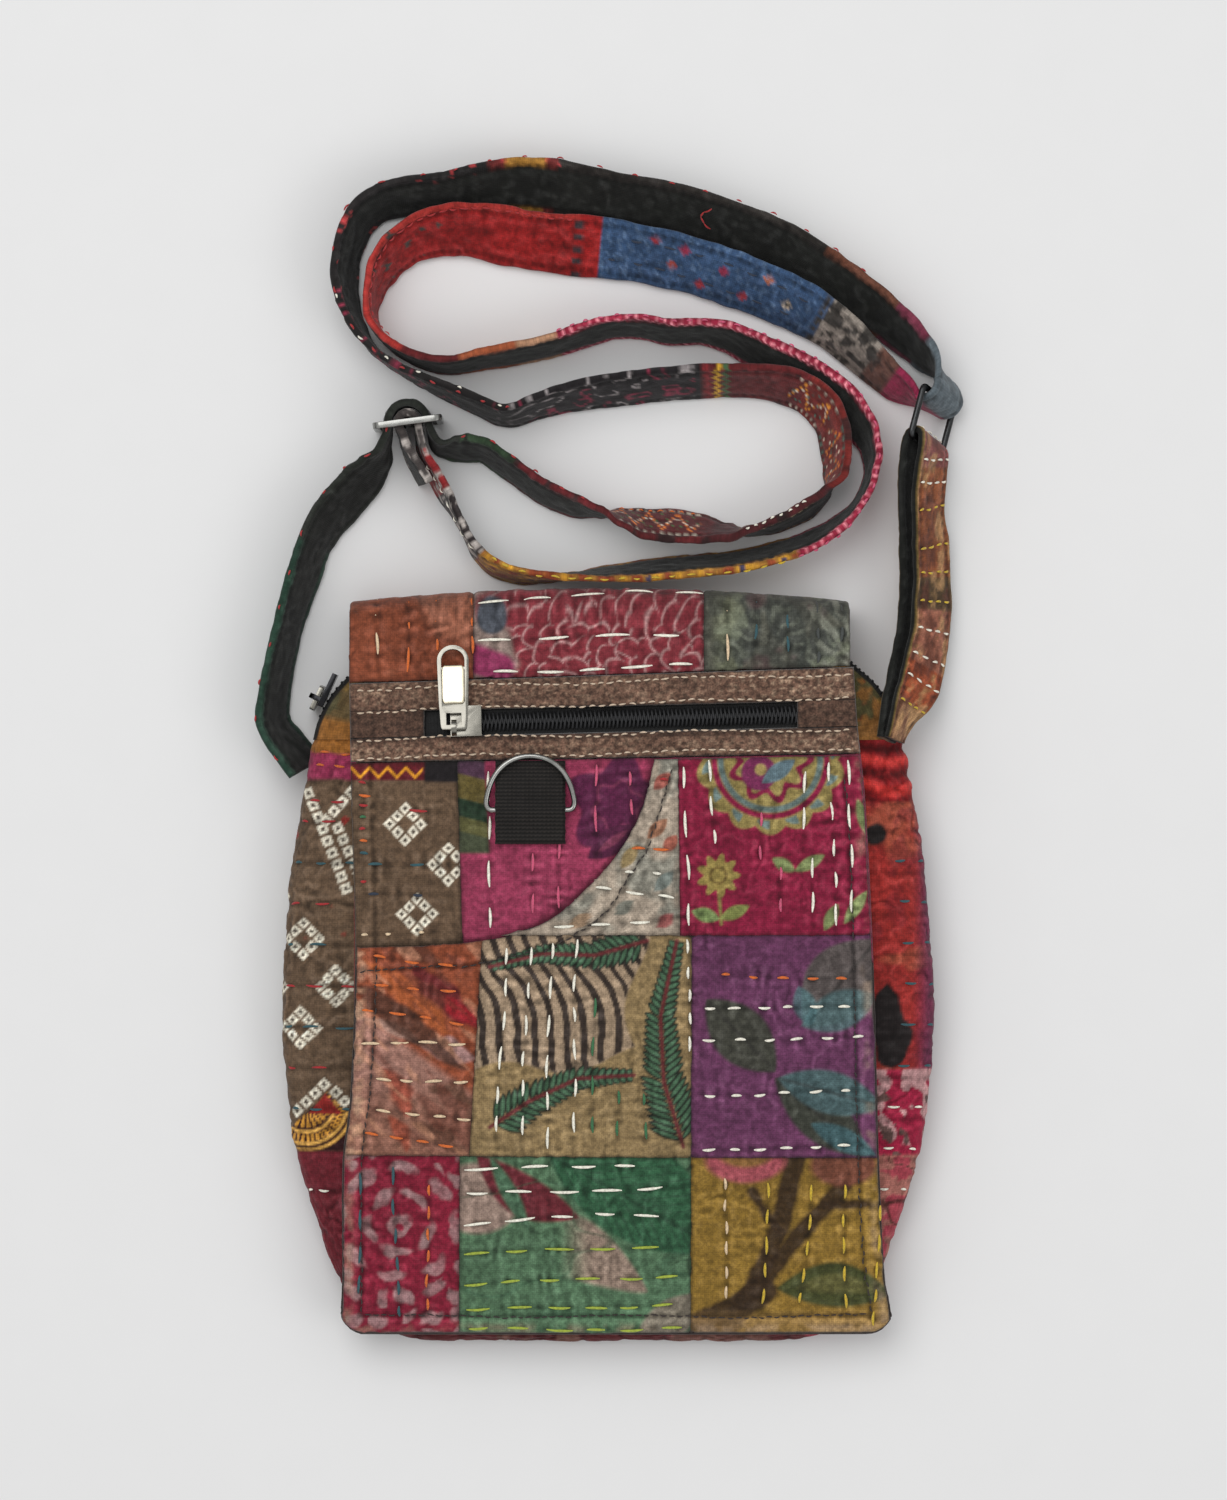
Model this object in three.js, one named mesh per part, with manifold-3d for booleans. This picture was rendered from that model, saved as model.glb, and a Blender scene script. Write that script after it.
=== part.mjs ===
// Travel document pouch of patch cloth, lying on its back, with its strap laid in loops above it.
// Millimetres, +Z up. The origin is on the underside of the back panel, and +Y points to the mouth.
import * as THREE from "three";
import Module from "manifold-3d";

const wasm = await Module();
wasm.setup();

// Cloth thicknesses and the gap that neighbours keep
const GAP = 0.3;
const PANEL = 2.0;
const WALL = 1.6;
const FLAP = 2.0;
const POCKET = 1.4;
const TAPE = 0.6;

// Body: half width of the panels, their two ends, and how far the wall's seams sit inside the panel edge
const HALF = 77;
const BOTTOM = -110;
const SHOULDER = 70;
const TOP = 100;
const SEAM_INSET = 2.5;
const CROWN = 5;
const MOUTH_OPEN = 0.25;

// Flap: clearance over the front panel, the fold's reach beyond FOLD_START, and the free end
const FLAP_CLEAR = 1.6;
const FOLD_START = 106;
const FOLD_REACH = 9.7;
const FOLD_BOW = 4;
const FLAP_END = -113;

// Zip slot in the brown band
const SLOT = { x: 0.9, y: 76.5, long: 114, wide: 8, turn: 0.024 };
const COIL = { from: -53, to: 56, wide: 5, pitch: 4.4 };

// Strap, its ring and its slide buckle
const STRAP = { wide: 19.5, thick: 2.4 };
const WIRE = 1.0;
const RING = { x: 99.8, y: 168, z: 13.4, half: 11.25, reach: 8, loop: 4.5 };
const BUCKLE = { x: -61.5, y: 167.6, long: 21.4, tall: 24.5, thick: 2, bar: 2, turn: 0.13 };

// Height of the wall's upper seam and outward bulge of the wall, from the bottom end to the mouth
const RISE = [
  { y: -118, rim: 7.5 }, { y: -110, rim: 10 }, { y: -95, rim: 14.5 }, { y: -60, rim: 21 },
  { y: -20, rim: 25 }, { y: 20, rim: 26 }, { y: 60, rim: 25 }, { y: 80, rim: 22.8 },
  { y: 100, rim: 19 }, { y: 118, rim: 17 },
];
const BULGE = [
  { y: -112, out: 4.5 }, { y: -95, out: 6.5 }, { y: -80, out: 11 }, { y: -70, out: 14.5 },
  { y: -57, out: 18 }, { y: -44, out: 20.2 }, { y: -20, out: 22.4 }, { y: 5, out: 21.8 },
  { y: 36, out: 18.9 }, { y: 60, out: 14.6 }, { y: 72, out: 12.6 }, { y: 86, out: 9 }, { y: 102, out: 6 },
];
// Half width of the front panel, narrowed at its rounded bottom corners and cut top corners
const FRONT = [
  { y: -110, half: 52 }, { y: -107, half: 62 }, { y: -103, half: 69 }, { y: -95, half: 75 },
  { y: -84, half: 77 }, { y: 66, half: 77 }, { y: 80, half: 73 }, { y: 92, half: 65 }, { y: 100, half: 54 },
];
// Side edges of the flap
const FLAP_EDGE = [
  { y: -113, left: -82.1, right: 87.2 }, { y: -106, left: -82.2, right: 87 },
  { y: -95, left: -81.6, right: 85 }, { y: -58, left: -81.2, right: 83 },
  { y: -40, left: -78.9, right: 82.4 }, { y: 5, left: -77.2, right: 81 },
  { y: 52, left: -78.4, right: 78.6 }, { y: 75, left: -78.9, right: 76.3 },
  { y: 100, left: -79.4, right: 74.8 }, { y: 118, left: -79.2, right: 73.6 },
];
// Mouth of the flap's pocket, from the left edge round to the band
const POCKET_MOUTH = [
  { x: -84, y: 6.4 }, { x: -42, y: 8.4 }, { x: -21, y: 13.6 }, { x: -5.5, y: 25.8 },
  { x: 2.8, y: 35.2 }, { x: 10, y: 48 }, { x: 14.2, y: 64 },
];

// Strap route in plan with its roll in degrees (0 lies patch side up, 90 stands on edge) and lift
const row = ([x, y, roll, lift]) => ({ x, y, roll, lift });
const TAIL = [
  [-92.8, 61.5, 125, 2], [-97.7, 67.5, 122, 1], [-103.2, 75.6, 118, 0], [-102.9, 84.0, 114, 0],
  [-101.4, 93.3, 112, 0], [-99.2, 102.6, 112, 0], [-96.7, 111.9, 114, 0], [-94.2, 119.7, 116, 0],
  [-91.1, 129.0, 118, 0], [-86.8, 137.3, 122, 0], [-81.5, 143.8, 126, 0], [-76.3, 149.7, 126, 0.3],
  [-71.9, 155.4, 114, 0.9], [-69.0, 160.9, 95, 1.8],
].map(row);
const OUTER = [
  [-53.0, 162.1, 96, 1.8], [-49.0, 160.6, 108, 0.8], [-44.0, 160.0, 113, 0],
  [-38.4, 159.3, 108, 0], [-33.5, 155.9, 107, 0], [-27.3, 151.6, 107, 0], [-19.5, 146.3, 108, 0],
  [-10.2, 142.3, 106, 0], [-2.5, 140.4, 95, 0], [4.3, 138.6, 75, 0], [11.5, 136.7, 62, 0],
  [19.8, 136.1, 60, 0], [28.5, 135.2, 64, 0], [36.3, 134.2, 75, 0], [44.0, 134.5, 92, 0],
  [53.3, 137.0, 99, 0], [61.4, 141.1, 102, 0], [67.0, 146.0, 96, 0], [70.1, 152.5, 72, 0],
  [70.4, 160.0, 66, 0], [69.4, 166.2, 63, 0], [66.6, 172.1, 58, 0], [62.0, 176.4, 58, 0],
  [55.8, 179.2, 60, 0], [47.1, 180.7, 64, 0], [36.3, 181.0, 65, 0], [25.4, 180.4, 64, 0],
  [14.6, 179.5, 65, 0], [3.7, 178.2, 65, 0], [-5.6, 177.0, 66, 0], [-14.9, 175.1, 70, 0],
  [-22.6, 172.7, 73, 0], [-29.1, 170.2, 74, 0], [-33.5, 170.2, 76, 0], [-39.1, 172.7, 78, 0],
  [-47.4, 176.4, 80, 0], [-56.7, 180.7, 84, 0], [-65.1, 185.1, 88, 0], [-72.2, 190.6, 92, 0],
  [-77.5, 198.4, 100, 0], [-80.6, 207.1, 106, 0], [-81.2, 215.8, 110, 0], [-79.1, 225.1, 113, 0],
  [-75.0, 232.2, 117, 0], [-69.1, 236.2, 120, 0], [-61.4, 237.8, 122, 0], [-52.1, 238.4, 126, 0],
  [-41.2, 240.2, 133, 0], [-30.4, 241.5, 142, 0], [-19.5, 241.2, 147, 0], [-8.7, 239.6, 142, 0],
  [3.7, 237.1, 137, 0], [16.1, 235.0, 137, 0], [28.5, 231.9, 136, 0], [42.5, 227.2, 138, 0],
  [56.4, 220.7, 138, 0], [68.8, 212.7, 138, 0], [79.7, 204.9, 135, 0], [89.0, 197.5, 126, 0],
  [96.7, 190.0, 114, 0.4],
].map(row);
const INNER = [
  [88.3, 180.1, 66, 0], [80.6, 187.2, 58, 0], [71.9, 195.6, 50, 0], [62.6, 202.1, 42, 0],
  [51.8, 207.4, 36, 0], [39.4, 212.3, 33, 0], [27.0, 216.4, 33, 0], [13.0, 219.8, 28, 0],
  [-0.9, 222.3, 17, 0], [-14.9, 223.5, 18, 0], [-27.3, 225.1, 25, 0], [-38.1, 227.2, 34, 0],
  [-47.4, 227.8, 40, 0], [-56.7, 226.0, 48, 0], [-63.9, 222.0, 55, 0], [-69.1, 216.1, 64, 0],
  [-72.2, 208.9, 75, 0], [-73.2, 201.8, 84, 0], [-70.4, 195.6, 90, 0], [-64.8, 190.6, 93, 0],
  [-57.7, 187.2, 96, 0], [-49.0, 185.7, 99, 0], [-38.1, 187.6, 103, 0], [-27.3, 189.4, 105, 0],
  [-16.4, 191.9, 106, 0], [-7.1, 195.0, 107, 0], [1.2, 197.2, 106, 0], [9.9, 197.5, 106, 0],
  [19.2, 195.9, 108, 0], [28.5, 195.9, 108, 0], [36.3, 194.7, 112, 0], [45.6, 190.3, 118, 0],
  [56.4, 184.8, 122, 0], [65.7, 179.2, 124, 0], [73.5, 173.0, 122, 0], [78.4, 166.2, 115, 0],
  [81.2, 159.3, 104, 0], [80.9, 150.7, 97, 0], [77.2, 142.9, 97, 0], [70.7, 136.4, 103, 0],
  [61.1, 131.1, 107, 0], [50.2, 127.4, 108, 0], [37.8, 124.9, 109, 0], [25.4, 123.7, 109, 0],
  [13.0, 122.4, 108, 0], [0.6, 121.5, 103, 0], [-10.2, 120.6, 94, 0], [-19.5, 120.3, 86, 0],
  [-27.9, 120.9, 80, 0], [-34.7, 123.1, 78, 0], [-40.0, 127.7, 82, 0], [-43.7, 133.6, 88, 0],
  [-47.1, 139.8, 86, 0], [-50.5, 146.0, 80, 0], [-53.9, 152.2, 80, 0.3], [-57.0, 158.4, 84, 1.2],
].map(row);
// End of the strap, turned back beside itself after the buckle's bar
const END = [
  [-63.0, 163.2, 92, 2.2], [-61.4, 158.8, 96, 1.5], [-59.0, 154.2, 99, 0.7], [-56.2, 149.2, 100, 0.2],
].map(row);
// Doubled tab on the right shoulder: middle of each leg with its height
const TAB = [
  { x: 90.05, y: 68.5, z: 20.6 }, { x: 91.6, y: 76, z: 18.95 }, { x: 93.4, y: 84, z: 15.6 },
  { x: 95.8, y: 95, z: 11.8 }, { x: 97.6, y: 107, z: 10.6 }, { x: 97.6, y: 126, z: 10.6 },
  { x: 96.6, y: 143, z: 12.8 },
];

const point = (x, y, z) => new THREE.Vector3(x, y, z);
const UP = point(0, 0, 1);
const lerp = THREE.MathUtils.lerp;

// Value of a column at a place in a table, on a smooth curve through its rows
function lookup(table, key, column, at) {
  let i = table.findIndex((r) => r[key] > at) - 1;
  if (i === -2) i = table.length - 2;
  i = THREE.MathUtils.clamp(i, 0, table.length - 2);
  const slope = (j) => {
    const a = table[Math.max(j - 1, 0)];
    const b = table[Math.min(j + 1, table.length - 1)];
    return (b[column] - a[column]) / (b[key] - a[key]);
  };
  const [p, q] = [table[i], table[i + 1]];
  const span = q[key] - p[key];
  const t = THREE.MathUtils.clamp((at - p[key]) / span, 0, 1);
  const [m, n] = [slope(i) * span, slope(i + 1) * span];
  const [d, t2, t3] = [q[column] - p[column], t * t, t * t * t];
  return p[column] + m * t + (3 * d - 2 * m - n) * t2 + (m + n - 2 * d) * t3;
}

// Closed solid from points and triangles, turned to face outwards
function solid(points, faces) {
  let volume = 0;
  for (let i = 0; i < faces.length; i += 3) {
    const [a, b, c] = [points[faces[i]], points[faces[i + 1]], points[faces[i + 2]]];
    volume += a.dot(b.clone().cross(c));
  }
  if (volume < 0) faces.reverse();
  return new THREE.BufferGeometry().setFromPoints(points).setIndex(faces);
}

// Skin over rings of points; an open row of rings gets an end face at each end
function loft(rings, closed = false) {
  const n = rings[0].length;
  const faces = [];
  const spans = closed ? rings.length : rings.length - 1;
  for (let i = 0; i < spans; i++) {
    const next = (i + 1) % rings.length;
    for (let j = 0; j < n; j++) {
      const k = (j + 1) % n;
      faces.push(i * n + j, i * n + k, next * n + k, i * n + j, next * n + k, next * n + j);
    }
  }
  const last = (rings.length - 1) * n;
  for (let j = 1; j + 1 < n && !closed; j++) {
    faces.push(0, j + 1, j, last, last + j, last + j + 1);
  }
  return solid(rings.flat(), faces);
}

// Cloth of even thickness about a surface, where us and vs list the places of its grid lines
function sheet(surface, us, vs, thick) {
  const step = 1e-3;
  const rings = vs.map((v) => {
    const sides = [1, -1].map((side) =>
      us.map((u) => {
        const p = surface(u, v);
        const du = surface(u + step, v).sub(surface(u - step, v));
        const dv = surface(u, v + step).sub(surface(u, v - step));
        return p.addScaledVector(du.cross(dv).normalize(), (side * thick) / 2);
      }),
    );
    return [...sides[0], ...sides[1].reverse()];
  });
  const n = us.length;
  const faces = [];
  const wide = 2 * n;
  for (let i = 0; i + 1 < rings.length; i++) {
    for (let j = 0; j < wide; j++) {
      const k = (j + 1) % wide;
      const [a, b] = [i * wide, (i + 1) * wide];
      faces.push(a + j, a + k, b + k, a + j, b + k, b + j);
    }
  }
  const last = (rings.length - 1) * wide;
  for (let j = 0; j + 1 < n; j++) {
    const far = wide - 1 - j;
    faces.push(j, far, j + 1, j + 1, far, far - 1);
    faces.push(last + j, last + j + 1, last + far, last + j + 1, last + far - 1, last + far);
  }
  return solid(rings.flat(), faces);
}

const spread = (n, from = 0, to = 1) => Array.from({ length: n + 1 }, (_, i) => lerp(from, to, i / n));
// Grid lines that crowd towards both edges, for hems and rounded corners
const hemmed = (n) => [0, 0.012, 0.035, ...spread(n, 0.08, 0.92), 0.965, 0.988, 1];

// Joining and cutting of closed solids
function asSolid(geometry) {
  const flat = geometry.index ? geometry.toNonIndexed() : geometry;
  const source = flat.getAttribute("position").array;
  const found = new Map();
  const vertices = [];
  const triangles = [];
  for (let i = 0; i < source.length; i += 3) {
    const at = [source[i], source[i + 1], source[i + 2]];
    const key = at.map((v) => Math.round(v * 2e4)).join();
    if (!found.has(key)) {
      found.set(key, vertices.length / 3);
      vertices.push(...at);
    }
    triangles.push(found.get(key));
  }
  const vertProperties = new Float32Array(vertices);
  const triVerts = new Uint32Array(triangles);
  return new wasm.Manifold(new wasm.Mesh({ numProp: 3, vertProperties, triVerts }));
}
function asGeometry(made) {
  const { vertProperties, triVerts } = made.getMesh();
  const geometry = new THREE.BufferGeometry();
  geometry.setAttribute("position", new THREE.BufferAttribute(vertProperties, 3));
  return geometry.setIndex(new THREE.BufferAttribute(triVerts, 1));
}
const join = (...pieces) => asGeometry(pieces.map(asSolid).reduce((a, b) => a.add(b)));
const cut = (piece, ...tools) =>
  asGeometry(tools.map(asSolid).reduce((a, b) => a.subtract(b), asSolid(piece)));

const rim = (y) => lookup(RISE, "y", "rim", y);
const bulge = (y) => lookup(BULGE, "y", "out", y);

// Doming of the front and the flap over it
function crown(x, y) {
  const low = THREE.MathUtils.smoothstep(y, BOTTOM - 6, -40);
  const high = 1 - 0.5 * THREE.MathUtils.smoothstep(y, 40, TOP);
  return CROWN * (1 - (x / HALF) ** 2) * (0.25 + 0.75 * low * high);
}
const flapHeight = (x, y) => rim(y) + crown(x, y) + PANEL + FLAP_CLEAR + FLAP / 2;

// Two stretches of the panel outline: across the mouth, and round the sides and bottom
function outline(corners) {
  const path = new THREE.Path();
  corners.forEach(({ x, y, round = 0 }, i) => {
    if (i === 0) {
      path.moveTo(x, y);
      return;
    }
    const toward = (other) => {
      const v = new THREE.Vector2(other.x - x, other.y - y).setLength(round);
      return [x + v.x, y + v.y];
    };
    path.lineTo(...toward(corners[i - 1]));
    if (round) path.quadraticCurveTo(x, y, ...toward(corners[i + 1]));
  });
  return path;
}
const MOUTH_PATH = outline([
  { x: HALF, y: SHOULDER }, { x: HALF, y: 78, round: 7 }, { x: 61, y: TOP, round: 11 },
  { x: -61, y: TOP, round: 11 }, { x: -HALF, y: 78, round: 7 }, { x: -HALF, y: SHOULDER },
]);
const SIDE_PATH = outline([
  { x: -HALF, y: SHOULDER }, { x: -HALF, y: BOTTOM, round: 26 },
  { x: HALF, y: BOTTOM, round: 26 }, { x: HALF, y: SHOULDER },
]);

// Point of the bulging wall: s along a path, t from the back seam to the front seam
function wallPoint(path, s, t) {
  const at = path.getPointAt(THREE.MathUtils.clamp(s, 0, 1));
  const along = path.getTangentAt(THREE.MathUtils.clamp(s, 0.002, 0.998));
  const low = PANEL + GAP + WALL / 2;
  const high = rim(at.y) - GAP - WALL / 2;
  const out = -SEAM_INSET + (SEAM_INSET + bulge(at.y)) * Math.sin(Math.PI * t);
  return point(at.x + along.y * out, at.y - along.x * out, lerp(low, high, t));
}

function backPanel() {
  const points = [...MOUTH_PATH.getSpacedPoints(40), ...SIDE_PATH.getSpacedPoints(52)];
  const apart = (p, i) => p.distanceTo(points[(i + 1) % points.length]) > 0.01;
  const shape = new THREE.Shape(points.filter(apart));
  return new THREE.ExtrudeGeometry(shape, { depth: PANEL, bevelEnabled: false });
}

function frontPanel() {
  const at = (u, v) => {
    const y = lerp(BOTTOM, TOP, v);
    const x = (2 * u - 1) * lookup(FRONT, "y", "half", y);
    return point(x, y, rim(y) + PANEL / 2 + crown(x, y));
  };
  const rows = [0, 0.014, 0.033, 0.07, ...spread(9, 0.12, 0.84), 0.865, 0.92, 0.96, 1];
  return sheet(at, spread(10), rows, PANEL);
}

const gusset = () => sheet((t, s) => wallPoint(SIDE_PATH, s, t), spread(5), spread(34, 0.0012, 0.9988), WALL);

// Half of the mouth's wall, from a seam up to the open zip
function mouthTape(front) {
  const at = (t, s) => {
    const open = 0.03 + MOUTH_OPEN * Math.sin(Math.PI * s) ** 0.7;
    return wallPoint(MOUTH_PATH, s, front ? lerp(0.5 + open, 1, t) : lerp(0, 0.5 - open, t));
  };
  return sheet(at, spread(3), spread(26, 0.002, 0.998), WALL);
}

const bandTop = (x) => 90 + 0.033 * x;
const bandBottom = (x) => 64.7 + 0.018 * x;
const flapX = (u, y) => lerp(lookup(FLAP_EDGE, "y", "left", y), lookup(FLAP_EDGE, "y", "right", y), u);

// Top strip of the flap: from the back panel's edge, round the fold, to the zip band
function flapTop() {
  const back = TOP + GAP;
  const at = (u, v) => {
    if (v < 0.15) return point(flapX(u, FOLD_START), lerp(back, FOLD_START, v / 0.15), FLAP / 2);
    const x = flapX(u, FOLD_START);
    const top = flapHeight(x, FOLD_START);
    if (v < 0.6) {
      const turn = Math.PI * ((v - 0.15) / 0.45 - 0.5);
      const reach = FOLD_REACH - FOLD_BOW * ((2 * u - 1) ** 2);
      const middle = (top + FLAP / 2) / 2;
      return point(x, FOLD_START + reach * Math.cos(turn), middle + (top - middle) * Math.sin(turn));
    }
    const y = lerp(FOLD_START, bandTop(x) + GAP, (v - 0.6) / 0.4);
    return point(x, y, flapHeight(x, y));
  };
  return sheet(at, spread(12), [0, ...spread(10, 0.149, 0.6), 0.7, 0.85, 1], FLAP);
}

function zipBand() {
  const at = (u, v) => {
    const near = lerp(bandBottom(0), bandTop(0), v);
    const x = flapX(u, near);
    const y = lerp(bandBottom(x), bandTop(x), v);
    return point(x, y, flapHeight(x, y) + 0.1);
  };
  const slot = new THREE.BoxGeometry(SLOT.long, SLOT.wide, 40);
  slot.rotateZ(SLOT.turn).translate(SLOT.x, SLOT.y, 30);
  return cut(sheet(at, spread(14), spread(3), FLAP + 0.2), slot);
}

// Place along and across the zip
function zipPoint(along, across, raise) {
  const x = SLOT.x + along * Math.cos(SLOT.turn) - across * Math.sin(SLOT.turn);
  const y = SLOT.y + along * Math.sin(SLOT.turn) + across * Math.cos(SLOT.turn);
  return point(x, y, flapHeight(x, y) + raise);
}
const zipTape = () =>
  sheet((u, v) => zipPoint(lerp(-61, 61, u), lerp(-8.5, 8.5, v), -1.7), spread(12), spread(3), TAPE);

function zipCoil() {
  const count = Math.round((COIL.to - COIL.from) / COIL.pitch);
  const rings = [];
  for (let i = 0; i <= 2 * count; i++) {
    const s = lerp(COIL.from, COIL.to, i / (2 * count));
    const top = i % 2 ? 0.6 : 0.1;
    const half = COIL.wide / 2;
    rings.push([
      zipPoint(s, -half, -1), zipPoint(s, half, -1), zipPoint(s, half, top - 0.4),
      zipPoint(s, half - 0.9, top), zipPoint(s, 0.9 - half, top), zipPoint(s, -half, top - 0.4),
    ]);
  }
  return loft(rings);
}

// Bottom edge of the flap, with rounded corners
function flapEnd(u) {
  const from = Math.max(0, Math.min(u, 1 - u)) * 165;
  return FLAP_END + (from < 7 ? 7 - Math.sqrt(49 - (7 - from) ** 2) : 0);
}
function flapPanel() {
  const at = (u, v) => {
    const x = flapX(u, lerp(FLAP_END, bandBottom(0), v));
    const y = lerp(flapEnd(u), bandBottom(x) - GAP, v);
    return point(x, y, flapHeight(x, y));
  };
  return sheet(at, hemmed(8), spread(13), FLAP);
}

// Pocket front on the flap; its upper edge is the curved mouth, then the band
const MOUTH_CURVE = new THREE.SplineCurve(POCKET_MOUTH.map(({ x, y }) => new THREE.Vector2(x, y)));
function flapPocket() {
  const above = FLAP / 2 + GAP + 0.25 + POCKET / 2;
  const at = (u, v) => {
    const k = u / 0.62;
    const mouth = k < 1 ? MOUTH_CURVE.getPointAt(k) : new THREE.Vector2(0, 64);
    const right = lookup(FLAP_EDGE, "y", "right", 60) - 0.6;
    if (k >= 1) mouth.set(lerp(14.2, right, (k - 1) / (1 / 0.62 - 1)), bandBottom(40) - 0.8);
    const low = flapEnd(u) + 0.8;
    const y = lerp(low, mouth.y, v);
    const even = flapX(u, y);
    const x = THREE.MathUtils.clamp(lerp(even, mouth.x, v * v), flapX(0, y) + 0.6, flapX(1, y) - 0.6);
    return point(x, y, flapHeight(x, y) + above);
  };
  return sheet(at, [0.002, 0.014, 0.035, ...spread(13, 0.09, 0.92), 0.97, 0.988, 0.998], spread(11), POCKET);
}

// Webbing loop and the wire ring in it; both lie on the flap's slope
const TAB_AT = { x: -23.6, y: 48.6 };
const RING_LEAN = 0.11;
const tabSlope = Math.atan2(flapHeight(TAB_AT.x, 63) - flapHeight(TAB_AT.x, 41), 22);
const tabHeight = flapHeight(TAB_AT.x, TAB_AT.y) + FLAP / 2 + GAP + 0.3;
const onFlap = (geometry) => geometry.rotateX(tabSlope).translate(TAB_AT.x, TAB_AT.y, tabHeight);
function ringTab() {
  const shape = new THREE.Shape();
  shape.moveTo(-10.3, 0.3);
  shape.lineTo(-10, 0);
  shape.lineTo(15, 0);
  shape.lineTo(15, 1.9);
  shape.lineTo(8, 2);
  shape.bezierCurveTo(5, 2.1, 4, 4.6, 0, 4.6);
  shape.bezierCurveTo(-4, 4.6, -5, 2.2, -9.6, 2);
  shape.quadraticCurveTo(-10.3, 1.8, -10.3, 1);
  shape.holes.push(new THREE.Path().absarc(0, 2.3, 1.3, 0, 2 * Math.PI, true));
  const made = new THREE.ExtrudeGeometry(shape, { depth: 21.3, bevelEnabled: false, curveSegments: 8 });
  made.translate(0, 0, -10.65).applyMatrix4(
    new THREE.Matrix4().makeBasis(point(0, 1, 0), UP, point(1, 0, 0)),
  );
  return onFlap(made);
}

// Round wire along a flat closed path
function wire(points, normal, radius) {
  const rings = points.map((p, i) => {
    const along = points[(i + 1) % points.length].clone().sub(points.at(i - 1)).normalize();
    const side = along.clone().cross(normal);
    return spread(7, 0, (7 / 8) * 2 * Math.PI).map((a) =>
      p.clone().addScaledVector(side, radius * Math.cos(a)).addScaledVector(normal, radius * Math.sin(a)),
    );
  });
  return loft(rings, true);
}
function dRing() {
  const path = new THREE.Path();
  path.moveTo(-11.5, 0);
  path.lineTo(11.5, 0);
  path.bezierCurveTo(13.6, 0, 13.6, 2.4, 13.2, 4);
  path.bezierCurveTo(11.6, 12.6, 6, 16.4, 0, 16.4);
  path.bezierCurveTo(-6, 16.4, -11.6, 12.6, -13.2, 4);
  path.bezierCurveTo(-13.6, 2.4, -13.6, 0, -11.5, 0);
  const points = path.getSpacedPoints(36).slice(0, -1).map((p) => point(p.x, p.y, 0));
  return onFlap(wire(points, UP, 0.85).rotateX(RING_LEAN).translate(0, 0, 2.3));
}

// Zip slider with its arched eye, and its pull: along x runs the zip, the pull points along y
const EYE = { x: -3.6, bar: 0.7, inner: 1.4, outer: 2.4, rise: 1.25 };
function sliderBody({ long, wide, thick, lips }) {
  const plate = new THREE.BoxGeometry(long, wide, thick).translate(0, 0, -thick / 2);
  const arch = new THREE.Shape();
  arch.moveTo(EYE.outer, -0.2 - EYE.rise);
  arch.lineTo(EYE.outer, 0);
  arch.absarc(0, 0, EYE.outer, 0, Math.PI, false);
  arch.lineTo(-EYE.outer, -0.2 - EYE.rise);
  arch.lineTo(-EYE.inner, -0.2 - EYE.rise);
  arch.lineTo(-EYE.inner, 0);
  arch.absarc(0, 0, EYE.inner, Math.PI, 0, true);
  arch.lineTo(EYE.inner, -0.2 - EYE.rise);
  const eye = new THREE.ExtrudeGeometry(arch, { depth: 1.6, bevelEnabled: false, curveSegments: 8 });
  eye.translate(0, 0, -0.8).applyMatrix4(new THREE.Matrix4().makeBasis(point(0, 1, 0), UP, point(1, 0, 0)));
  eye.translate(EYE.x, -2.2, EYE.rise);
  const sides = lips
    ? [1, -1].map((side) =>
        new THREE.BoxGeometry(long - 2, 0.7, lips + 0.2).translate(0.6, side * 3.25, -thick - lips / 2 + 0.1),
      )
    : [];
  return join(plate, eye, ...sides);
}
function pullPlate({ long, wide, thick, eye }) {
  const h = wide / 2;
  const shape = new THREE.Shape();
  shape.moveTo(-3.4, -EYE.bar);
  shape.lineTo(3.4, -EYE.bar);
  shape.bezierCurveTo(4.4, -EYE.bar, 4, 4, h - 0.4, 6.4);
  shape.lineTo(h, long - h);
  shape.absarc(0, long - h, h, 0, Math.PI, false);
  shape.lineTo(0.4 - h, 6.4);
  shape.bezierCurveTo(-4, 4, -4.4, -EYE.bar, -3.4, -EYE.bar);
  const hole = new THREE.Path();
  hole.moveTo(-eye, EYE.bar);
  hole.lineTo(-eye, 4.4);
  hole.lineTo(eye, 4.4);
  hole.lineTo(eye, EYE.bar);
  shape.holes.push(hole);
  const window = new THREE.Path();
  const inner = h - 1.3;
  window.moveTo(-inner, long - h - 2);
  window.lineTo(-inner, long - h);
  window.absarc(0, long - h, inner, Math.PI, 0, true);
  window.lineTo(inner, long - h - 2);
  shape.holes.push(window);
  const plate = new THREE.ExtrudeGeometry(shape, { depth: thick, bevelEnabled: false, curveSegments: 8 });
  plate.translate(0, 0, -thick / 2);
  const recess = new THREE.BoxGeometry(2 * inner, long - h - 2.8 - 6.6, 1);
  recess.translate(0, (long - h - 2.8 + 6.6) / 2, thick / 2 + 0.5 - 0.4);
  return cut(plate, recess);
}
const ZIP_SIZE = { long: 9.4, wide: 9.4, thick: 1.2, lips: 1.6 };
const ZIP_PULL = { long: 25.6, wide: 9.7, thick: 1.4, eye: 2.3 };
const MOUTH_SIZE = { long: 11, wide: 9.4, thick: 1.6, lips: 0 };
const MOUTH_PULL = { long: 13.6, wide: 8.4, thick: 1.4, eye: 2.1 };

// Frames of the two sliders: position of the plate's top, and its directions
const ZIP_AT = zipPoint(-44.2, 0.4, 2.9);
const zipSlope = Math.atan2(zipPoint(-44.2, 4, 0).z - zipPoint(-44.2, -4, 0).z, 8);
const zipFrame = new THREE.Matrix4().makeRotationZ(SLOT.turn);
zipFrame.multiply(new THREE.Matrix4().makeRotationX(zipSlope)).setPosition(ZIP_AT);
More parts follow.
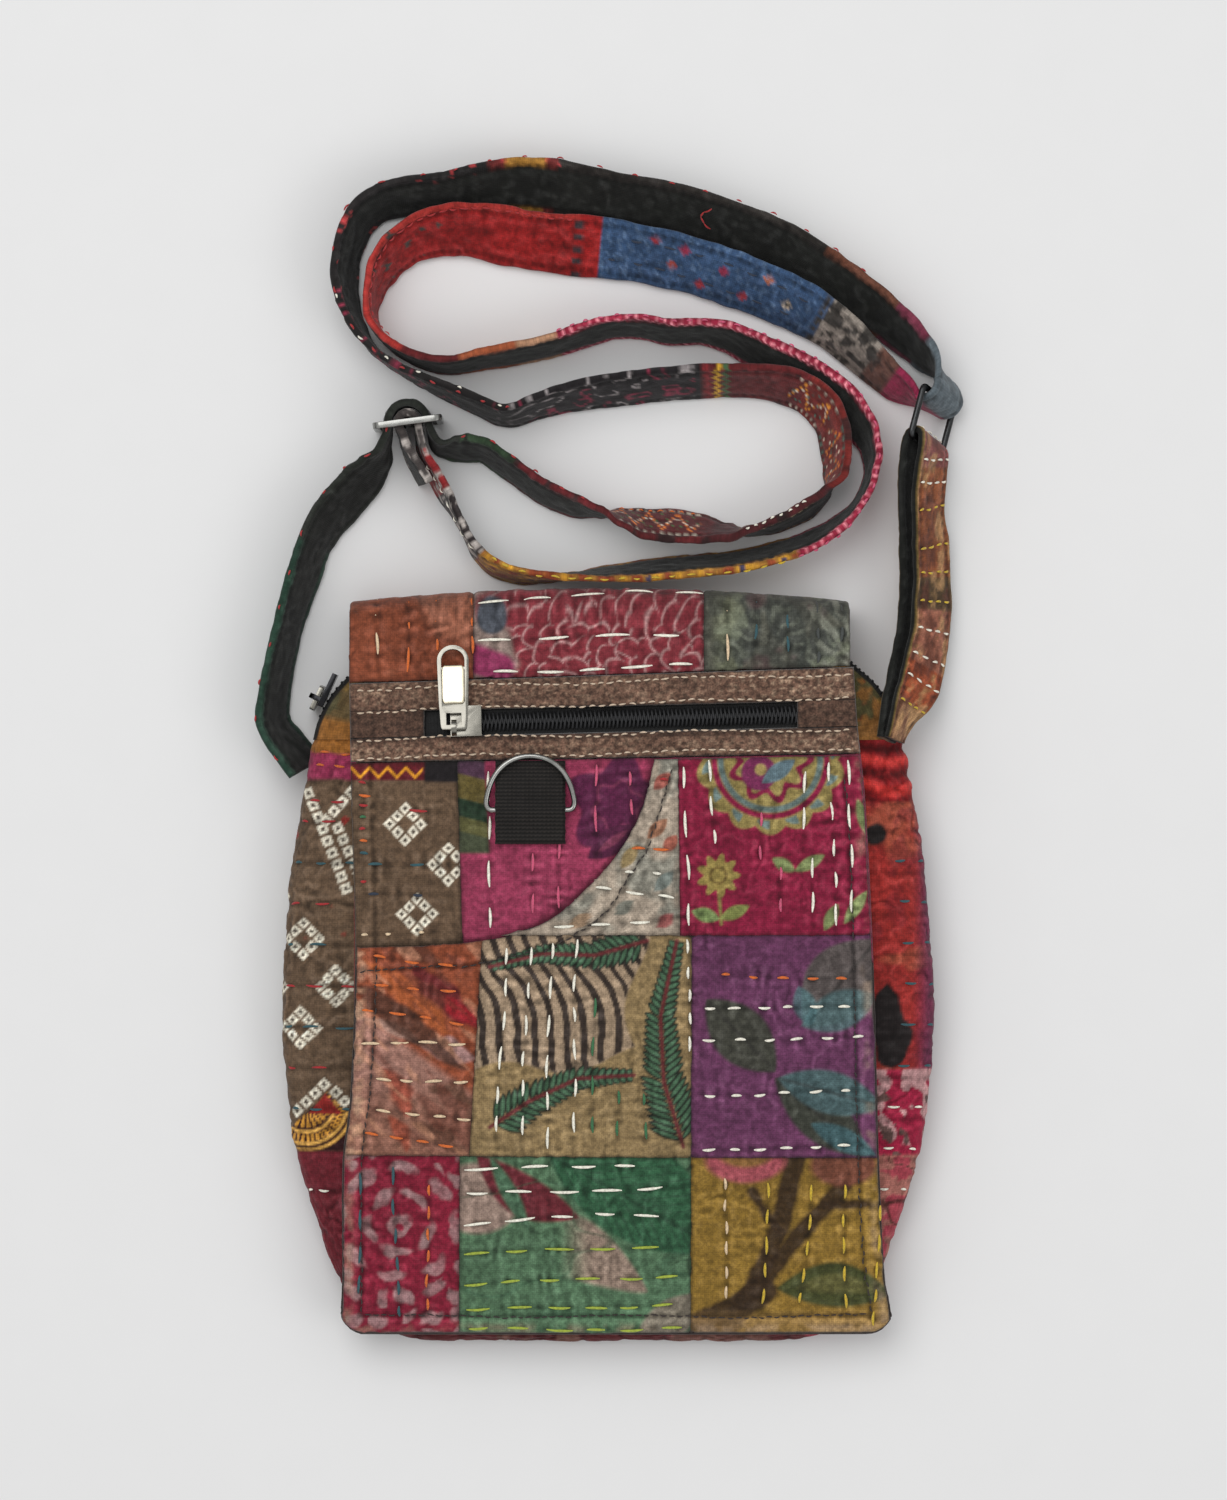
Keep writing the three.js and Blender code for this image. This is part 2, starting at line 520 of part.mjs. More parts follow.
// The pull leans down with the flap's slope
const PULL_LEAN = -0.03;
const pullPlace = (spec, frame, lean) =>
  pullPlate(spec).rotateX(lean).translate(EYE.x, -2.2, EYE.rise).applyMatrix4(frame);

const MOUTH_S = 0.945;
const mouthEdge = wallPoint(MOUTH_PATH, MOUTH_S, 0.5);
const mouthAlong = MOUTH_PATH.getTangentAt(MOUTH_S);
const mouthOut = point(mouthAlong.y, -mouthAlong.x, 0);
const mouthFrame = new THREE.Matrix4()
  .makeBasis(point(0, 0, -1).cross(mouthOut), point(0, 0, -1), mouthOut)
  .setPosition(mouthEdge.clone().addScaledVector(mouthOut, WALL / 2 + GAP + MOUTH_SIZE.thick));

// Frame of the strap's ring: along its bars, from the tab to the strap, and its face
const BAR = point(0.445, -0.286, -0.848).normalize();
const REACH = point(0.2555, 0.949, -0.1857).normalize();
const FACE = BAR.clone().cross(REACH);
const RING_AT = point(RING.x, RING.y, RING.z);
const barMiddle = (side) => RING_AT.clone().addScaledVector(REACH, side * RING.reach);

function strapRing() {
  const corner = (a, b) =>
    RING_AT.clone().addScaledVector(BAR, a).addScaledVector(REACH, b);
  const [w, h, r] = [RING.half, RING.reach, 1.6];
  const points = [];
  [[1, 1, 0], [-1, 1, 1], [-1, -1, 2], [1, -1, 3]].forEach(([sx, sy, quarter]) => {
    spread(3).forEach((k) => {
      const a = ((quarter + k) * Math.PI) / 2;
      points.push(corner(sx * (w - r) + r * Math.cos(a), sy * (h - r) + r * Math.sin(a)));
    });
  });
  return wire(points, FACE, WIRE);
}

// Stations of a flat band: place and direction across it, from its upper edge to its lower one
function laid(rows) {
  const { wide, thick } = STRAP;
  return rows.map(({ x, y, roll, lift }, i) => {
    const before = rows[Math.max(i - 1, 0)];
    const after = rows[Math.min(i + 1, rows.length - 1)];
    const along = new THREE.Vector2(after.x - before.x, after.y - before.y).normalize();
    const a = THREE.MathUtils.degToRad(roll);
    const across = point(-along.y * Math.cos(a), along.x * Math.cos(a), -Math.sin(a));
    const z = (wide / 2) * Math.sin(a) + (thick / 2) * Math.abs(Math.cos(a)) + 0.2 + lift;
    return { at: point(x, y, z), across };
  });
}
// Half turn about a bar: from the start direction's side, over the apex
function turn(middle, start, apex, radius, across, n) {
  return spread(n, 0, Math.PI).map((a) => {
    const at = middle.clone().addScaledVector(start, radius * Math.cos(a));
    return { at: at.addScaledVector(apex, radius * Math.sin(a)), across };
  });
}

// Buckle directions in plan: along it, and through its slots
const BUCKLE_LONG = point(Math.cos(BUCKLE.turn), Math.sin(BUCKLE.turn), 0);
const BUCKLE_THROUGH = point(-Math.sin(BUCKLE.turn), Math.cos(BUCKLE.turn), 0);
const BUCKLE_AT = point(BUCKLE.x, BUCKLE.y, 0.2 + BUCKLE.tall / 2);
const END_TURN = (BUCKLE.bar / 2) * Math.SQRT2 + 0.4 + STRAP.thick / 2;
const TAIL_TURN = END_TURN + STRAP.thick + 0.75;

function slideBuckle() {
  const { long, tall, thick, bar } = BUCKLE;
  const shape = new THREE.Shape();
  const r = 2.4;
  shape.absarc(long / 2 - r, tall / 2 - r, r, 0, Math.PI / 2, false);
  shape.absarc(r - long / 2, tall / 2 - r, r, Math.PI / 2, Math.PI, false);
  shape.absarc(r - long / 2, r - tall / 2, r, Math.PI, 1.5 * Math.PI, false);
  shape.absarc(long / 2 - r, r - tall / 2, r, 1.5 * Math.PI, 2 * Math.PI, false);
  const plate = new THREE.ExtrudeGeometry(shape, { depth: thick, bevelEnabled: false, curveSegments: 5 });
  const wide = (long - 3 * bar) / 2;
  const slots = [1, -1].map((side) =>
    new THREE.BoxGeometry(wide, tall - 2 * bar, 4 * thick).translate((side * (wide + bar)) / 2, 0, thick / 2),
  );
  const made = cut(plate, ...slots).translate(0, 0, -thick / 2);
  const basis = new THREE.Matrix4().makeBasis(BUCKLE_LONG, UP, BUCKLE_THROUGH.clone().negate());
  return made.applyMatrix4(basis.setPosition(BUCKLE_AT));
}

// The whole strap: tail, hump in the buckle, outer run, turn in the ring, inner run, turn at the bar, end
const DOWN = point(0, 0, -1);
const RING_IN = REACH.clone().multiplyScalar(-0.625).addScaledVector(FACE, 0.78).normalize();
const RING_SIDE = REACH.clone().multiplyScalar(0.78).addScaledVector(FACE, 0.625).normalize();
const ringLoop = barMiddle(1).addScaledVector(RING_IN, WIRE + 0.45 + STRAP.thick / 2 - RING.loop);
const STRAP_ROWS = [
  ...laid(TAIL),
  ...turn(BUCKLE_AT, BUCKLE_LONG.clone().negate(), BUCKLE_THROUGH, TAIL_TURN, DOWN, 8),
  ...laid(OUTER),
  ...turn(ringLoop, RING_SIDE, RING_IN, RING.loop, BAR, 4),
  ...laid(INNER),
  ...turn(BUCKLE_AT, BUCKLE_LONG, BUCKLE_THROUGH, END_TURN, DOWN, 8),
  ...laid(END),
];

// Places of a band every half millimetre, with its three directions
function stations(rows) {
  const curve = new THREE.CatmullRomCurve3(rows.map((r) => r.at), false, "centripetal");
  const count = rows.length - 1;
  const list = [];
  let length = 0;
  const fine = 24;
  for (let i = 0; i <= count * fine; i++) {
    const k = i / (count * fine);
    const at = curve.getPoint(k);
    const along = curve.getTangent(k);
    const [a, b] = [rows[Math.floor(i / fine)], rows[Math.min(Math.floor(i / fine) + 1, count)]];
    const across = a.across.clone().lerp(b.across, THREE.MathUtils.smoothstep((i % fine) / fine, 0, 1));
    across.addScaledVector(along, -across.dot(along)).normalize();
    if (list.length) length += at.distanceTo(list.at(-1).at);
    list.push({ at, along, across, face: along.clone().cross(across), s: length, row: i / fine });
  }
  return list;
}

// A length of the band between two places, with rings where it has turned or gone on far enough
function band(list, from, to) {
  const { wide, thick } = STRAP;
  const [w, t, c] = [wide / 2, thick / 2, 0.6];
  const section = [
    [-w + c, -t], [w - c, -t], [w, c - t], [w, t - c], [w - c, t], [c - w, t], [-w, t - c], [-w, c - t],
  ];
  const ring = ({ at, across, face }) =>
    section.map(([a, b]) => at.clone().addScaledVector(across, a).addScaledVector(face, b));
  const inside = list.filter((p) => p.s >= from && p.s <= to);
  const kept = [inside[0]];
  inside.forEach((p, i) => {
    const last = kept.at(-1);
    const swung = Math.max(p.along.angleTo(last.along), p.across.angleTo(last.across));
    const end = i === inside.length - 1;
    if (end || ((swung > 0.25 || p.s - last.s > 13) && inside.at(-1).s - p.s > 1)) kept.push(p);
  });
  return loft(kept.slice(kept[0] === kept[1] ? 1 : 0).map(ring));
}

// Doubled tab: up its back leg, round the ring's lower bar, and down its front leg
function strapTab() {
  const lower = barMiddle(-1);
  const radius = WIRE + 0.45 + STRAP.thick / 2;
  const lean = THREE.MathUtils.degToRad(49);
  const across = point(Math.cos(lean), 0, -Math.sin(lean));
  const face = point(Math.sin(lean), 0, Math.cos(lean));
  const leg = (side) =>
    TAB.map(({ x, y, z }, i) => {
      const apart = i === 0 ? 1.45 : lerp(1.8, radius, Math.min(1, i / 4));
      const k = THREE.MathUtils.smoothstep(i, 3, 7);
      return { at: point(x, y, z).addScaledVector(face, side * apart), across: across.clone().lerp(BAR, k) };
    });
  const rows = [
    ...leg(-1),
    ...turn(lower, FACE.clone().negate(), REACH, radius, BAR, 4),
    ...leg(1).reverse(),
  ];
  const list = stations(rows);
  return band(list, 0, list.at(-1).s);
}

// Meshes, each with its own finish, gathered by sub-assembly
const METAL = { metalness: 1, roughness: 0.3 };
const CLOTH = { metalness: 0, roughness: 0.92 };
function add(parent, name, geometry, color, finish = CLOTH) {
  const mesh = new THREE.Mesh(geometry, new THREE.MeshStandardMaterial({ color, ...finish }));
  mesh.name = name;
  parent.add(mesh);
}
const group = new THREE.Group();
const part = (name) => {
  const made = new THREE.Group();
  made.name = name;
  group.add(made);
  return made;
};

const body = part("body");
add(body, "back_panel", backPanel(), 0x6b3d3f);
add(body, "front_panel", frontPanel(), 0x7a3b34);
add(body, "gusset", gusset(), 0x7d5a4a);
add(body, "mouth_tape_front", mouthTape(true), 0x2a2622);
add(body, "mouth_tape_back", mouthTape(false), 0x2a2622);
add(body, "mouth_slider", sliderBody(MOUTH_SIZE).applyMatrix4(mouthFrame), 0x4a4c50, METAL);
add(body, "mouth_pull", pullPlace(MOUTH_PULL, mouthFrame, 0), 0x55575b, METAL);

const flap = part("flap");
add(flap, "flap_top", flapTop(), 0x7c4438);
add(flap, "zip_band", zipBand(), 0x5c483b);
add(flap, "zip_tape", zipTape(), 0x131313);
add(flap, "zip_coil", zipCoil(), 0x15171a, { metalness: 0, roughness: 0.5 });
add(flap, "zip_slider", sliderBody(ZIP_SIZE).applyMatrix4(zipFrame), 0xbcb4a2, METAL);
add(flap, "zip_pull", pullPlace(ZIP_PULL, zipFrame, PULL_LEAN), 0xd8d0bc, METAL);
add(flap, "flap_panel", flapPanel(), 0x8a2f4a);
add(flap, "flap_pocket", flapPocket(), 0x7d3f45);
add(flap, "ring_tab", ringTab(), 0x141513);
add(flap, "d_ring", dRing(), 0xc9c9c6, METAL);

// Lengths of the strap between its seams, each from the row where it starts
const LENGTHS = [
  { name: "strap_tail", row: 0, color: 0x23261f },
  { name: "strap_right_loop", row: 29, color: 0x5a1d1c },
  { name: "strap_left_loop", row: 56, color: 0x1f1b1c },
  { name: "strap_top_run", row: 74, color: 0x20201e },
  { name: "strap_inner_left", row: 90, color: 0x7a2320 },
  { name: "strap_inner_right", row: 110, color: 0x8a3b4a },
  { name: "strap_inner_end", row: 129, color: 0x8a6a22 },
];
const strap = part("strap");
const strapList = stations(STRAP_ROWS);
const STRAP_LONG = strapList.at(-1).s;
const startOf = (i) => (i < LENGTHS.length ? strapList.find((p) => p.row >= LENGTHS[i].row).s : STRAP_LONG);
LENGTHS.forEach(({ name, color }, i) => {
  const from = startOf(i) + (i ? GAP / 2 : 0);
  const to = startOf(i + 1) - (i + 1 < LENGTHS.length ? GAP / 2 : 0);
  add(strap, name, band(strapList, from, to), color);
});
add(strap, "slide_buckle", slideBuckle(), 0xc4c4c0, METAL);
add(strap, "strap_ring", strapRing(), 0x6d6f72, METAL);
add(strap, "strap_tab", strapTab(), 0x6e4330);

export default group;
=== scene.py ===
"""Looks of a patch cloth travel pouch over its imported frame. Lengths are millimetres until a mesh is made."""

import logging
import math
from dataclasses import dataclass, field
from enum import Enum
from typing import Callable, Iterable, Sequence

import bmesh
import bpy
import numpy as np
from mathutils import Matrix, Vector


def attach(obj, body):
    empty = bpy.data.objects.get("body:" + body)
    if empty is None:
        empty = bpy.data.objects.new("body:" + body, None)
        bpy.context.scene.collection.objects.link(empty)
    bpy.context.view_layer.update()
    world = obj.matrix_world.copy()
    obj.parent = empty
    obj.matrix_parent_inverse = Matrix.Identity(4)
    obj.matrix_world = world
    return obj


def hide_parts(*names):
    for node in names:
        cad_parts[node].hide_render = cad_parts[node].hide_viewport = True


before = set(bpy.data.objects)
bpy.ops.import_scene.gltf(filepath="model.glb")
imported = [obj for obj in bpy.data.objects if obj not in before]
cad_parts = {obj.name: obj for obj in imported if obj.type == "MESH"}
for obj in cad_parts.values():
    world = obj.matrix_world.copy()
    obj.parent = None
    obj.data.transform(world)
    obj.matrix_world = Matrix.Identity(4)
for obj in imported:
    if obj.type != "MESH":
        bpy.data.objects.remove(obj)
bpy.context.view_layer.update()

LOG = logging.getLogger("pouch")
Array = np.ndarray
Colour = tuple[int, int, int]
MM = 0.001
POUCH = "pouch"

# Cloth layers and the body, as in the solids
PANEL, WALL, FLAP, POCKET, GAP = 2.0, 1.6, 2.0, 1.4, 0.3
HALF, BOTTOM, SHOULDER, TOP = 77.0, -110.0, 70.0, 100.0
SEAM_INSET, CROWN, MOUTH_OPEN = 2.5, 5.0, 0.25
FLAP_CLEAR, FLAP_END, FLAP_CORNER = 1.6, -113.0, 7.0
FOLD_START, FOLD_REACH, FOLD_BOW, FOLD_LONG, FOLD_BACK = 106.0, 9.7, 4.0, 17.5, 5.0
POCKET_RISE = FLAP / 2 + GAP + 0.25 + POCKET / 2

RISE = [
    (-118, 7.5), (-110, 10), (-95, 14.5), (-60, 21), (-20, 25), (20, 26), (60, 25), (80, 22.8), (100, 19),
    (118, 17),
]
BULGE = [
    (-112, 4.5), (-95, 6.5), (-80, 11), (-70, 14.5), (-57, 18), (-44, 20.2), (-20, 22.4), (5, 21.8),
    (36, 18.9), (60, 14.6), (72, 12.6), (86, 9), (102, 6),
]
FRONT = [(-110, 52), (-107, 62), (-103, 69), (-95, 75), (-84, 77), (66, 77), (80, 73), (92, 65), (100, 54)]
FLAP_LEFT = [
    (-113, -82.1), (-106, -82.2), (-95, -81.6), (-58, -81.2), (-40, -78.9), (5, -77.2), (52, -78.4),
    (75, -78.9), (100, -79.4), (118, -79.2),
]
FLAP_RIGHT = [
    (-113, 87.2), (-106, 87), (-95, 85), (-58, 83), (-40, 82.4), (5, 81), (52, 78.6), (75, 76.3), (100, 74.8),
    (118, 73.6),
]
# Curved mouth of the flap's pocket
POCKET_MOUTH = [(-84, 6.4), (-42, 8.4), (-21, 13.6), (-5.5, 25.8), (2.8, 35.2), (10, 48), (14.2, 64)]
MOUTH_STITCH = [(-45, 1.0), (-20, 5.5), (-4.6, 13.9), (1.2, 19.1), (11, 35.2)]
HEM_REACH, SEAM_REACH, SEAM_DEEP = 1.1, 1.4, 0.75
LINING: Colour = (58, 46, 42)
TIE_PALE: Colour = (236, 228, 208)
TIE_DARK: Colour = (64, 50, 40)


def srgb(colour: Sequence[float]) -> Array:
    """Scene-linear value of a display colour given from 0 to 255."""
    c = np.asarray(colour, float) / 255
    return np.where(c <= 0.04045, c / 12.92, ((c + 0.055) / 1.055) ** 2.4)


def smooth(value: Array, low: float, high: float) -> Array:
    """Smooth step from 0 at low to 1 at high."""
    t = np.clip((value - low) / (high - low), 0, 1)
    return t * t * (3 - 2 * t)


def unit(v: Array) -> Array:
    """Vectors of length one."""
    return v / np.maximum(np.linalg.norm(v, axis=-1, keepdims=True), 1e-9)


def curve_at(table: Sequence[tuple[float, float]], at: Array) -> Array:
    """Value on the smooth curve through a table's rows.

    Args:
        table: Rows of place and value, by rising place.
        at: Places.

    Returns:
        The values, constant beyond both ends.
    """
    k, v = (np.array(column, float) for column in zip(*table))
    slope = np.empty_like(v)
    slope[1:-1] = (v[2:] - v[:-2]) / (k[2:] - k[:-2])
    slope[0], slope[-1] = (v[1] - v[0]) / (k[1] - k[0]), (v[-1] - v[-2]) / (k[-1] - k[-2])
    i = np.clip(np.searchsorted(k, at, side="right") - 1, 0, len(k) - 2)
    span = k[i + 1] - k[i]
    t = np.clip((at - k[i]) / span, 0, 1)
    m, n, d = slope[i] * span, slope[i + 1] * span, v[i + 1] - v[i]
    return v[i] + m * t + (3 * d - 2 * m - n) * t**2 + (m + n - 2 * d) * t**3


@dataclass
class Unevenness:
    """Seeded smooth noise on cloth coordinates, from a table of lattice values that repeats."""

    seed: int
    cells: int = 128
    fade: float = 0.55
    shift: tuple[float, float] = (17.3, 5.1)
    values: Array = field(init=False)

    def __post_init__(self) -> None:
        """Fills the table."""
        self.values = np.random.default_rng(self.seed).random((self.cells, self.cells))

    def draw(self, i: Array, j: Array) -> Array:
        """Values of lattice places."""
        return self.values[i % self.cells, j % self.cells]

    def plain(self, x: Array, y: Array) -> Array:
        """Noise from 0 to 1 with one lattice cell per unit.

        Args:
            x, y: Places, in lattice cells.

        Returns:
            Noise at the places.
        """
        i, j = np.floor(x).astype(int), np.floor(y).astype(int)
        s, t = smooth(x - i, 0, 1), smooth(y - j, 0, 1)
        low = self.draw(i, j) * (1 - s) + self.draw(i + 1, j) * s
        high = self.draw(i, j + 1) * (1 - s) + self.draw(i + 1, j + 1) * s
        return low * (1 - t) + high * t

    def layers(self, x: Array, y: Array, size: float, octaves: int = 3) -> Array:
        """Sum of finer and finer noise, from -1 to 1, whose broadest bumps are size millimetres wide.

        Args:
            x, y: Places.
            size: Width of the broadest bumps.
            octaves: Number of layers.

        Returns:
            Noise at the places.
        """
        total, weight = 0.0, 0.0
        for o in range(octaves):
            k, w = 2**o / size, self.fade**o
            total = total + w * self.plain(x * k + self.shift[0] * o, y * k + self.shift[1] * o)
            weight += w
        return 2 * total / weight - 1


STAIN, CREASE, WOBBLE = Unevenness(3), Unevenness(11), Unevenness(29)


def rim(y: Array) -> Array:
    """Height of the wall's upper seam."""
    return curve_at(RISE, y)


def crown(x: Array, y: Array) -> Array:
    """Doming of the front and of the flap over it."""
    ends = smooth(y, BOTTOM - 6, -40) * (1 - 0.5 * smooth(y, 40, TOP))
    return CROWN * (1 - (x / HALF) ** 2) * (0.25 + 0.75 * ends)


def flap_height(x: Array, y: Array) -> Array:
    """Height of the middle of the flap's cloth."""
    return rim(y) + crown(x, y) + PANEL + FLAP_CLEAR + FLAP / 2


def flap_left(y: Array) -> Array:
    """Left edge of the flap."""
    return curve_at(FLAP_LEFT, y)


def flap_right(y: Array) -> Array:
    """Right edge of the flap."""
    return curve_at(FLAP_RIGHT, y)


def band_top(x: Array) -> Array:
    """Upper edge of the zip band."""
    return 90 + 0.033 * x


def band_bottom(x: Array) -> Array:
    """Lower edge of the zip band."""
    return 64.7 + 0.018 * x


# Tools for prints


def inked(rgb: Array, mask: Array, colour: Colour) -> Array:
    """Print of one ink over a cloth's colours."""
    return rgb + np.clip(mask, 0, 1)[..., None] * (srgb(colour) - rgb)


def over(rgb: Array, mask: Array, cloth: Array) -> Array:
    """Colours of another cloth where a mask is 1."""
    return rgb + mask[..., None] * (cloth - rgb)


def inside(distance: Array, soft: float = 0.3) -> Array:
    """Mask that is 1 where a signed distance is negative."""
    return np.clip(0.5 - distance / (2 * soft), 0, 1)


def local(x: Array, y: Array, a: Sequence[float], b: Sequence[float]) -> tuple[Array, Array, float]:
    """Place along and across a line from a to b, and the line's length.

    Args:
        x, y: Places.
        a, b: Ends of the line.

    Returns:
        Place along, place across and length.
    """
    dx, dy = b[0] - a[0], b[1] - a[1]
    long = math.hypot(dx, dy)
    return ((x - a[0]) * dx + (y - a[1]) * dy) / long, ((y - a[1]) * dx - (x - a[0]) * dy) / long, long


def leaf(x: Array, y: Array, a: Sequence[float], b: Sequence[float], wide: float, bend: float = 0.0) -> Array:
    """Signed distance of a pointed leaf from stalk a to tip b.

    Args:
        x, y: Places.
        a, b: Stalk and tip.
        wide: Width of the leaf.
        bend: Sideways bow.

    Returns:
        Distances, negative in the leaf.
    """
    s, t, long = local(x, y, a, b)
    k = np.clip(s / long, 0, 1)
    outside = np.maximum(np.maximum(-s, s - long), 0)
    return np.abs(t - bend * np.sin(np.pi * k)) - wide / 2 * np.sin(np.pi * k) ** 0.8 + outside


def leaves(
    rgb: Array, x: Array, y: Array, table: Iterable[tuple],
    share: float = 1.0, soft: float = 0.3, bend: float = 0.0,
) -> Array:
    """Print of several leaves.

    Args:
        rgb: Colours printed on.
        x, y: Places.
        table: Rows of stalk, tip, width and ink.
        share: Strength of the inks.
        soft: Softness of the outlines.
        bend: How far the leaves bow to one side.

    Returns:
        The printed colours.
    """
    for a, b, wide, ink in table:
        rgb = inked(rgb, share * inside(leaf(x, y, a, b, wide, bend), soft), ink)
    return rgb


def stroke(x: Array, y: Array, points: Sequence[Sequence[float]], wide: float) -> Array:
    """Signed distance of a line of even width through points.

    Args:
        x, y: Places.
        points: Points of the line.
        wide: Width of the line.

    Returns:
        Distances, negative in the line.
    """
    best = np.full(np.shape(x), 1e9)
    for a, b in zip(points, points[1:]):
        s, t, long = local(x, y, a, b)
        best = np.minimum(best, np.hypot(t, np.maximum(np.maximum(-s, s - long), 0)))
    return best - wide / 2


def ground(x: Array, y: Array, colour: Colour, uneven: float = 0.16, size: float = 14) -> Array:
    """Dyed cloth with broad unevenness and fine slubs.

    Args:
        x, y: Places.
        colour: Colour of the dye.
        uneven: Strength of the unevenness.
        size: Width of its broadest bumps.

    Returns:
        The colours.
    """
    shade = 1 + uneven * STAIN.layers(x, y, size, 4) + 0.1 * STAIN.layers(x * 0.3, y * 3.0, 2.2, 2)
    shade = shade + 0.17 * STAIN.layers(x + 71, y, 3.4, 2) + 0.13 * STAIN.plain(x * 1.7, y * 1.7) - 0.065
    return srgb(colour) * np.clip(shade, 0.2, 2)[..., None]


def crease_shade_and_wear(rgb: Array, relief: Array, reach: int = 4, deep: float = 0.3) -> Array:
    """Painted light on crumpled cloth: darker valleys as painted shade, paler ridges as painted highlight and
    rubbed wear.

    Args:
        rgb: Colours of the show side on its grid.
        relief: Height of the cloth on the same grid.
        reach: Grid cells over which a height counts as local.
        deep: Height that gives the full effect.

    Returns:
        The colours with painted shade, painted highlight and wear.
    """
    wide = np.pad(relief, reach, mode="edge")
    total = np.pad(np.cumsum(np.cumsum(wide, 0), 1), ((1, 0), (1, 0)))
    n = 2 * reach + 1
    mean = (total[n:, n:] - total[:-n, n:] - total[n:, :-n] + total[:-n, :-n]) / n**2
    k = np.clip((relief - mean) / deep, -1, 1)[..., None]
    return rgb * (1 + np.where(k < 0, 0.56, 0.55) * k) + 0.02 * np.maximum(k, 0)


def tied(rgb: Array, live: Array, d: Array, size: float, dot: float) -> Array:
    """Tied squares in the live cells, each with a dot in it, by distance from the middle of the cell."""
    rgb = inked(rgb, live * inside(d - size, 0.22), TIE_PALE)
    return inked(rgb, live * inside(d - dot, 0.2), TIE_DARK)


def tie_squares(rgb: Array, x: Array, y: Array, centre: Sequence[float], pitch: float = 3.4) -> Array:
    """Diamond of small tied squares, each with a dot in it.

    Args:
        rgb: Colours so far.
        x, y: Places.
        centre: Middle of the diamond.
        pitch: Distance between squares.

    Returns:
        The colours.
    """
    u, v, _ = local(x, y, centre, (centre[0] + 1, centre[1] + 1))
    u, v = u + 0.25 * WOBBLE.layers(x, y, 4, 1), v + 0.25 * WOBBLE.layers(y, x, 4, 1)
    i, j = np.round(u / pitch), np.round(v / pitch)
    d = np.maximum(np.abs(u - i * pitch), np.abs(v - j * pitch))
    live = (np.maximum(np.abs(i), np.abs(j)) == 1).astype(float)
    return tied(rgb, live, d, 1.3, 0.55)


def tie_chain(
    rgb: Array, x: Array, y: Array, a: Sequence[float], b: Sequence[float], pitch: float = 3.9
) -> Array:
    """Row of small tied squares along a line.

    Args:
        rgb: Colours so far.
        x, y: Places.
        a, b: Ends of the line.
        pitch: Distance between squares.

    Returns:
        The colours.
    """
    s, t, long = local(x, y, a, b)
    i, j = np.round(s / pitch), np.round(t / pitch)
    d = np.maximum(np.abs(s - pitch * i), np.abs(t - pitch * j))
    live = ((i >= 0) & (i * pitch <= long) & (j == 0)).astype(float)
    return tied(rgb, live, d, 1.45, 0.6)


def frond(
    rgb: Array, x: Array, y: Array, rib: Sequence[Sequence[float]], long: float, inks: Sequence[Colour]
) -> Array:
    """Fern frond: leaflets on both sides of a rib, shorter towards its tip.

    Args:
        rgb: Colours printed on.
        x, y: Places.
        rib: Points from the stalk to the tip.
        long: Length of the lowest leaflets.
        inks: Outline, leaf and rib colours.

    Returns:
        The printed colours.
    """
    points = np.array(rib, float)
    steps = np.concatenate([[0], np.cumsum(np.linalg.norm(np.diff(points, axis=0), axis=1))])
    count = int(steps[-1] / 2.1)
    for n in range(1, count):
        k = steps[-1] * n / count
        at = np.array([np.interp(k, steps, points[:, c]) for c in (0, 1)])
        ahead = np.array([np.interp(k + 1, steps, points[:, c]) for c in (0, 1)]) - at
        way = unit(ahead if n < count - 1 else points[-1] - points[-2])
        reach = long * (1 - 0.75 * n / count)
        for side in (1, -1):
            out = way * 0.62 + side * 0.8 * np.array([-way[1], way[0]])
            d = leaf(x, y, at, at + out * reach, 1.9)
            rgb = inked(rgb, inside(d - 0.25, 0.25), inks[0])
            rgb = inked(rgb, inside(d + 0.32, 0.25), inks[1])
    return inked(rgb, inside(stroke(x, y, rib, 1.1)), inks[2])


class Cloth(Enum):
    """Cloths of the patchwork, each by its print."""

    RUST = "rust"
    SCALES = "scales"
    GREY_LEAF = "grey_leaf"
    SQUARES = "squares"
    MAGENTA = "magenta"
    CREAM = "cream"
    PAISLEY = "paisley"
    RUST_STREAK = "rust_streak"
    FERN = "fern"
    PURPLE = "purple"
    SWIRL = "swirl"
    GREEN = "green"
    MUSTARD = "mustard"
    NAP = "nap"
    LINING = "lining"
    BLACK = "black"

    def paint(self, x: Array, y: Array) -> Array:
        """Colours of the cloth at places in millimetres."""
        return getattr(Prints, self.value)(x, y)


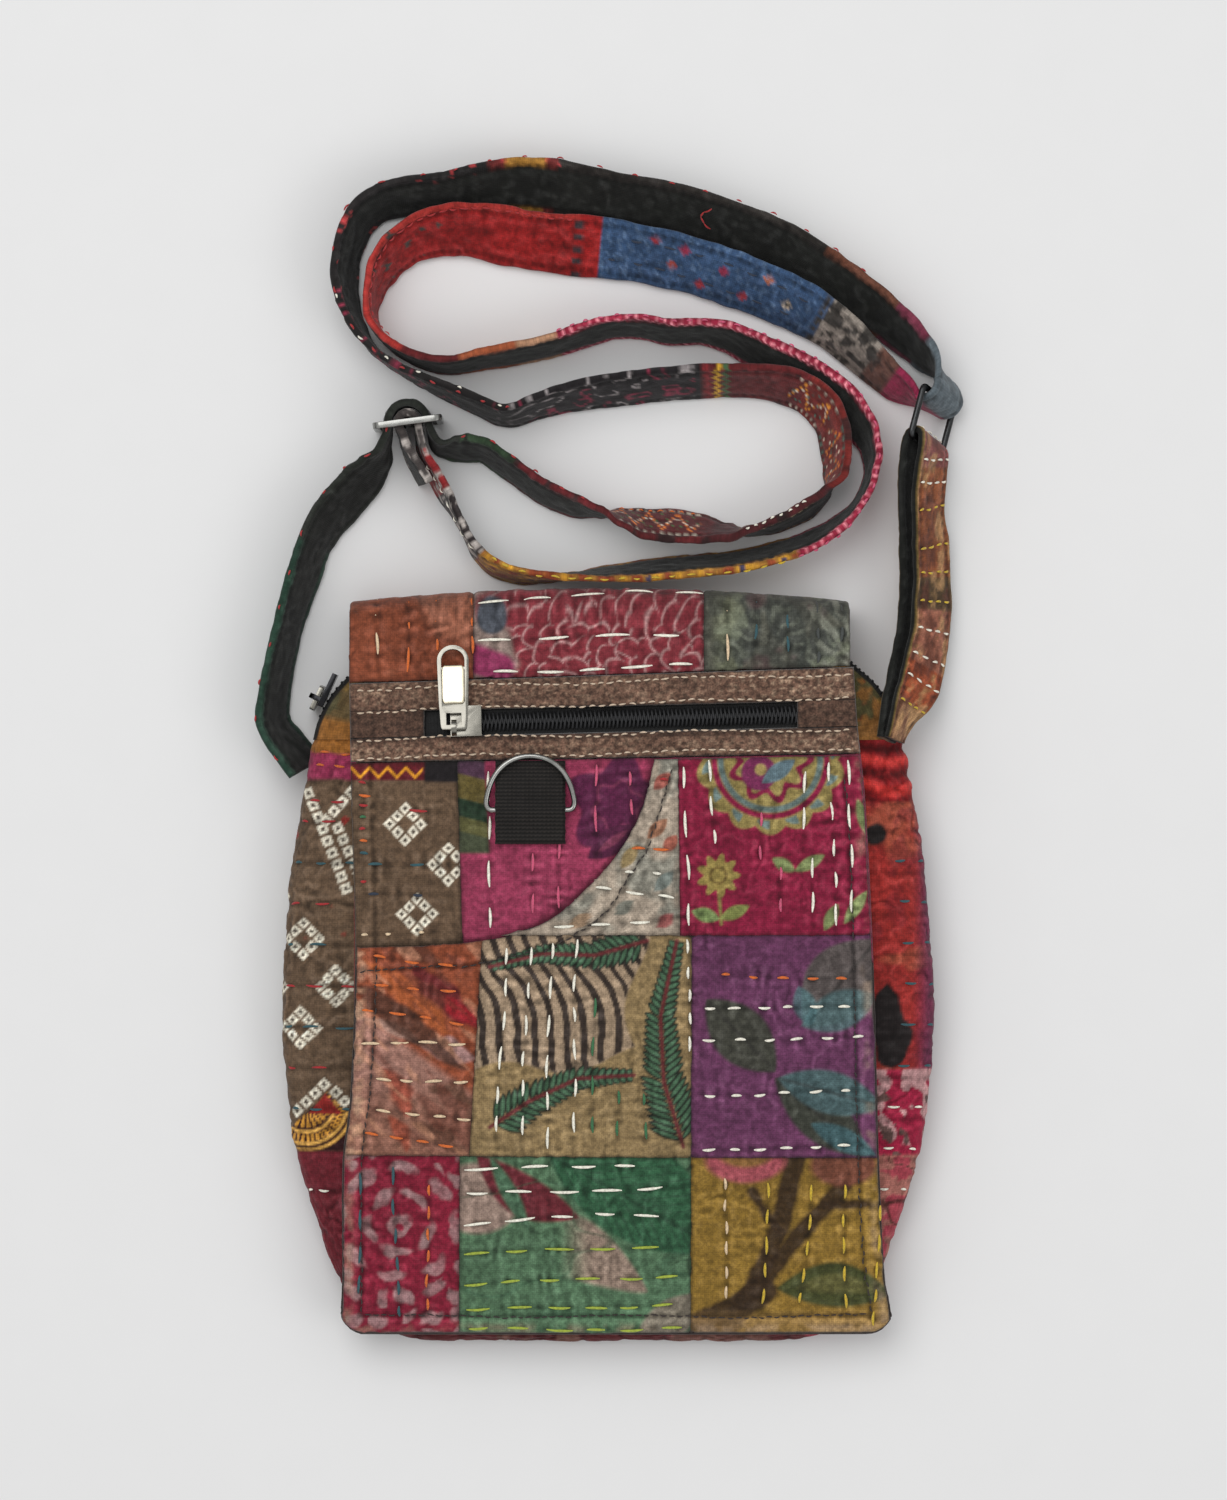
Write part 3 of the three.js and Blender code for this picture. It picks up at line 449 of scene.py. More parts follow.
class Prints:
    """Colour of each printed cloth over plan coordinates."""

    @staticmethod
    def rust(x: Array, y: Array) -> Array:
        """Creased rust cloth with pale streaks.

        Args:
            x, y: Places in plan.

        Returns:
            The colours.
        """
        rgb = ground(x, y, (126, 66, 44), 0.25)
        pale = smooth(STAIN.layers(x * 0.6 + y * 0.5, y * 0.35 - x * 0.2, 7, 4), 0.12, 0.5)
        rgb = inked(rgb, 0.5 * pale, (164, 110, 88))
        line = np.abs(STAIN.layers(x + 40, y * 0.6, 16, 3))
        return inked(rgb, 0.55 * inside(line - 0.02, 0.025), (84, 44, 30))

    @staticmethod
    def loops(u: Array, v: Array) -> Array:
        """Mask of uneven drawn loops that overlap in rows.

        Args:
            u, v: Places along and across the rows.

        Returns:
            The lines' mask.
        """
        lines, wide, tall = np.zeros(np.shape(u)), 7.0, 4.6
        for row in (0, 1, 2):
            j = np.floor(v / tall) - row + 1
            w = u / wide + 0.5 * (j % 2)
            i = np.floor(w)
            draw = WOBBLE.draw((i * 7 + 3 * j).astype(int), (i + 11 * j).astype(int))
            r = np.hypot((w - i - 0.5) * wide + 1.8 * (draw - 0.5), (v - j * tall) * (0.85 + 0.3 * draw))
            size = 3.7 + 0.9 * draw
            cover = inside(j * tall - v, 0.2) * inside(r - size - 0.4)
            lines = lines * (1 - cover) + cover * inside(np.abs(r - size) - 0.36, 0.32)
        return lines

    @staticmethod
    def scales(x: Array, y: Array) -> Array:
        """Maroon cloth with drawn scales.

        Args:
            x, y: Places in plan.

        Returns:
            The colours.
        """
        rgb = ground(x, y, (122, 44, 52), 0.16)
        u, v = x + 2.2 * WOBBLE.layers(x, y, 7, 2), y + 2.2 * WOBBLE.layers(y + 31, x, 7, 2)
        turned = smooth(STAIN.layers(x + 15, y + 44, 11, 2), -0.05, 0.05)
        across = Prints.loops(0.4 * u + 0.92 * v, 0.4 * v - 0.92 * u)
        lines = Prints.loops(u, v) * (1 - turned) + across * turned
        rgb = inked(rgb, 0.85 * lines, (182, 142, 140))
        corner = smooth(STAIN.layers(x * 0.8, y * 0.8 + 9, 12, 2) - (x + 34) / 12, -0.2, 0.15)
        rgb = inked(rgb, corner, (134, 116, 108))
        rgb = inked(rgb, inside(np.hypot(x + 35.5, y - 107) - 4.6, 0.5), (72, 76, 84))
        low = inside(stroke(x, y, [(-41, 95), (-33, 92)], 9), 0.8)
        return inked(rgb, low, (134, 48, 84))

    @staticmethod
    def grey_leaf(x: Array, y: Array) -> Array:
        """Grey-green cloth with loose leaf strokes.

        Args:
            x, y: Places in plan.

        Returns:
            The colours.
        """
        rgb = ground(x, y, (86, 86, 76), 0.25, 9)
        rgb = inked(rgb, 0.6 * smooth(x, 30, 35) * (1 - smooth(x, 38, 44)), (104, 108, 84))
        for a, b, wide in [
            ((40, 92), (46, 110), 9), ((48, 112), (60, 96), 10), ((58, 92), (74, 104), 9),
            ((62, 118), (73, 106), 8), ((34, 118), (44, 108), 6),
        ]:
            d = leaf(x, y, a, b, wide, 1.2)
            s, t, _ = local(x, y, a, b)
            rgb = inked(rgb, 0.75 * inside(d, 0.5), (58, 62, 58))
            rib = np.sin((s - 0.5 * np.abs(t)) * 1.7 + 2.5 * WOBBLE.layers(x, y, 5, 2))
            rgb = inked(rgb, 0.4 * inside(d + 0.6, 0.8) * smooth(rib, 0.2, 0.9), (120, 124, 110))
        fan = np.sin(np.arctan2(y - 88, x - 80) * 26 + 2 * WOBBLE.layers(x, y, 7, 2))
        rgb = inked(rgb, 0.55 * smooth(x, 60, 66) * smooth(fan, 0.1, 0.6), (140, 142, 128))
        blot = STAIN.layers(x + 8, y * 1.1, 6, 3)
        rgb = inked(rgb, 0.6 * smooth(blot, 0.15, 0.4), (52, 54, 50))
        rgb = inked(rgb, 0.45 * smooth(-blot, 0.2, 0.45), (132, 138, 116))
        return inked(rgb, 0.5 * smooth(STAIN.layers(x, y + 50, 9, 3), 0.35, 0.7), (92, 62, 66))

    @staticmethod
    def squares(x: Array, y: Array) -> Array:
        """Brown-grey cloth with tied squares and a trim with a zigzag above it.

        Args:
            x, y: Places in plan.

        Returns:
            The colours.
        """
        rgb = ground(x, y, (97, 77, 59), 0.17)
        for centre in [(-61.7, 44.3), (-48.6, 32), (-58.2, 16.9)]:
            rgb = tie_squares(rgb, x, y, centre)
        trim = inside(57.7 - y, 0.3)
        rgb = inked(rgb, trim, (94, 26, 34))
        wave = 60.1 + 1.5 * (2 * np.abs(2 * (x / 5.6 - np.floor(x / 5.6)) - 1) - 1)
        rgb = inked(rgb, trim * inside(x + 56.5, 0.4) * inside(np.abs(y - wave) - 0.55), (226, 152, 40))
        return inked(rgb, inside(-56.0 - x, 0.4) * inside(57.2 - y, 0.4), (30, 26, 28))

    @staticmethod
    def magenta(x: Array, y: Array) -> Array:
        """Magenta cloth with a striped sliver and purple flowers.

        Args:
            x, y: Places in plan.

        Returns:
            The colours.
        """
        rgb = ground(x, y, (146, 54, 82), 0.12, 20)
        r, a = np.hypot(x - 3, y - 50), np.arctan2(y - 50, x - 3)
        bloom = 14 + 2.5 * np.sin(5 * a + 0.8) - r
        rgb = inked(rgb, smooth(bloom, -0.6, 0.9), (86, 30, 62))
        rgb = inked(rgb, 0.7 * inside(np.abs(r - 7 - np.sin(6 * a)) - 0.5), (120, 52, 78))
        rgb = inked(rgb, inside(leaf(x, y, (-6, 34), (8, 44), 8)), (82, 32, 60))
        rgb = inked(rgb, 0.8 * inside(leaf(x, y, (-3, 36), (6, 42.5), 2.4)), (128, 60, 84))
        sliver = inside(x + 36.8 + 0.06 * (y - 50), 0.4) * inside(35.5 - y, 0.4)
        band = ground(x, y, (70, 76, 56))
        tilt = y + 0.25 * (x + 40)
        for high, low, ink in [
            (64, 58, (78, 52, 70)), (58.5, 51, (96, 84, 44)), (51, 45.5, (36, 54, 38)),
            (45.5, 41, (92, 90, 54)),
        ]:
            band = inked(band, inside(tilt - high) * inside(low - tilt), ink)
        return over(rgb, sliver, band)

    @staticmethod
    def cream(x: Array, y: Array) -> Array:
        """Faded cream print with small leaves.

        Args:
            x, y: Places in plan.

        Returns:
            The colours.
        """
        rgb = ground(x, y, (160, 146, 130), 0.16)
        patch = smooth(STAIN.layers(x + 9, y, 9, 3), 0.05, 0.4)
        rgb = inked(rgb, 0.55 * patch, (112, 120, 112))
        return leaves(rgb, x, y, [
            ((4, 31), (9, 38), 4, (138, 116, 72)), ((12, 40), (18, 46), 4, (150, 98, 70)),
            ((14, 55), (19, 60), 4, (142, 62, 52)), ((2, 17), (8, 21), 4, (92, 96, 88)),
            ((14, 24), (20, 30), 4, (100, 112, 108)), ((15, 13), (20, 17), 4, (138, 60, 62)),
            ((-12, 13), (-5, 17), 4, (146, 118, 92)), ((17, 36), (21, 41), 4, (150, 70, 54)),
        ], 0.85)

    @staticmethod
    def paisley(x: Array, y: Array) -> Array:
        """Crimson cloth with a scalloped half round, a rosette and leaves.

        Args:
            x, y: Places in plan.

        Returns:
            The colours.
        """
        rgb = ground(x, y, (130, 26, 56), 0.12, 18)
        cx, cy = 49.5, 64
        r, a = np.hypot(x - cx, y - cy), np.arctan2(y - cy, x - cx)
        scallop = 20.6 + 2.3 * np.abs(np.sin(7 * a))
        rgb = inked(rgb, inside(r - scallop), (142, 126, 74))
        lobes = 0.5 + 0.5 * np.sin(14 * a)
        border = inside(r - scallop + 1.6) * inside(18.6 - r)
        rgb = inked(rgb, border * smooth(lobes, 0.5, 0.7), (104, 122, 118))
        rgb = inked(rgb, inside(np.abs(r - 17.2) - 0.9), (132, 24, 60))
        rgb = inked(rgb, inside(np.abs(r - 15.2) - 0.9), (96, 112, 108))
        curl = np.sin(9 * a + 1.2) * 1.6
        rgb = inked(rgb, inside(np.abs(r - 10.8 - curl) - 1.1) * inside(r - 14), (122, 26, 58))
        rgb = inked(rgb, inside(np.hypot(x - 46, y - 60) - 5.4), (112, 40, 78))
        rgb = inked(rgb, inside(leaf(x, y, (47, 57), (57, 64), 5)), (92, 112, 120))
        rgb = inked(rgb, inside(np.hypot(x - 46.5, y - 61) - 1.8), (150, 130, 80))
        r, a = np.hypot(x - 33.6, y - 28.8), np.arctan2(y - 28.8, x - 33.6)
        rgb = inked(rgb, inside(stroke(x, y, [(33.6, 26), (34.5, 14)], 0.9)), (128, 122, 66))
        rgb = inked(rgb, inside(r - 5.6 - 1.1 * np.cos(9 * a)), (146, 128, 70))
        rgb = inked(rgb, inside(np.abs(r - 2.4) - 0.35), (104, 84, 44))
        pale = (120, 132, 84)
        return leaves(rgb, x, y, [
            ((34, 15.5), (43, 19.5), 4, (124, 130, 72)), ((34, 15.5), (25.5, 18), 4.4, (110, 128, 78)),
            ((57, 30), (50, 34), 3.8, pale), ((57, 30), (66, 35), 3.8, pale), ((72, 14), (79, 24), 3.8, pale),
            ((70, 20), (66, 12), 3.8, pale), ((80, 40), (76, 52), 3.8, pale),
        ])

    @staticmethod
    def rust_streak(x: Array, y: Array) -> Array:
        """Rust cloth with slanting brown and crimson strokes, paler below them.

        Args:
            x, y: Places in plan.

        Returns:
            The colours.
        """
        rgb = ground(x, y, (142, 72, 46), 0.22)
        below = y + 8.7 + 0.74 * (x + 76.6)
        rgb = inked(rgb, 0.85 * smooth(-below, 1, 5), (152, 114, 102))
        rgb = inked(rgb, 0.7 * smooth(-y, 30, 46), (128, 84, 66))
        u, v = x + 2 * WOBBLE.layers(x, y, 6, 2), y + 2 * WOBBLE.layers(y, x + 9, 6, 2)
        rgb = leaves(rgb, u, v, [
            ((-75, 3), (-47, -20), 7, (164, 86, 46)), ((-67, 6), (-50, 1), 5, (90, 50, 36)),
            ((-61, 2), (-40, -19), 7, (96, 28, 34)), ((-50, -8), (-39, -20), 5, (150, 28, 38)),
            ((-76, -15), (-56, -24), 4, (170, 136, 122)), ((-58, -24), (-40, -27), 8, (164, 128, 124)),
            ((-78, -5.5), (-44, -31), 9, (80, 50, 38)), ((-54, -35), (-40, -42), 5, (88, 58, 44)),
            ((-59, -47), (-43, -56), 5, (94, 60, 46)), ((-69, -30), (-61, -44), 6, (150, 72, 54)),
            ((-67, -44), (-61, -56), 6, (146, 70, 50)),
        ], 0.9, 0.7, 1.2)
        grain = STAIN.layers((x + y) * 0.5, (x - y) * 0.12 + 20, 2.4, 3)
        rgb = inked(rgb, 0.5 * smooth(grain, 0.2, 0.4), (100, 52, 40))
        rgb = inked(rgb, 0.5 * smooth(-grain, 0.25, 0.45), (184, 132, 104))
        hem = inside(x + 74.5, 1.0) * smooth(STAIN.layers(x, y * 2.5, 4, 3), -0.3, 0.3)
        return inked(rgb, 0.55 * hem, (196, 152, 120))

    @staticmethod
    def fern(x: Array, y: Array) -> Array:
        """Khaki cloth with waved stripes and fern fronds.

        Args:
            x, y: Places in plan.

        Returns:
            The colours.
        """
        rgb = ground(x, y, (138, 116, 80), 0.16)
        low = inside(-27 + 3 * np.sin(x / 7) + 0.12 * x - y, 0.4)
        striped = low * inside(x - 9 - 4 * np.sin(y / 8), 0.4)
        rgb = inked(rgb, striped, (158, 136, 112))
        wave = x + 0.35 * y + 2.4 * np.sin(y / 6.5) + 1.2 * WOBBLE.layers(x, y, 9, 2)
        stripe = np.sin(wave * 2 * np.pi / 5.2)
        rgb = inked(rgb, striped * smooth(stripe, 0.05, 0.45), (54, 44, 38))
        inks = ((30, 34, 28), (72, 104, 78), (98, 40, 42))
        rgb = frond(rgb, x, y, [(23, -54), (17, -34), (16, -14), (21, 9)], 10.5, inks)
        rgb = frond(rgb, x, y, [(-36, -48), (-24, -40), (-9, -33), (8, -32)], 8.5, inks)
        return frond(rgb, x, y, [(12, 9), (-4, 4.5), (-20, 5), (-36, 1)], 7, inks)

    @staticmethod
    def purple(x: Array, y: Array) -> Array:
        """Purple cloth with large grey leaves and teal shades.

        Args:
            x, y: Places in plan.

        Returns:
            The colours.
        """
        rgb = ground(x, y, (98, 52, 84), 0.12, 20)
        for a, b, wide, ink in [
            ((30, -9), (51, -31), 17, (62, 62, 54)), ((51, -33), (79, -57), 15, (58, 60, 52)),
            ((60, -17), (82, 9), 22, (84, 76, 74)), ((52, -33), (84, -42), 13, (70, 92, 94)),
        ]:
            rgb = inked(rgb, inside(leaf(x, y, a, b, wide), 0.6), ink)
            s, t, long = local(x, y, a, b)
            rgb = inked(rgb, 0.5 * inside(np.abs(t) - 0.5) * inside(-s) * inside(s - long), (44, 42, 40))
        rgb = inked(rgb, 0.9 * inside(leaf(x, y, (59, -17), (82, -8), 12), 0.6), (74, 98, 100))
        rgb = inked(rgb, 0.8 * inside(leaf(x, y, (58, -5), (62, -17), 7), 0.5), (72, 104, 108))
        return inked(rgb, inside(leaf(x, y, (62, -47), (82, -57), 7), 0.5), (62, 90, 94))

    @staticmethod
    def swirl(x: Array, y: Array) -> Array:
        """Crimson cloth with grey swirls and drops.

        Args:
            x, y: Places in plan.

        Returns:
            The colours.
        """
        rgb = ground(x, y, (126, 26, 48), 0.16)
        u, v = x + 2.4 * WOBBLE.layers(x, y, 6, 3), y + 2.4 * WOBBLE.layers(y, x + 40, 6, 3)
        r, a = np.hypot(u + 64, v + 78), np.arctan2(v + 78, u + 64)
        grey = inside(np.abs(r - 2.6) - 1.2)
        for ring, count, lead, long in [(9.4, 5, 0.4, 4.8), (17.2, 8, 0.1, 4.6)]:
            i = np.round((a + lead) * count / (2 * np.pi))
            drop = np.hypot((r - ring) / 1.9, ((a + lead) - i * 2 * np.pi / count) * ring / long) - 1
            grey = np.maximum(grey, inside(drop, 0.2))
        wide, tall = 8.2, 7.4
        i, j = np.floor(u / wide), np.floor(v / tall)
        draw = [WOBBLE.draw((i * 5 + k).astype(int), (j * 9 + 31 * k).astype(int)) for k in range(3)]
        p, q = u - (i + 0.3 + 0.4 * draw[0]) * wide, v - (j + 0.3 + 0.4 * draw[1]) * tall
        c, s = np.cos(6.3 * draw[2]), np.sin(6.3 * draw[2])
        drop = np.hypot((p * c + q * s) / 3.6, (q * c - p * s) / 1.7) - 1
        grey = np.maximum(grey, inside(21 - r, 0.6) * inside(drop, 0.2))
        tone = 0.75 + 0.25 * STAIN.layers(x, y, 4, 2)
        return inked(rgb, grey * tone, (150, 120, 120))

    @staticmethod
    def green(x: Array, y: Array) -> Array:
        """Green leaf print with maroon and beige under it.

        Args:
            x, y: Places in plan.

        Returns:
            The colours.
        """
        rgb = ground(x, y, (80, 110, 82), 0.18)
        beige = inside(leaf(x, y, (-46, -84), (12, -99), 20, 8), 0.8)
        rgb = inked(rgb, beige * smooth(x, -16, -4), (142, 122, 108))
        rgb = inked(rgb, inside(np.hypot((x + 40) / 1.2, y + 70) - 11, 0.8), (146, 124, 112))
        rgb = inked(rgb, inside(leaf(x, y, (-40, -57), (-9, -76), 13, -3), 0.6), (100, 36, 44))
        rgb = inked(rgb, inside(leaf(x, y, (-36, -57), (-24, -80), 5), 0.5), (70, 100, 76))
        big = inside(leaf(x, y, (-18, -56), (34, -86), 30, 3), 0.6)
        rgb = inked(rgb, big, (48, 90, 62))
        s, t, _ = local(x, y, (-18, -56), (34, -86))
        pitch = 4.2
        step = (s - 1.4 * np.abs(t)) / pitch
        vein = np.abs(step - np.round(step)) * pitch
        rgb = inked(rgb, big * 0.75 * np.maximum(inside(vein - 0.42), inside(np.abs(t) - 0.6)), (40, 70, 50))
        rgb = inked(rgb, inside(leaf(x, y, (8, -116), (30, -100), 12), 0.6), (120, 112, 98))
        dark = np.abs(STAIN.layers(x * 0.5, y, 15, 2) - 0.2)
        return inked(rgb, 0.5 * inside(dark - 0.035, 0.03), (48, 80, 58))

    @staticmethod
    def mustard(x: Array, y: Array) -> Array:
        """Mustard cloth with dark branches, a leaf and a blossom.

        Args:
            x, y: Places in plan.

        Returns:
            The colours.
        """
        rgb = ground(x, y, (138, 108, 44), 0.18)
        ink = (54, 38, 22)
        for points, wide in [
            ([(34, -114), (45, -98), (52, -80), (57, -58)], 6.2), ([(46, -98), (58, -82), (72, -66)], 5.4),
            ([(28, -110), (40, -104), (48, -99)], 8.0), ([(52, -80), (44, -68)], 3.0),
            ([(66, -72), (80, -72)], 2.6),
        ]:
            d = stroke(x, y, points, wide) + 0.8 * WOBBLE.layers(x, y, 4, 2)
            rgb = inked(rgb, 0.95 * inside(d, 0.7), ink)
        rgb = inked(rgb, inside(np.hypot((x - 42) / 1.7, y + 58) - 7.2, 0.7), (160, 78, 86))
        rgb = inked(rgb, inside(np.hypot((x - 42) / 1.9, y + 56) - 4.4, 0.7), (136, 98, 54))
        rgb = inked(rgb, inside(np.hypot((x - 72) / 1.6, y + 60) - 6.4, 0.7), (112, 66, 50))
        rgb = inked(rgb, inside(leaf(x, y, (52, -98), (87, -100), 14, 2), 0.7), (66, 70, 36))
        rgb = inked(rgb, 0.7 * inside(leaf(x, y, (58, -98), (82, -99), 6, 2), 0.8), (104, 100, 56))
        return inked(rgb, 0.5 * inside(y + 106, 1.5), (150, 118, 74))

    @staticmethod
    def nap(x: Array, y: Array) -> Array:
        """Brown napped cloth with rubbed, paler places.

        Args:
            x, y: Places in plan.

        Returns:
            The colours.
        """
        rgb = ground(x, y, (104, 78, 64), 0.16)
        speck = STAIN.layers(x, y * 1.5, 1.15, 2)
        rubbed = smooth(CREASE.layers(x, y, 26, 2), -0.3, 0.3)
        rgb = inked(rgb, 0.6 * smooth(speck, 0.0, 0.5) * (0.4 + 0.6 * rubbed), (172, 146, 122))
        rgb = inked(rgb, 0.5 * smooth(-speck, 0.05, 0.5), (66, 46, 36))
        middle = inside(y - 80.9 - 0.0303 * x, 0.3) * inside(70.6 + 0.021 * x - y, 0.3)
        return over(rgb, 0.88 * middle, ground(x, y, (72, 52, 42), 0.14))

    @staticmethod
    def lining(x: Array, y: Array) -> Array:
        """Plain dark lining."""
        return ground(x, y, LINING, 0.12)

    @staticmethod
    def black(x: Array, y: Array) -> Array:
        """Faded black cotton."""
        return ground(x, y, (21, 22, 19), 0.4, 9)


# Meshes


def edge_lines(size: float, pitch: float) -> Array:
    """Grid lines from 0 to 1 that crowd at both edges; the number of cells is a multiple of four.

    Args:
        size: Length of the side.
        pitch: Width of a cell.

    Returns:
        The lines.
    """
    near = np.array([0, 0.15, 0.4, 0.75])
    if size < 4:
        return np.linspace(0, 1, 5)
    cells = max(4, 4 * math.ceil((size - 2.4) / pitch / 4))
    middle = np.linspace(1.2, size - 1.2, cells + 1)
    return np.concatenate([near, middle, size - near[::-1]]) / size


def grid_normals(points: Array) -> Array:
    """Directions square to a grid of points."""
    return unit(np.cross(np.gradient(points, axis=1), np.gradient(points, axis=0)))


@dataclass
class MeshHeap:
    """Points and faces of one piece, gathered from its cloths."""

    points: list[Array] = field(default_factory=list)
    colours: list[Array] = field(default_factory=list)
    lays: list[Array] = field(default_factory=list)
    faces: list[Array] = field(default_factory=list)
    count: int = 0

    def add(self, points: Array, colours: Array, lays: Array, faces: Iterable[Array]) -> None:
        """Adds a closed body, turned so that its faces point outwards.

        Args:
            points: Corners.
            colours: Their printed colours.
            lays: Their places on the flat cloth.
            faces: Corners of each face.
        """
        faces = list(faces)
        volume = 0.0
        for f in faces:
            a = points[f[:, 0]]
            for k in range(1, f.shape[1] - 1):
                volume += np.einsum("ij,ij->", a, np.cross(points[f[:, k]], points[f[:, k + 1]]))
        for f in faces:
            self.faces.append((f[:, ::-1] if volume < 0 else f) + self.count)
        self.points.append(points)
        self.colours.append(colours)
        self.lays.append(lays)
        self.count += len(points)

    def sheet(self, top: Array, under: Array, rgb: Array, lay: Array, back: Colour = LINING) -> None:
        """Adds a layer of cloth that is fine on its show side and coarse below.

        Args:
            top: Grid of points of the show side.
            under: Grid of the same size for the other side.
            rgb: Colours of the show side.
            lay: Cloth coordinates of the grid.
            back: Colour of the other side.
        """
        m, n = top.shape[0] - 1, top.shape[1] - 1
        low = under[::4, ::4]
        index = np.arange((m + 1) * (n + 1)).reshape(m + 1, n + 1)
        below = index.size + np.arange(low.shape[0] * low.shape[1]).reshape(low.shape[:2])
        quads = [
            np.stack([index[:-1, :-1], index[:-1, 1:], index[1:, 1:], index[1:, :-1]], -1).reshape(-1, 4),
            np.stack([below[:-1, :-1], below[1:, :-1], below[1:, 1:], below[:-1, 1:]], -1).reshape(-1, 4),
        ]
        tris = []
        for fine, coarse, turn in [
            (index[0], below[0], 1), (index[:, -1], below[:, -1], 1),
            (index[-1], below[-1], -1), (index[:, 0], below[:, 0], -1),
        ]:
            for i in range(4):
                corner = coarse[:-1] if i < 2 else coarse[1:]
                tris.append(np.stack([corner, fine[i + 1 :: 4], fine[i:-1:4]], -1)[:, ::turn])
            tris.append(np.stack([coarse[:-1], coarse[1:], fine[2:-1:4]], -1)[:, ::turn])
        points = np.concatenate([top.reshape(-1, 3), low.reshape(-1, 3)])
        plain = np.broadcast_to(srgb(back), low.shape).reshape(-1, 3)
        lays = np.concatenate([lay.reshape(-1, 2), lay[::4, ::4].reshape(-1, 2)])
        self.add(points, np.concatenate([rgb.reshape(-1, 3), plain]), lays, quads + tris)

    def piece(self, name: str, material: bpy.types.Material) -> bpy.types.Object:
        """Makes the object, with its print and its lay as attributes.

        Args:
            name: Name of the object.
            material: Its material.

        Returns:
            The object.
        """
        mesh = bpy.data.meshes.new(name)
        points = np.concatenate(self.points) * MM
        mesh.vertices.add(len(points))
        mesh.vertices.foreach_set("co", points.astype(np.float32).ravel())
        sizes = np.concatenate([np.full(len(f), f.shape[1]) for f in self.faces])
        corners = np.concatenate([f.ravel() for f in self.faces])
        starts = np.concatenate([[0], np.cumsum(sizes)[:-1]])
        mesh.loops.add(int(sizes.sum()))
        mesh.loops.foreach_set("vertex_index", corners.astype(np.int32))
        mesh.polygons.add(len(sizes))
        mesh.polygons.foreach_set("loop_start", starts.astype(np.int32))
        mesh.polygons.foreach_set("use_smooth", np.ones(len(sizes), bool))
        mesh.update(calc_edges=True)
        rgba = np.ones((len(points), 4), np.float32)
        rgba[:, :3] = np.clip(np.concatenate(self.colours), 0, 1)
        mesh.attributes.new("print", "FLOAT_COLOR", "POINT").data.foreach_set("color", rgba.ravel())
        lay = np.zeros((len(points), 3), np.float32)
        lay[:, :2] = np.concatenate(self.lays)
        mesh.attributes.new("lay", "FLOAT_VECTOR", "POINT").data.foreach_set("vector", lay.ravel())
        mesh.materials.append(material)
        made = bpy.data.objects.new(name, mesh)
        bpy.context.scene.collection.objects.link(made)
        return made


def settle(made: bpy.types.Object, slot: str, *nodes: str, body: str = POUCH) -> bpy.types.Object:
    """Lets a finished piece ride on its body and stand for CAD nodes.

    Args:
        made: The piece.
        slot: Not used.
        body: The body that it rides on.
        nodes: CAD nodes that it stands for.

    Returns:
        The same piece.
    """
    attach(made, body)
    if nodes:
        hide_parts(*nodes)
    LOG.info("%s: %d faces", made.name, len(made.data.polygons))
    return made


# Finishes


class NodeDesk:
    """Writes the shader nodes of one finish."""

    def __init__(self, name: str) -> None:
        """Starts a material with its shader.

        Args:
            name: Name of the material.
        """
        self.material = bpy.data.materials.new(name)
        self.material.use_nodes = True
        self.tree = self.material.node_tree
        self.shader = self.tree.nodes["Principled BSDF"]

    def node(self, kind: str, **values: object) -> bpy.types.Node:
        """Adds a node; a value is a number, a socket to link, or a property.

        Args:
            kind: Type of the node.
            values: Inputs and properties by name.

        Returns:
            The node.
        """
        made = self.tree.nodes.new("ShaderNode" + kind)
        for key, value in values.items():
            if key.startswith("in_"):
                self.feed(made.inputs[int(key[3:]) if key[3:].isdigit() else key[3:]], value)
            else:
                setattr(made, key, value)
        return made

    def feed(self, socket: bpy.types.NodeSocket, value: object) -> None:
        """Links a socket or sets its own value.

        Args:
            socket: The input.
            value: A socket or a value.
        """
        if isinstance(value, bpy.types.NodeSocket):
            self.tree.links.new(value, socket)
        else:
            socket.default_value = value

    def sum(self, how: str, a: object, b: object = 0.0) -> bpy.types.NodeSocket:
        """Result of a math node."""
        return self.node("Math", operation=how, in_0=a, in_1=b).outputs[0]

    def mixed(self, share: object, a: object, b: object, how: str = "MIX") -> bpy.types.NodeSocket:
        """Result of a colour mix.

        Args:
            share: Share of the second colour.
            a, b: The two colours.
            how: Way of mixing.

        Returns:
            The mixed colour.
        """
        made = self.node("Mix", data_type="RGBA", blend_type=how, in_0=share)
        self.feed(made.inputs[6], a)
        self.feed(made.inputs[7], b)
        return made.outputs[2]

    def ramp(self, value: object, low: float, high: float, start: float, end: float) -> bpy.types.NodeSocket:
        """Number carried from one range to another."""
        return self.node("MapRange", in_0=value, in_1=low, in_2=high, in_3=start, in_4=end).outputs[0]

    def noise(self, where: object, scale: float, detail: float = 3.0) -> bpy.types.NodeSocket:
        """Noise texture."""
        return self.node("TexNoise", in_Vector=where, in_Scale=scale, in_Detail=detail).outputs[0]

    def set(self, **values: object) -> None:
        """Sets or links the shader's sockets."""
        for key, value in values.items():
            self.feed(self.shader.inputs[key.replace("_", " ")], value)

    def bump(self, height: object, strength: float, deep: float) -> None:
        """Links a height to the shader's normal; deep is in millimetres."""
        made = self.node("Bump", in_Strength=strength, in_Distance=deep * MM, in_Height=height)
        self.set(Normal=made.outputs[0])


class Weave(Enum):
    """Build of a cloth: thread pitch in mm, depth of its threads, roughness, sheen, share of its flecks."""

    COTTON = (0.62, 0.55, 0.9, 0.12, 0.2)
    NAPPED = (0.5, 0.35, 0.95, 0.3, 0.46)
    RIBBED = (1.05, 1.3, 0.7, 0.05, 0.1)


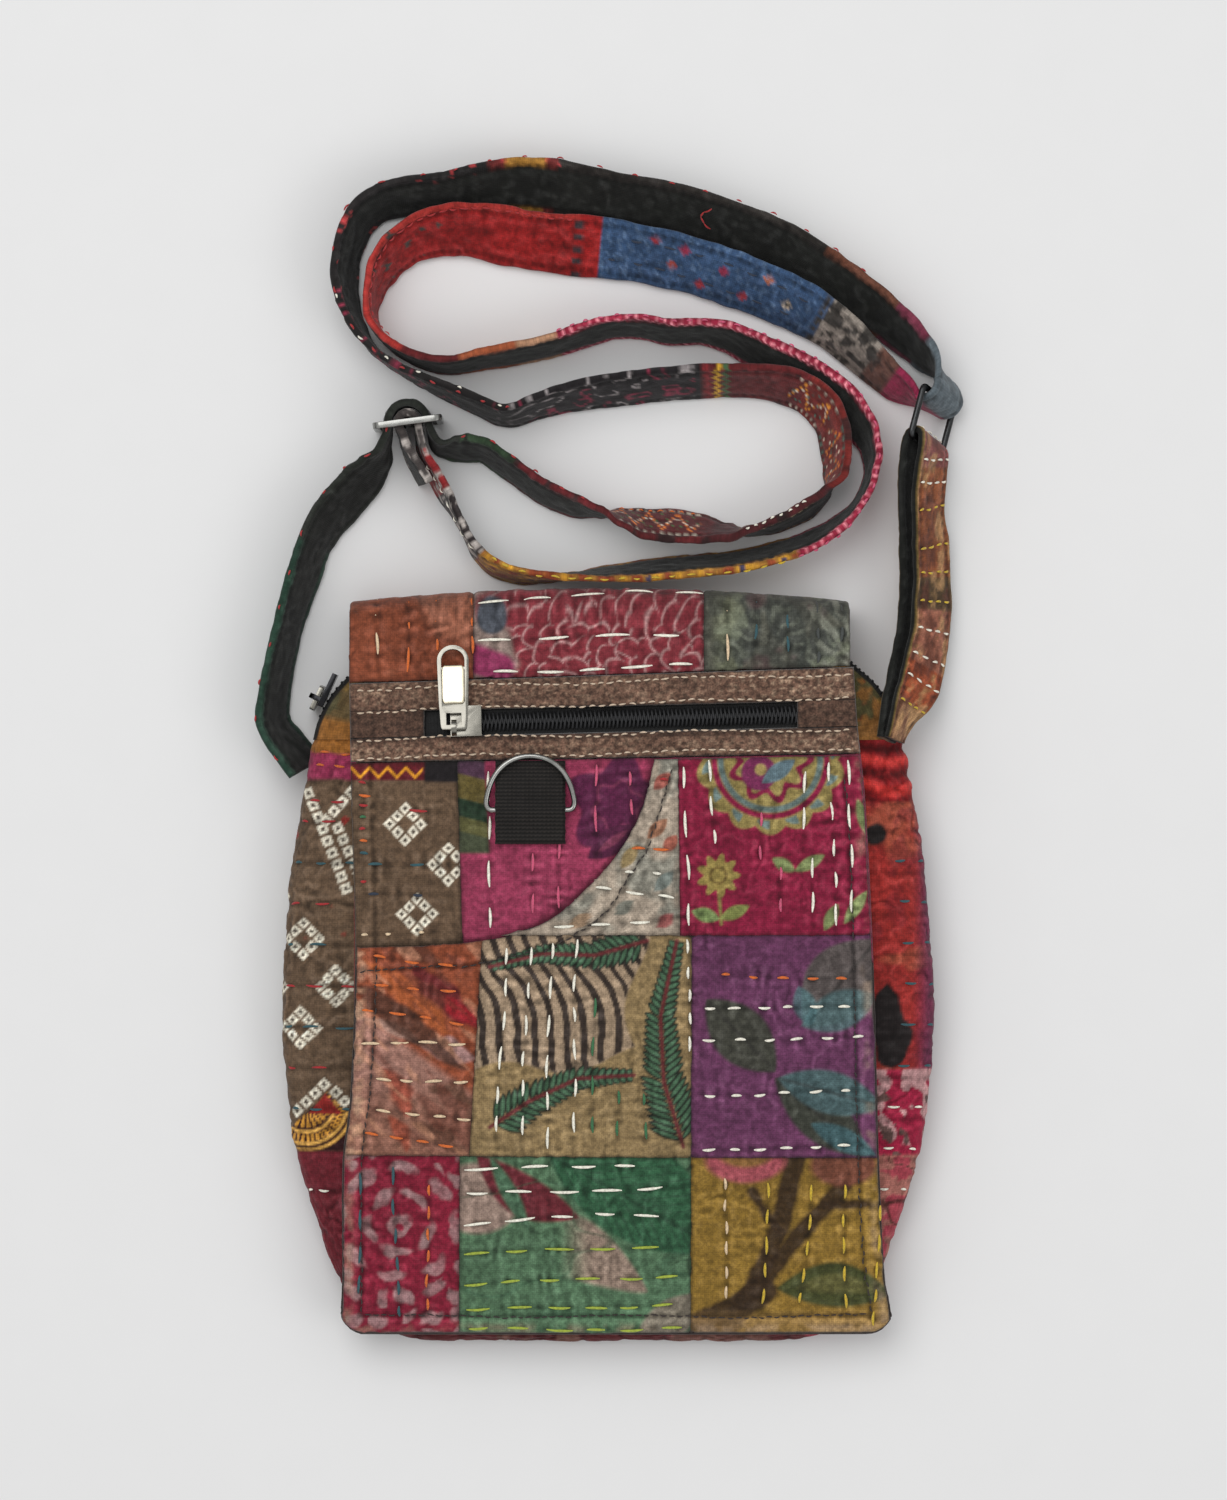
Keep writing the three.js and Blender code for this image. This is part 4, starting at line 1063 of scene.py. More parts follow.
@dataclass(frozen=True)
class ClothFinish:
    """Woven cloth that shows its printed colours."""

    name: str
    weave: Weave
    creases: float = 0.55

    def material(self) -> bpy.types.Material:
        """Builds the material on the print and lay attributes.

        Returns:
            The material.
        """
        pitch, deep, rough, sheen, fleck = self.weave.value
        desk = NodeDesk(self.name)
        print_ = desk.node("Attribute", attribute_name="print").outputs[0]
        lay = desk.node("Attribute", attribute_name="lay").outputs[1]
        parts = desk.node("SeparateXYZ", in_0=lay).outputs
        k = 2 * math.pi / pitch
        warp = desk.sum("SINE", desk.sum("MULTIPLY", parts[0], k))
        weft = desk.sum("SINE", desk.sum("MULTIPLY", parts[1], k))
        if self.weave is Weave.RIBBED:
            weft = desk.sum("MULTIPLY", weft, 0.35)
        woven = desk.sum("ADD", warp, weft)
        fibre = desk.noise(lay, 1.7, 4.0)
        crease = desk.noise(lay, 0.22, 5.0)
        stain = desk.ramp(desk.noise(lay, 0.07, 4.0), 0.3, 0.7, 0.86, 1.1)
        thread = desk.ramp(woven, -2, 2, 0.86, 1.07)
        slub = desk.ramp(desk.noise(lay, 0.62, 3.0), 0.36, 0.64, 1 - fleck, 1 + fleck)
        shade = desk.sum("MULTIPLY", desk.sum("MULTIPLY", thread, stain), slub)
        shade = desk.sum("MULTIPLY", shade, desk.ramp(fibre, 0.3, 0.7, 1 - fleck, 1 + fleck))
        desk.set(Base_Color=desk.mixed(1.0, print_, shade, "MULTIPLY"))
        desk.set(Roughness=desk.ramp(fibre, 0.3, 0.7, rough - 0.08, min(1.0, rough + 0.05)))
        desk.set(Sheen_Weight=sheen, Sheen_Roughness=0.5, Specular_IOR_Level=0.22)
        height = desk.sum("ADD", desk.sum("MULTIPLY", woven, 0.12 * deep), desk.sum("MULTIPLY", fibre, 0.25))
        height = desk.sum("ADD", height, desk.sum("MULTIPLY", crease, 2.4 * self.creases))
        desk.bump(height, 0.55, 0.5)
        return desk.material


@dataclass(frozen=True)
class ThreadFinish:
    """Twisted cotton thread."""

    name: str
    colour: Colour

    def material(self) -> bpy.types.Material:
        """Builds the material on object coordinates.

        Returns:
            The material.
        """
        desk = NodeDesk("thread_" + self.name)
        where = desk.node("TexCoord").outputs["Object"]
        ply = desk.noise(where, 1500.0, 2.0)
        lin = srgb(self.colour)
        dark = (*(lin * 0.74), 1.0)
        light = (*np.minimum(lin * 1.12, 1), 1.0)
        desk.set(Base_Color=desk.mixed(desk.ramp(ply, 0.35, 0.65, 0.0, 1.0), dark, light))
        desk.set(Roughness=desk.ramp(ply, 0.3, 0.7, 0.6, 0.85), Sheen_Weight=0.2)
        desk.bump(ply, 0.5, 0.15)
        return desk.material


@dataclass(frozen=True)
class MetalFinish:
    """Plated metal with fine scratches and a cloudy, uneven tone."""

    name: str
    colour: Colour
    rough: float

    def material(self) -> bpy.types.Material:
        """Builds the material on object coordinates.

        Returns:
            The material.
        """
        desk = NodeDesk(self.name)
        where = desk.node("TexCoord").outputs["Object"]
        cloud = desk.noise(where, 240.0, 4.0)
        drawn = desk.node("Mapping", in_Vector=where, in_Scale=(300, 6000, 6000)).outputs[0]
        scratch = desk.noise(drawn, 1.0, 2.0)
        uneven = desk.sum("ADD", cloud, scratch)
        lin = srgb(self.colour)
        desk.set(
            Base_Color=desk.mixed(desk.ramp(cloud, 0.35, 0.7, 0.0, 1.0), (*(lin * 0.72), 1.0), (*lin, 1.0)),
            Metallic=1.0,
            Roughness=desk.ramp(uneven, 0.7, 1.3, self.rough * 0.7, self.rough * 1.5),
        )
        desk.bump(scratch, 0.12, 0.05)
        return desk.material


@dataclass(frozen=True)
class CoilFinish:
    """Black moulded zip teeth."""

    name: str = "zip_teeth_black"

    def material(self) -> bpy.types.Material:
        """Builds the material on object coordinates.

        Returns:
            The material.
        """
        desk = NodeDesk(self.name)
        where = desk.node("TexCoord").outputs["Object"]
        dust = desk.noise(where, 900.0, 3.0)
        dark, light = (0.004, 0.0042, 0.005, 1), (0.016, 0.016, 0.018, 1)
        desk.set(
            Base_Color=desk.mixed(desk.ramp(dust, 0.4, 0.7, 0.0, 1.0), dark, light),
            Roughness=desk.ramp(dust, 0.3, 0.7, 0.38, 0.6),
            Specular_IOR_Level=0.35,
        )
        desk.bump(dust, 0.2, 0.05)
        return desk.material


# Stitches


class Thread(Enum):
    """Sewing threads by colour."""

    WHITE = (246, 240, 224)
    CREAM = (226, 200, 164)
    ORANGE = (214, 104, 34)
    YELLOW = (206, 174, 44)
    LIME = (160, 176, 58)
    GREEN = (52, 110, 68)
    PINK = (206, 84, 118)
    RED = (168, 34, 36)
    TEAL = (42, 84, 92)
    NAVY = (38, 48, 66)
    SLATE = (66, 70, 68)
    BEIGE = (206, 184, 160)
    DARK = (44, 32, 30)


# Thread widths
HAND_WIDE, TOPSTITCH_WIDE, HEM_WIDE, BODY_WIDE = 0.95, 0.6, 0.42, 0.8
STRAP_THREAD_WIDE, TAB_THREAD_WIDE, LOOSE_WIDE = 0.65, 0.75, 0.6


@dataclass
class StitchRow:
    """A row of running stitches on cloth coordinates."""

    thread: Thread
    start: tuple[float, float]
    end: tuple[float, float]
    dash: float
    gap: float
    sway: float = 0.5
    sway_long: float = 11.0

    def along(self, x: Array, y: Array) -> tuple[Array, Array, float]:
        """Place along and across the row, with its slight sway."""
        s, t, long = local(x, y, self.start, self.end)
        return s, t - self.sway * np.sin(s / self.sway_long + self.start[0]), long

    def marks(self) -> tuple[Array, Array]:
        """Both ends of each stitch.

        Returns:
            Start points and end points.
        """
        (x0, y0), (x1, y1) = self.start, self.end
        long = math.hypot(x1 - x0, y1 - y0)
        draw = np.random.default_rng(int(abs(x0 * 31 + y0 * 17)) + 5)
        a, b, s = [], [], 0.3
        while s + 0.6 * self.dash < long:
            dash = self.dash * draw.uniform(0.78, 1.18)
            a.append(s)
            b.append(min(s + dash, long))
            s += dash + self.gap * draw.uniform(0.75, 1.25)
        dx, dy = (x1 - x0) / long, (y1 - y0) / long
        ends = []
        for at in (np.array(a), np.array(b)):
            sway = self.sway * np.sin(at / self.sway_long + x0) + draw.uniform(-0.25, 0.25, len(at))
            ends.append(np.stack([x0 + dx * at - dy * sway, y0 + dy * at + dx * sway], -1))
        return ends[0], ends[1]


def rows(table: Iterable[tuple]) -> list[StitchRow]:
    """Rows from a table of thread, both ends, stitch and gap."""
    return [StitchRow(Thread[t.upper()], (a, b), (c, d), e, g) for t, a, b, c, d, e, g in table]


TOP_ROWS = rows([
    ("cream", -70.6, 113.4, -70.4, 90.5, 6, 6), ("orange", -61.6, 111.2, -61.2, 90.5, 7.5, 6),
    ("orange", -52.3, 111.4, -51.7, 97.4, 5, 6), ("orange", -42.4, 111.2, -41.5, 96.5, 6, 4),
    ("white", -40.1, 110.3, 29.2, 112.3, 10, 6), ("white", -40.1, 100.9, 29.2, 102.3, 9, 8),
    ("white", -35.3, 90.8, 29.2, 92.8, 9, 6), ("cream", 36.8, 115.3, 36.1, 92.2, 7, 6),
    ("teal", 45.0, 116.2, 44.6, 92.6, 5, 6), ("teal", 55.5, 107.8, 54.8, 93, 4, 3),
    ("slate", 63.6, 112.0, 64.1, 93, 4, 4), ("slate", 71.5, 113.4, 71.9, 93.3, 4, 4),
])
PANEL_ROWS = rows([
    ("teal", -73.4, 31.6, -47.1, 32.7, 4.5, 9), ("red", -60.9, 48.2, -47.1, 47.5, 6, 8),
    ("orange", -76.2, 53.8, -71.3, 52.7, 4, 3), ("red", -76.4, 57.6, -72, 57.2, 2.2, 1),
    ("red", -76.2, 50.6, -71.6, 50, 2.4, 1), ("green", -76, 46.8, -72, 46.4, 2, 1.2),
    ("red", -76.2, 43.4, -71.8, 43, 2.4, 1.2), ("orange", -76, 39.6, -72.4, 39.4, 2.2, 1.4),
    ("teal", -76, 35.8, -71.8, 35.6, 2.4, 1.2), ("red", -75.8, 27.2, -72, 27, 2, 1.2),
    ("navy", -73.4, 22.6, -47, 23.3, 3, 9),
    ("cream", -75.5, 10.4, -51.9, 10.8, 2, 7), ("white", -37.0, 60.7, -35.3, 12.9, 8, 6),
    ("pink", -23.5, 35.8, -22.8, 17.0, 5, 6), ("pink", -14.2, 39.9, -15.2, 17.5, 6, 7),
    ("pink", -3.7, 62.8, -3.0, 33.7, 7, 6), ("pink", 6.4, 60.7, 7.0, 46.8, 5, 5),
])
POCKET_ROWS = rows([
    ("orange", 7.0, 36.7, 20.9, 36.0, 4, 2.5), ("red", 15.5, 58.2, 20.6, 57.2, 3, 2),
    ("white", 4.9, 30.2, 20.6, 29.5, 3, 6), ("white", -4.1, 24.7, 20.2, 22.6, 6, 5),
    ("white", -16.6, 13.0, 20.2, 16.0, 6, 5), ("white", 23.4, 62.1, 24.3, 13.6, 7, 6),
    ("white", 30.8, 64.2, 31.9, 38.5, 6.5, 5), ("pink", 46.1, 48.2, 46.5, 31.6, 5, 6),
    ("pink", 52.0, 31.6, 52.5, 13.6, 4, 6), ("white", 60.6, 60.7, 59.7, 36.4, 6.5, 5),
    ("white", 62.4, 34.4, 61.9, 11.8, 6, 5), ("white", 67.7, 63.5, 69.4, 11.8, 6, 6),
    ("white", 73.7, 64.2, 74.2, 11.5, 7, 6),
    ("orange", -71.7, 4.6, -43.4, 0.8, 4.5, 5), ("orange", -71.7, -4.1, -43.4, -6.8, 4.5, 6),
    ("orange", -75.3, -12.3, -41.2, -17.2, 4.5, 5), ("cream", -75.6, -22.4, -42.4, -23.0, 5, 3.5),
    ("cream", -71.0, -32.9, -41.2, -34.6, 4.5, 3.5), ("cream", -71.0, -42.3, -41.9, -46.0, 4.5, 4),
    ("orange", -74.6, -50.3, -43.4, -54.7, 4.5, 4), ("white", -31.1, 7.0, -34.0, -56.1, 6, 4.5),
    ("white", -23.8, 7.3, -26.4, -55.4, 5.5, 5), ("white", -17.3, 8.6, -18.7, -56.1, 6, 5),
    ("white", -9.3, 9.7, -11.0, -56.1, 5.5, 5), ("white", 24.4, 9.7, 24.6, -30.0, 4.5, 4),
    ("green", -4.0, -8.2, -4.5, -52.5, 5, 6), ("green", 3.8, -36.5, 3.4, -52.5, 4.5, 6),
    ("green", 11.4, -37.3, 11.6, -53.2, 4.5, 6), ("orange", 34.3, -1.4, 72.8, -2.7, 3.2, 5),
    ("white", 29.2, -11.1, 79.3, -11.8, 3.4, 4.4), ("white", 28.5, -21.0, 79.3, -21.0, 3.4, 5),
    ("white", 29.2, -38.0, 79.3, -37.3, 3.4, 5), ("white", 28.5, -54.7, 77.9, -54.0, 3.4, 5),
    ("teal", -75.8, -62.0, -76.8, -102.6, 6, 5), ("teal", -65.2, -60, -64.5, -107.0, 5, 4),
    ("orange", -55.3, -65.6, -55.0, -109.9, 3.5, 3.5), ("white", -44.1, -61.3, 8.2, -59.4, 9, 6),
    ("white", -43.4, -68.9, 24.3, -66.0, 8, 5), ("white", -44.4, -78.2, -10.7, -75.7, 8, 5),
    ("white", -4.2, -75.0, 24.4, -75.3, 7, 5), ("lime", -44.4, -87.4, 19.8, -84.6, 8, 6),
    ("lime", -44.4, -97.1, 23.4, -93.6, 7, 5), ("lime", -43.8, -105.1, 23.4, -102.9, 7, 5),
    ("lime", -43.1, -111.2, 22.7, -110.6, 7, 5), ("cream", 36.2, -63.4, 36.0, -101.2, 3.8, 3),
    ("yellow", 49.4, -64.9, 46.7, -107.7, 5, 3.5), ("yellow", 62.5, -65.6, 58.7, -102.6, 4.5, 4),
    ("yellow", 72.8, -65.6, 72.6, -109.9, 4.5, 4), ("yellow", 83, -72.1, 82.2, -109.9, 4.5, 3.5),
])


def pucker(sewn: Sequence[StitchRow], x: Array, y: Array) -> Array:
    """Pull of stitch rows on the cloth.

    Args:
        sewn: The rows.
        x, y: Places.

    Returns:
        Height of a shallow valley along each row and of uneven ripples beside it.
    """
    total = np.zeros(np.shape(x))
    strength = 0.17 * (1 + WOBBLE.layers(x + 33, y + 12, 8, 2))
    for n, row in enumerate(sewn):
        s, t, long = row.along(x, y)
        ends = smooth(s, -3, 2) * (1 - smooth(s, long - 2, long + 3))
        drift = 1.5 * WOBBLE.plain(s / 6.5 + 3.7 * n, 0.08 * t + 5.3 * n)
        ripple = np.exp(-((t / 3.4) ** 2)) * np.sin(2 * np.pi * (s / 5.6 + drift))
        total = total + ends * (-0.26 * np.exp(-((t / 1.1) ** 2)) + strength * ripple)
    return total


def creases(x: Array, y: Array, deep: float = 0.45) -> Array:
    """Unironed look: broad billows and sharper creases.

    Args:
        x, y: Places on the cloth.
        deep: Depth of the creases.

    Returns:
        Heights.
    """
    broad = CREASE.layers(x, y, 15, 2)
    ridge = np.exp(-((CREASE.layers(x + 50, y * 1.2, 11, 3) / 0.11) ** 2))
    furrow = np.exp(-((CREASE.layers(y * 0.9 + 23, x * 1.2, 9, 3) / 0.1) ** 2))
    fine = WOBBLE.layers(x, y, 3.2, 3)
    here = smooth(WOBBLE.layers(x + 90, y + 40, 13, 2), -0.15, 0.45)
    there = smooth(WOBBLE.layers(y + 10, x + 60, 12, 2), -0.1, 0.45)
    return deep * (0.8 * broad + 0.6 * here * ridge - 0.65 * there * furrow + 0.62 * fine)


class StitchNodes:
    """Geometry Nodes that lay an arched thread at each point."""

    NAME = "running_stitch"
    SIZES = ("Thread Width", "Rise", "Bend", "End Share")
    # Type, properties and own input values of each node
    NODES = {
        "start": ("NodeGroupInput", {}, {}),
        "end": ("NodeGroupOutput", {}, {}),
        "arch": (
            "GeometryNodeCurveQuadraticBezier", {},
            {"Resolution": 6, "Start": (-0.5, 0, 0), "End": (0.5, 0, 0)},
        ),
        "middle": ("ShaderNodeCombineXYZ", {}, {}),
        "circle": ("GeometryNodeCurvePrimitiveCircle", {}, {"Resolution": 6}),
        "half": ("ShaderNodeMath", {"operation": "MULTIPLY"}, {1: 0.5}),
        "share": ("GeometryNodeSplineParameter", {}, {}),
        "around": ("ShaderNodeMath", {"operation": "MULTIPLY"}, {1: math.pi}),
        "swell": ("ShaderNodeMath", {"operation": "SINE"}, {}),
        "taper": ("ShaderNodeMapRange", {}, {"From Max": 0.75}),
        "tube": ("GeometryNodeCurveToMesh", {}, {"Fill Caps": True}),
        "along": ("GeometryNodeInputNamedAttribute", {"data_type": "FLOAT_VECTOR"}, {"Name": "along"}),
        "up": ("GeometryNodeInputNamedAttribute", {"data_type": "FLOAT_VECTOR"}, {"Name": "up"}),
        "long": ("GeometryNodeInputNamedAttribute", {"data_type": "FLOAT"}, {"Name": "long"}),
        "turn": ("FunctionNodeAxesToRotation", {"primary_axis": "X", "secondary_axis": "Z"}, {}),
        "size": ("ShaderNodeCombineXYZ", {}, {1: 1.0, 2: 0.7}),
        "spread": ("GeometryNodeInstanceOnPoints", {}, {}),
        "real": ("GeometryNodeRealizeInstances", {}, {}),
        "smooth": ("GeometryNodeSetShadeSmooth", {}, {}),
        "paint": ("GeometryNodeSetMaterial", {}, {}),
    }
    # Node and output, then node and input
    LINKS = [
        ("start", "Rise", "middle", "Z"), ("start", "Bend", "middle", "Y"),
        ("middle", 0, "arch", "Middle"), ("start", "Thread Width", "half", 0),
        ("half", 0, "circle", "Radius"), ("share", "Factor", "around", 0), ("around", 0, "swell", 0),
        ("swell", 0, "taper", "Value"), ("start", "End Share", "taper", "To Min"),
        ("arch", 0, "tube", "Curve"), ("taper", 0, "tube", "Scale"),
        ("circle", 0, "tube", "Profile Curve"), ("along", 0, "turn", 0), ("up", 0, "turn", 1),
        ("long", 0, "size", 0), ("start", "Geometry", "spread", "Points"),
        ("tube", 0, "spread", "Instance"), ("turn", 0, "spread", "Rotation"),
        ("size", 0, "spread", "Scale"), ("spread", 0, "real", 0), ("real", 0, "smooth", "Geometry"),
        ("smooth", 0, "paint", "Geometry"), ("start", "Thread", "paint", "Material"),
        ("paint", 0, "end", 0),
    ]

    @classmethod
    def tree(cls) -> bpy.types.NodeTree:
        """The tree, made at its first use."""
        return bpy.data.node_groups.get(cls.NAME) or cls.made()

    @classmethod
    def made(cls) -> bpy.types.NodeTree:
        """Makes the tree from the tables.

        Returns:
            The new tree.
        """
        tree = bpy.data.node_groups.new(cls.NAME, "GeometryNodeTree")
        inputs = [("Geometry", "Geometry"), *((name, "Float") for name in cls.SIZES), ("Thread", "Material")]
        for name, kind in inputs:
            tree.interface.new_socket(name, in_out="INPUT", socket_type="NodeSocket" + kind)
        tree.interface.new_socket("Geometry", in_out="OUTPUT", socket_type="NodeSocketGeometry")
        nodes = {}
        for name, (kind, properties, values) in cls.NODES.items():
            nodes[name] = tree.nodes.new(kind)
            for key, value in properties.items():
                setattr(nodes[name], key, value)
            for key, value in values.items():
                nodes[name].inputs[key].default_value = value
        for source, output, target, entry in cls.LINKS:
            tree.links.new(nodes[source].outputs[output], nodes[target].inputs[entry])
        return tree


Ends = tuple[Array, Array, Array]


@dataclass
class StitchBook:
    """All stitches of the pouch by thread, sewn at the end."""

    laid: dict[tuple[Thread, float], list[Ends]] = field(default_factory=dict)
    rise: float = 0.9
    bend: float = 0.3
    tip: float = 0.4

    def sew(self, thread: Thread, wide: float, start: Array, end: Array, up: Array) -> None:
        """Notes stitches from start to end points, with the cloth's upward direction."""
        if len(start):
            self.laid.setdefault((thread, wide), []).append((start, end, up))

    def build(self) -> None:
        """Makes one piece for each thread and width."""
        finishes: dict[Thread, bpy.types.Material] = {}
        for (thread, wide), sets in self.laid.items():
            if thread not in finishes:
                finishes[thread] = ThreadFinish(thread.name.lower(), thread.value).material()
            name = f"stitches_{thread.name.lower()}_{int(wide * 100)}"
            made = thread_piece(name, finishes[thread], wide, sets, self.rise, self.bend, self.tip)
            settle(made, "cloth_pocket")


def thread_piece(
    name: str, material: bpy.types.Material, wide: float, sets: Sequence[Ends],
    rise: float = 0.8, bend: float = 0.0, tip: float = 1.0,
) -> bpy.types.Object:
    """Makes one object of arched threads from noted ends.

    Args:
        name: Name of the piece.
        material: Finish of the thread.
        wide: Width of the thread.
        sets: Start points, end points and upward directions.
        rise: Height of the arch's control point.
        bend: Sideways place of the control point.
        tip: Width of the thread at its ends, as a share.

    Returns:
        The piece as a plain mesh.
    """
    a, b, up = (np.concatenate([s[k] for s in sets]) for k in range(3))
    odd = (np.arange(len(a)) % 2 == 1)[:, None]
    a, b = np.where(odd, b, a), np.where(odd, a, b)
    mesh = bpy.data.meshes.new(name + "_points")
    mesh.vertices.add(len(a))
    mesh.vertices.foreach_set("co", ((a + b) / 2 * MM).astype(np.float32).ravel())
    for key, values in [("along", unit(b - a)), ("up", up), ("long", np.linalg.norm(b - a, axis=1) * MM)]:
        kind, entry = ("FLOAT", "value") if values.ndim == 1 else ("FLOAT_VECTOR", "vector")
        data = mesh.attributes.new(key, kind, "POINT").data
        data.foreach_set(entry, values.astype(np.float32).ravel())
    holder = bpy.data.objects.new(name + "_points", mesh)
    bpy.context.scene.collection.objects.link(holder)
    modifier = holder.modifiers.new("stitches", "NODES")
    modifier.node_group = StitchNodes.tree()
    sockets = {i.name: i.identifier for i in modifier.node_group.interface.items_tree if i.in_out == "INPUT"}
    for key, value in zip(StitchNodes.SIZES, (wide * MM, rise * MM, bend * MM, tip)):
        modifier[sockets[key]] = value
    modifier[sockets["Thread"]] = material
    graph = bpy.context.evaluated_depsgraph_get()
    made = bpy.data.meshes.new_from_object(holder.evaluated_get(graph), depsgraph=graph)
    made.name = name
    holder.modifiers.clear()
    bpy.data.objects.remove(holder)
    piece = bpy.data.objects.new(name, made)
    bpy.context.scene.collection.objects.link(piece)
    return piece


BOOK = StitchBook()


# Flap


class Side(Enum):
    """How the edge of a patch ends."""

    HEM = "hem"
    SEAM = "seam"
    PLAIN = "plain"


class Layer(Enum):
    """Layers of the flap's cloth."""

    POCKET = "pocket"
    PANEL = "panel"
    TOP = "top"
    BAND = "band"


# Underside and show side of each layer over the middle of the flap's cloth
LAYERS = {
    Layer.POCKET: (POCKET_RISE - POCKET / 2, POCKET_RISE + POCKET / 2),
    Layer.PANEL: (-FLAP / 2, FLAP / 2),
    Layer.TOP: (-FLAP / 2, FLAP / 2),
    Layer.BAND: (-FLAP / 2, FLAP / 2 + 0.2),
}
Line = Callable[[Array], Array]


@dataclass
class Patch:
    """One cloth of the patchwork between four lines in plan."""

    cloth: Cloth
    left: Line
    right: Line
    bottom: Line
    top: Line
    sides: tuple[Side, Side, Side, Side] = (Side.SEAM, Side.SEAM, Side.SEAM, Side.SEAM)
    pitch: float = 0.5

    def grid(self) -> tuple[Array, Array, Array]:
        """Plan coordinates of the grid and how far the show side drops at its edges.

        Returns:
            Places across, places along and drops.
        """
        yb, yt = float(self.bottom(np.float64(0))), float(self.top(np.float64(0)))
        middle = np.float64((yb + yt) / 2)
        wide = float(self.right(middle) - self.left(middle))
        us, vs = edge_lines(wide, self.pitch), edge_lines(yt - yb, self.pitch)
        u, v = np.meshgrid(us, vs)
        guess = yb + (yt - yb) * v
        x = self.left(guess) + (self.right(guess) - self.left(guess)) * u
        for _ in range(2):
            y = self.bottom(x) + (self.top(x) - self.bottom(x)) * v
            x = self.left(y) + (self.right(y) - self.left(y)) * u
        near = [u * wide, (1 - u) * wide, v * (yt - yb), (1 - v) * (yt - yb)]
        drop = np.zeros(x.shape)
        for side, e in zip(self.sides, near):
            if side is Side.HEM:
                k = np.clip(1 - e / HEM_REACH, 0, 1)
                drop = drop + (1 - np.sqrt(np.maximum(1 - k**2, 0)))
            elif side is Side.SEAM:
                drop = drop + SEAM_DEEP * np.clip(1 - e / SEAM_REACH, 0, 1) ** 2
        return x, y, drop


def level(value: float) -> Line:
    """Line at one value."""
    return lambda at: np.full(np.shape(at), float(value))


def slant(a: float, at_a: float, b: float, at_b: float) -> Line:
    """Straight line through a at one place and b at another."""
    return lambda at: a + (np.asarray(at, float) - at_a) * (b - a) / (at_b - at_a)


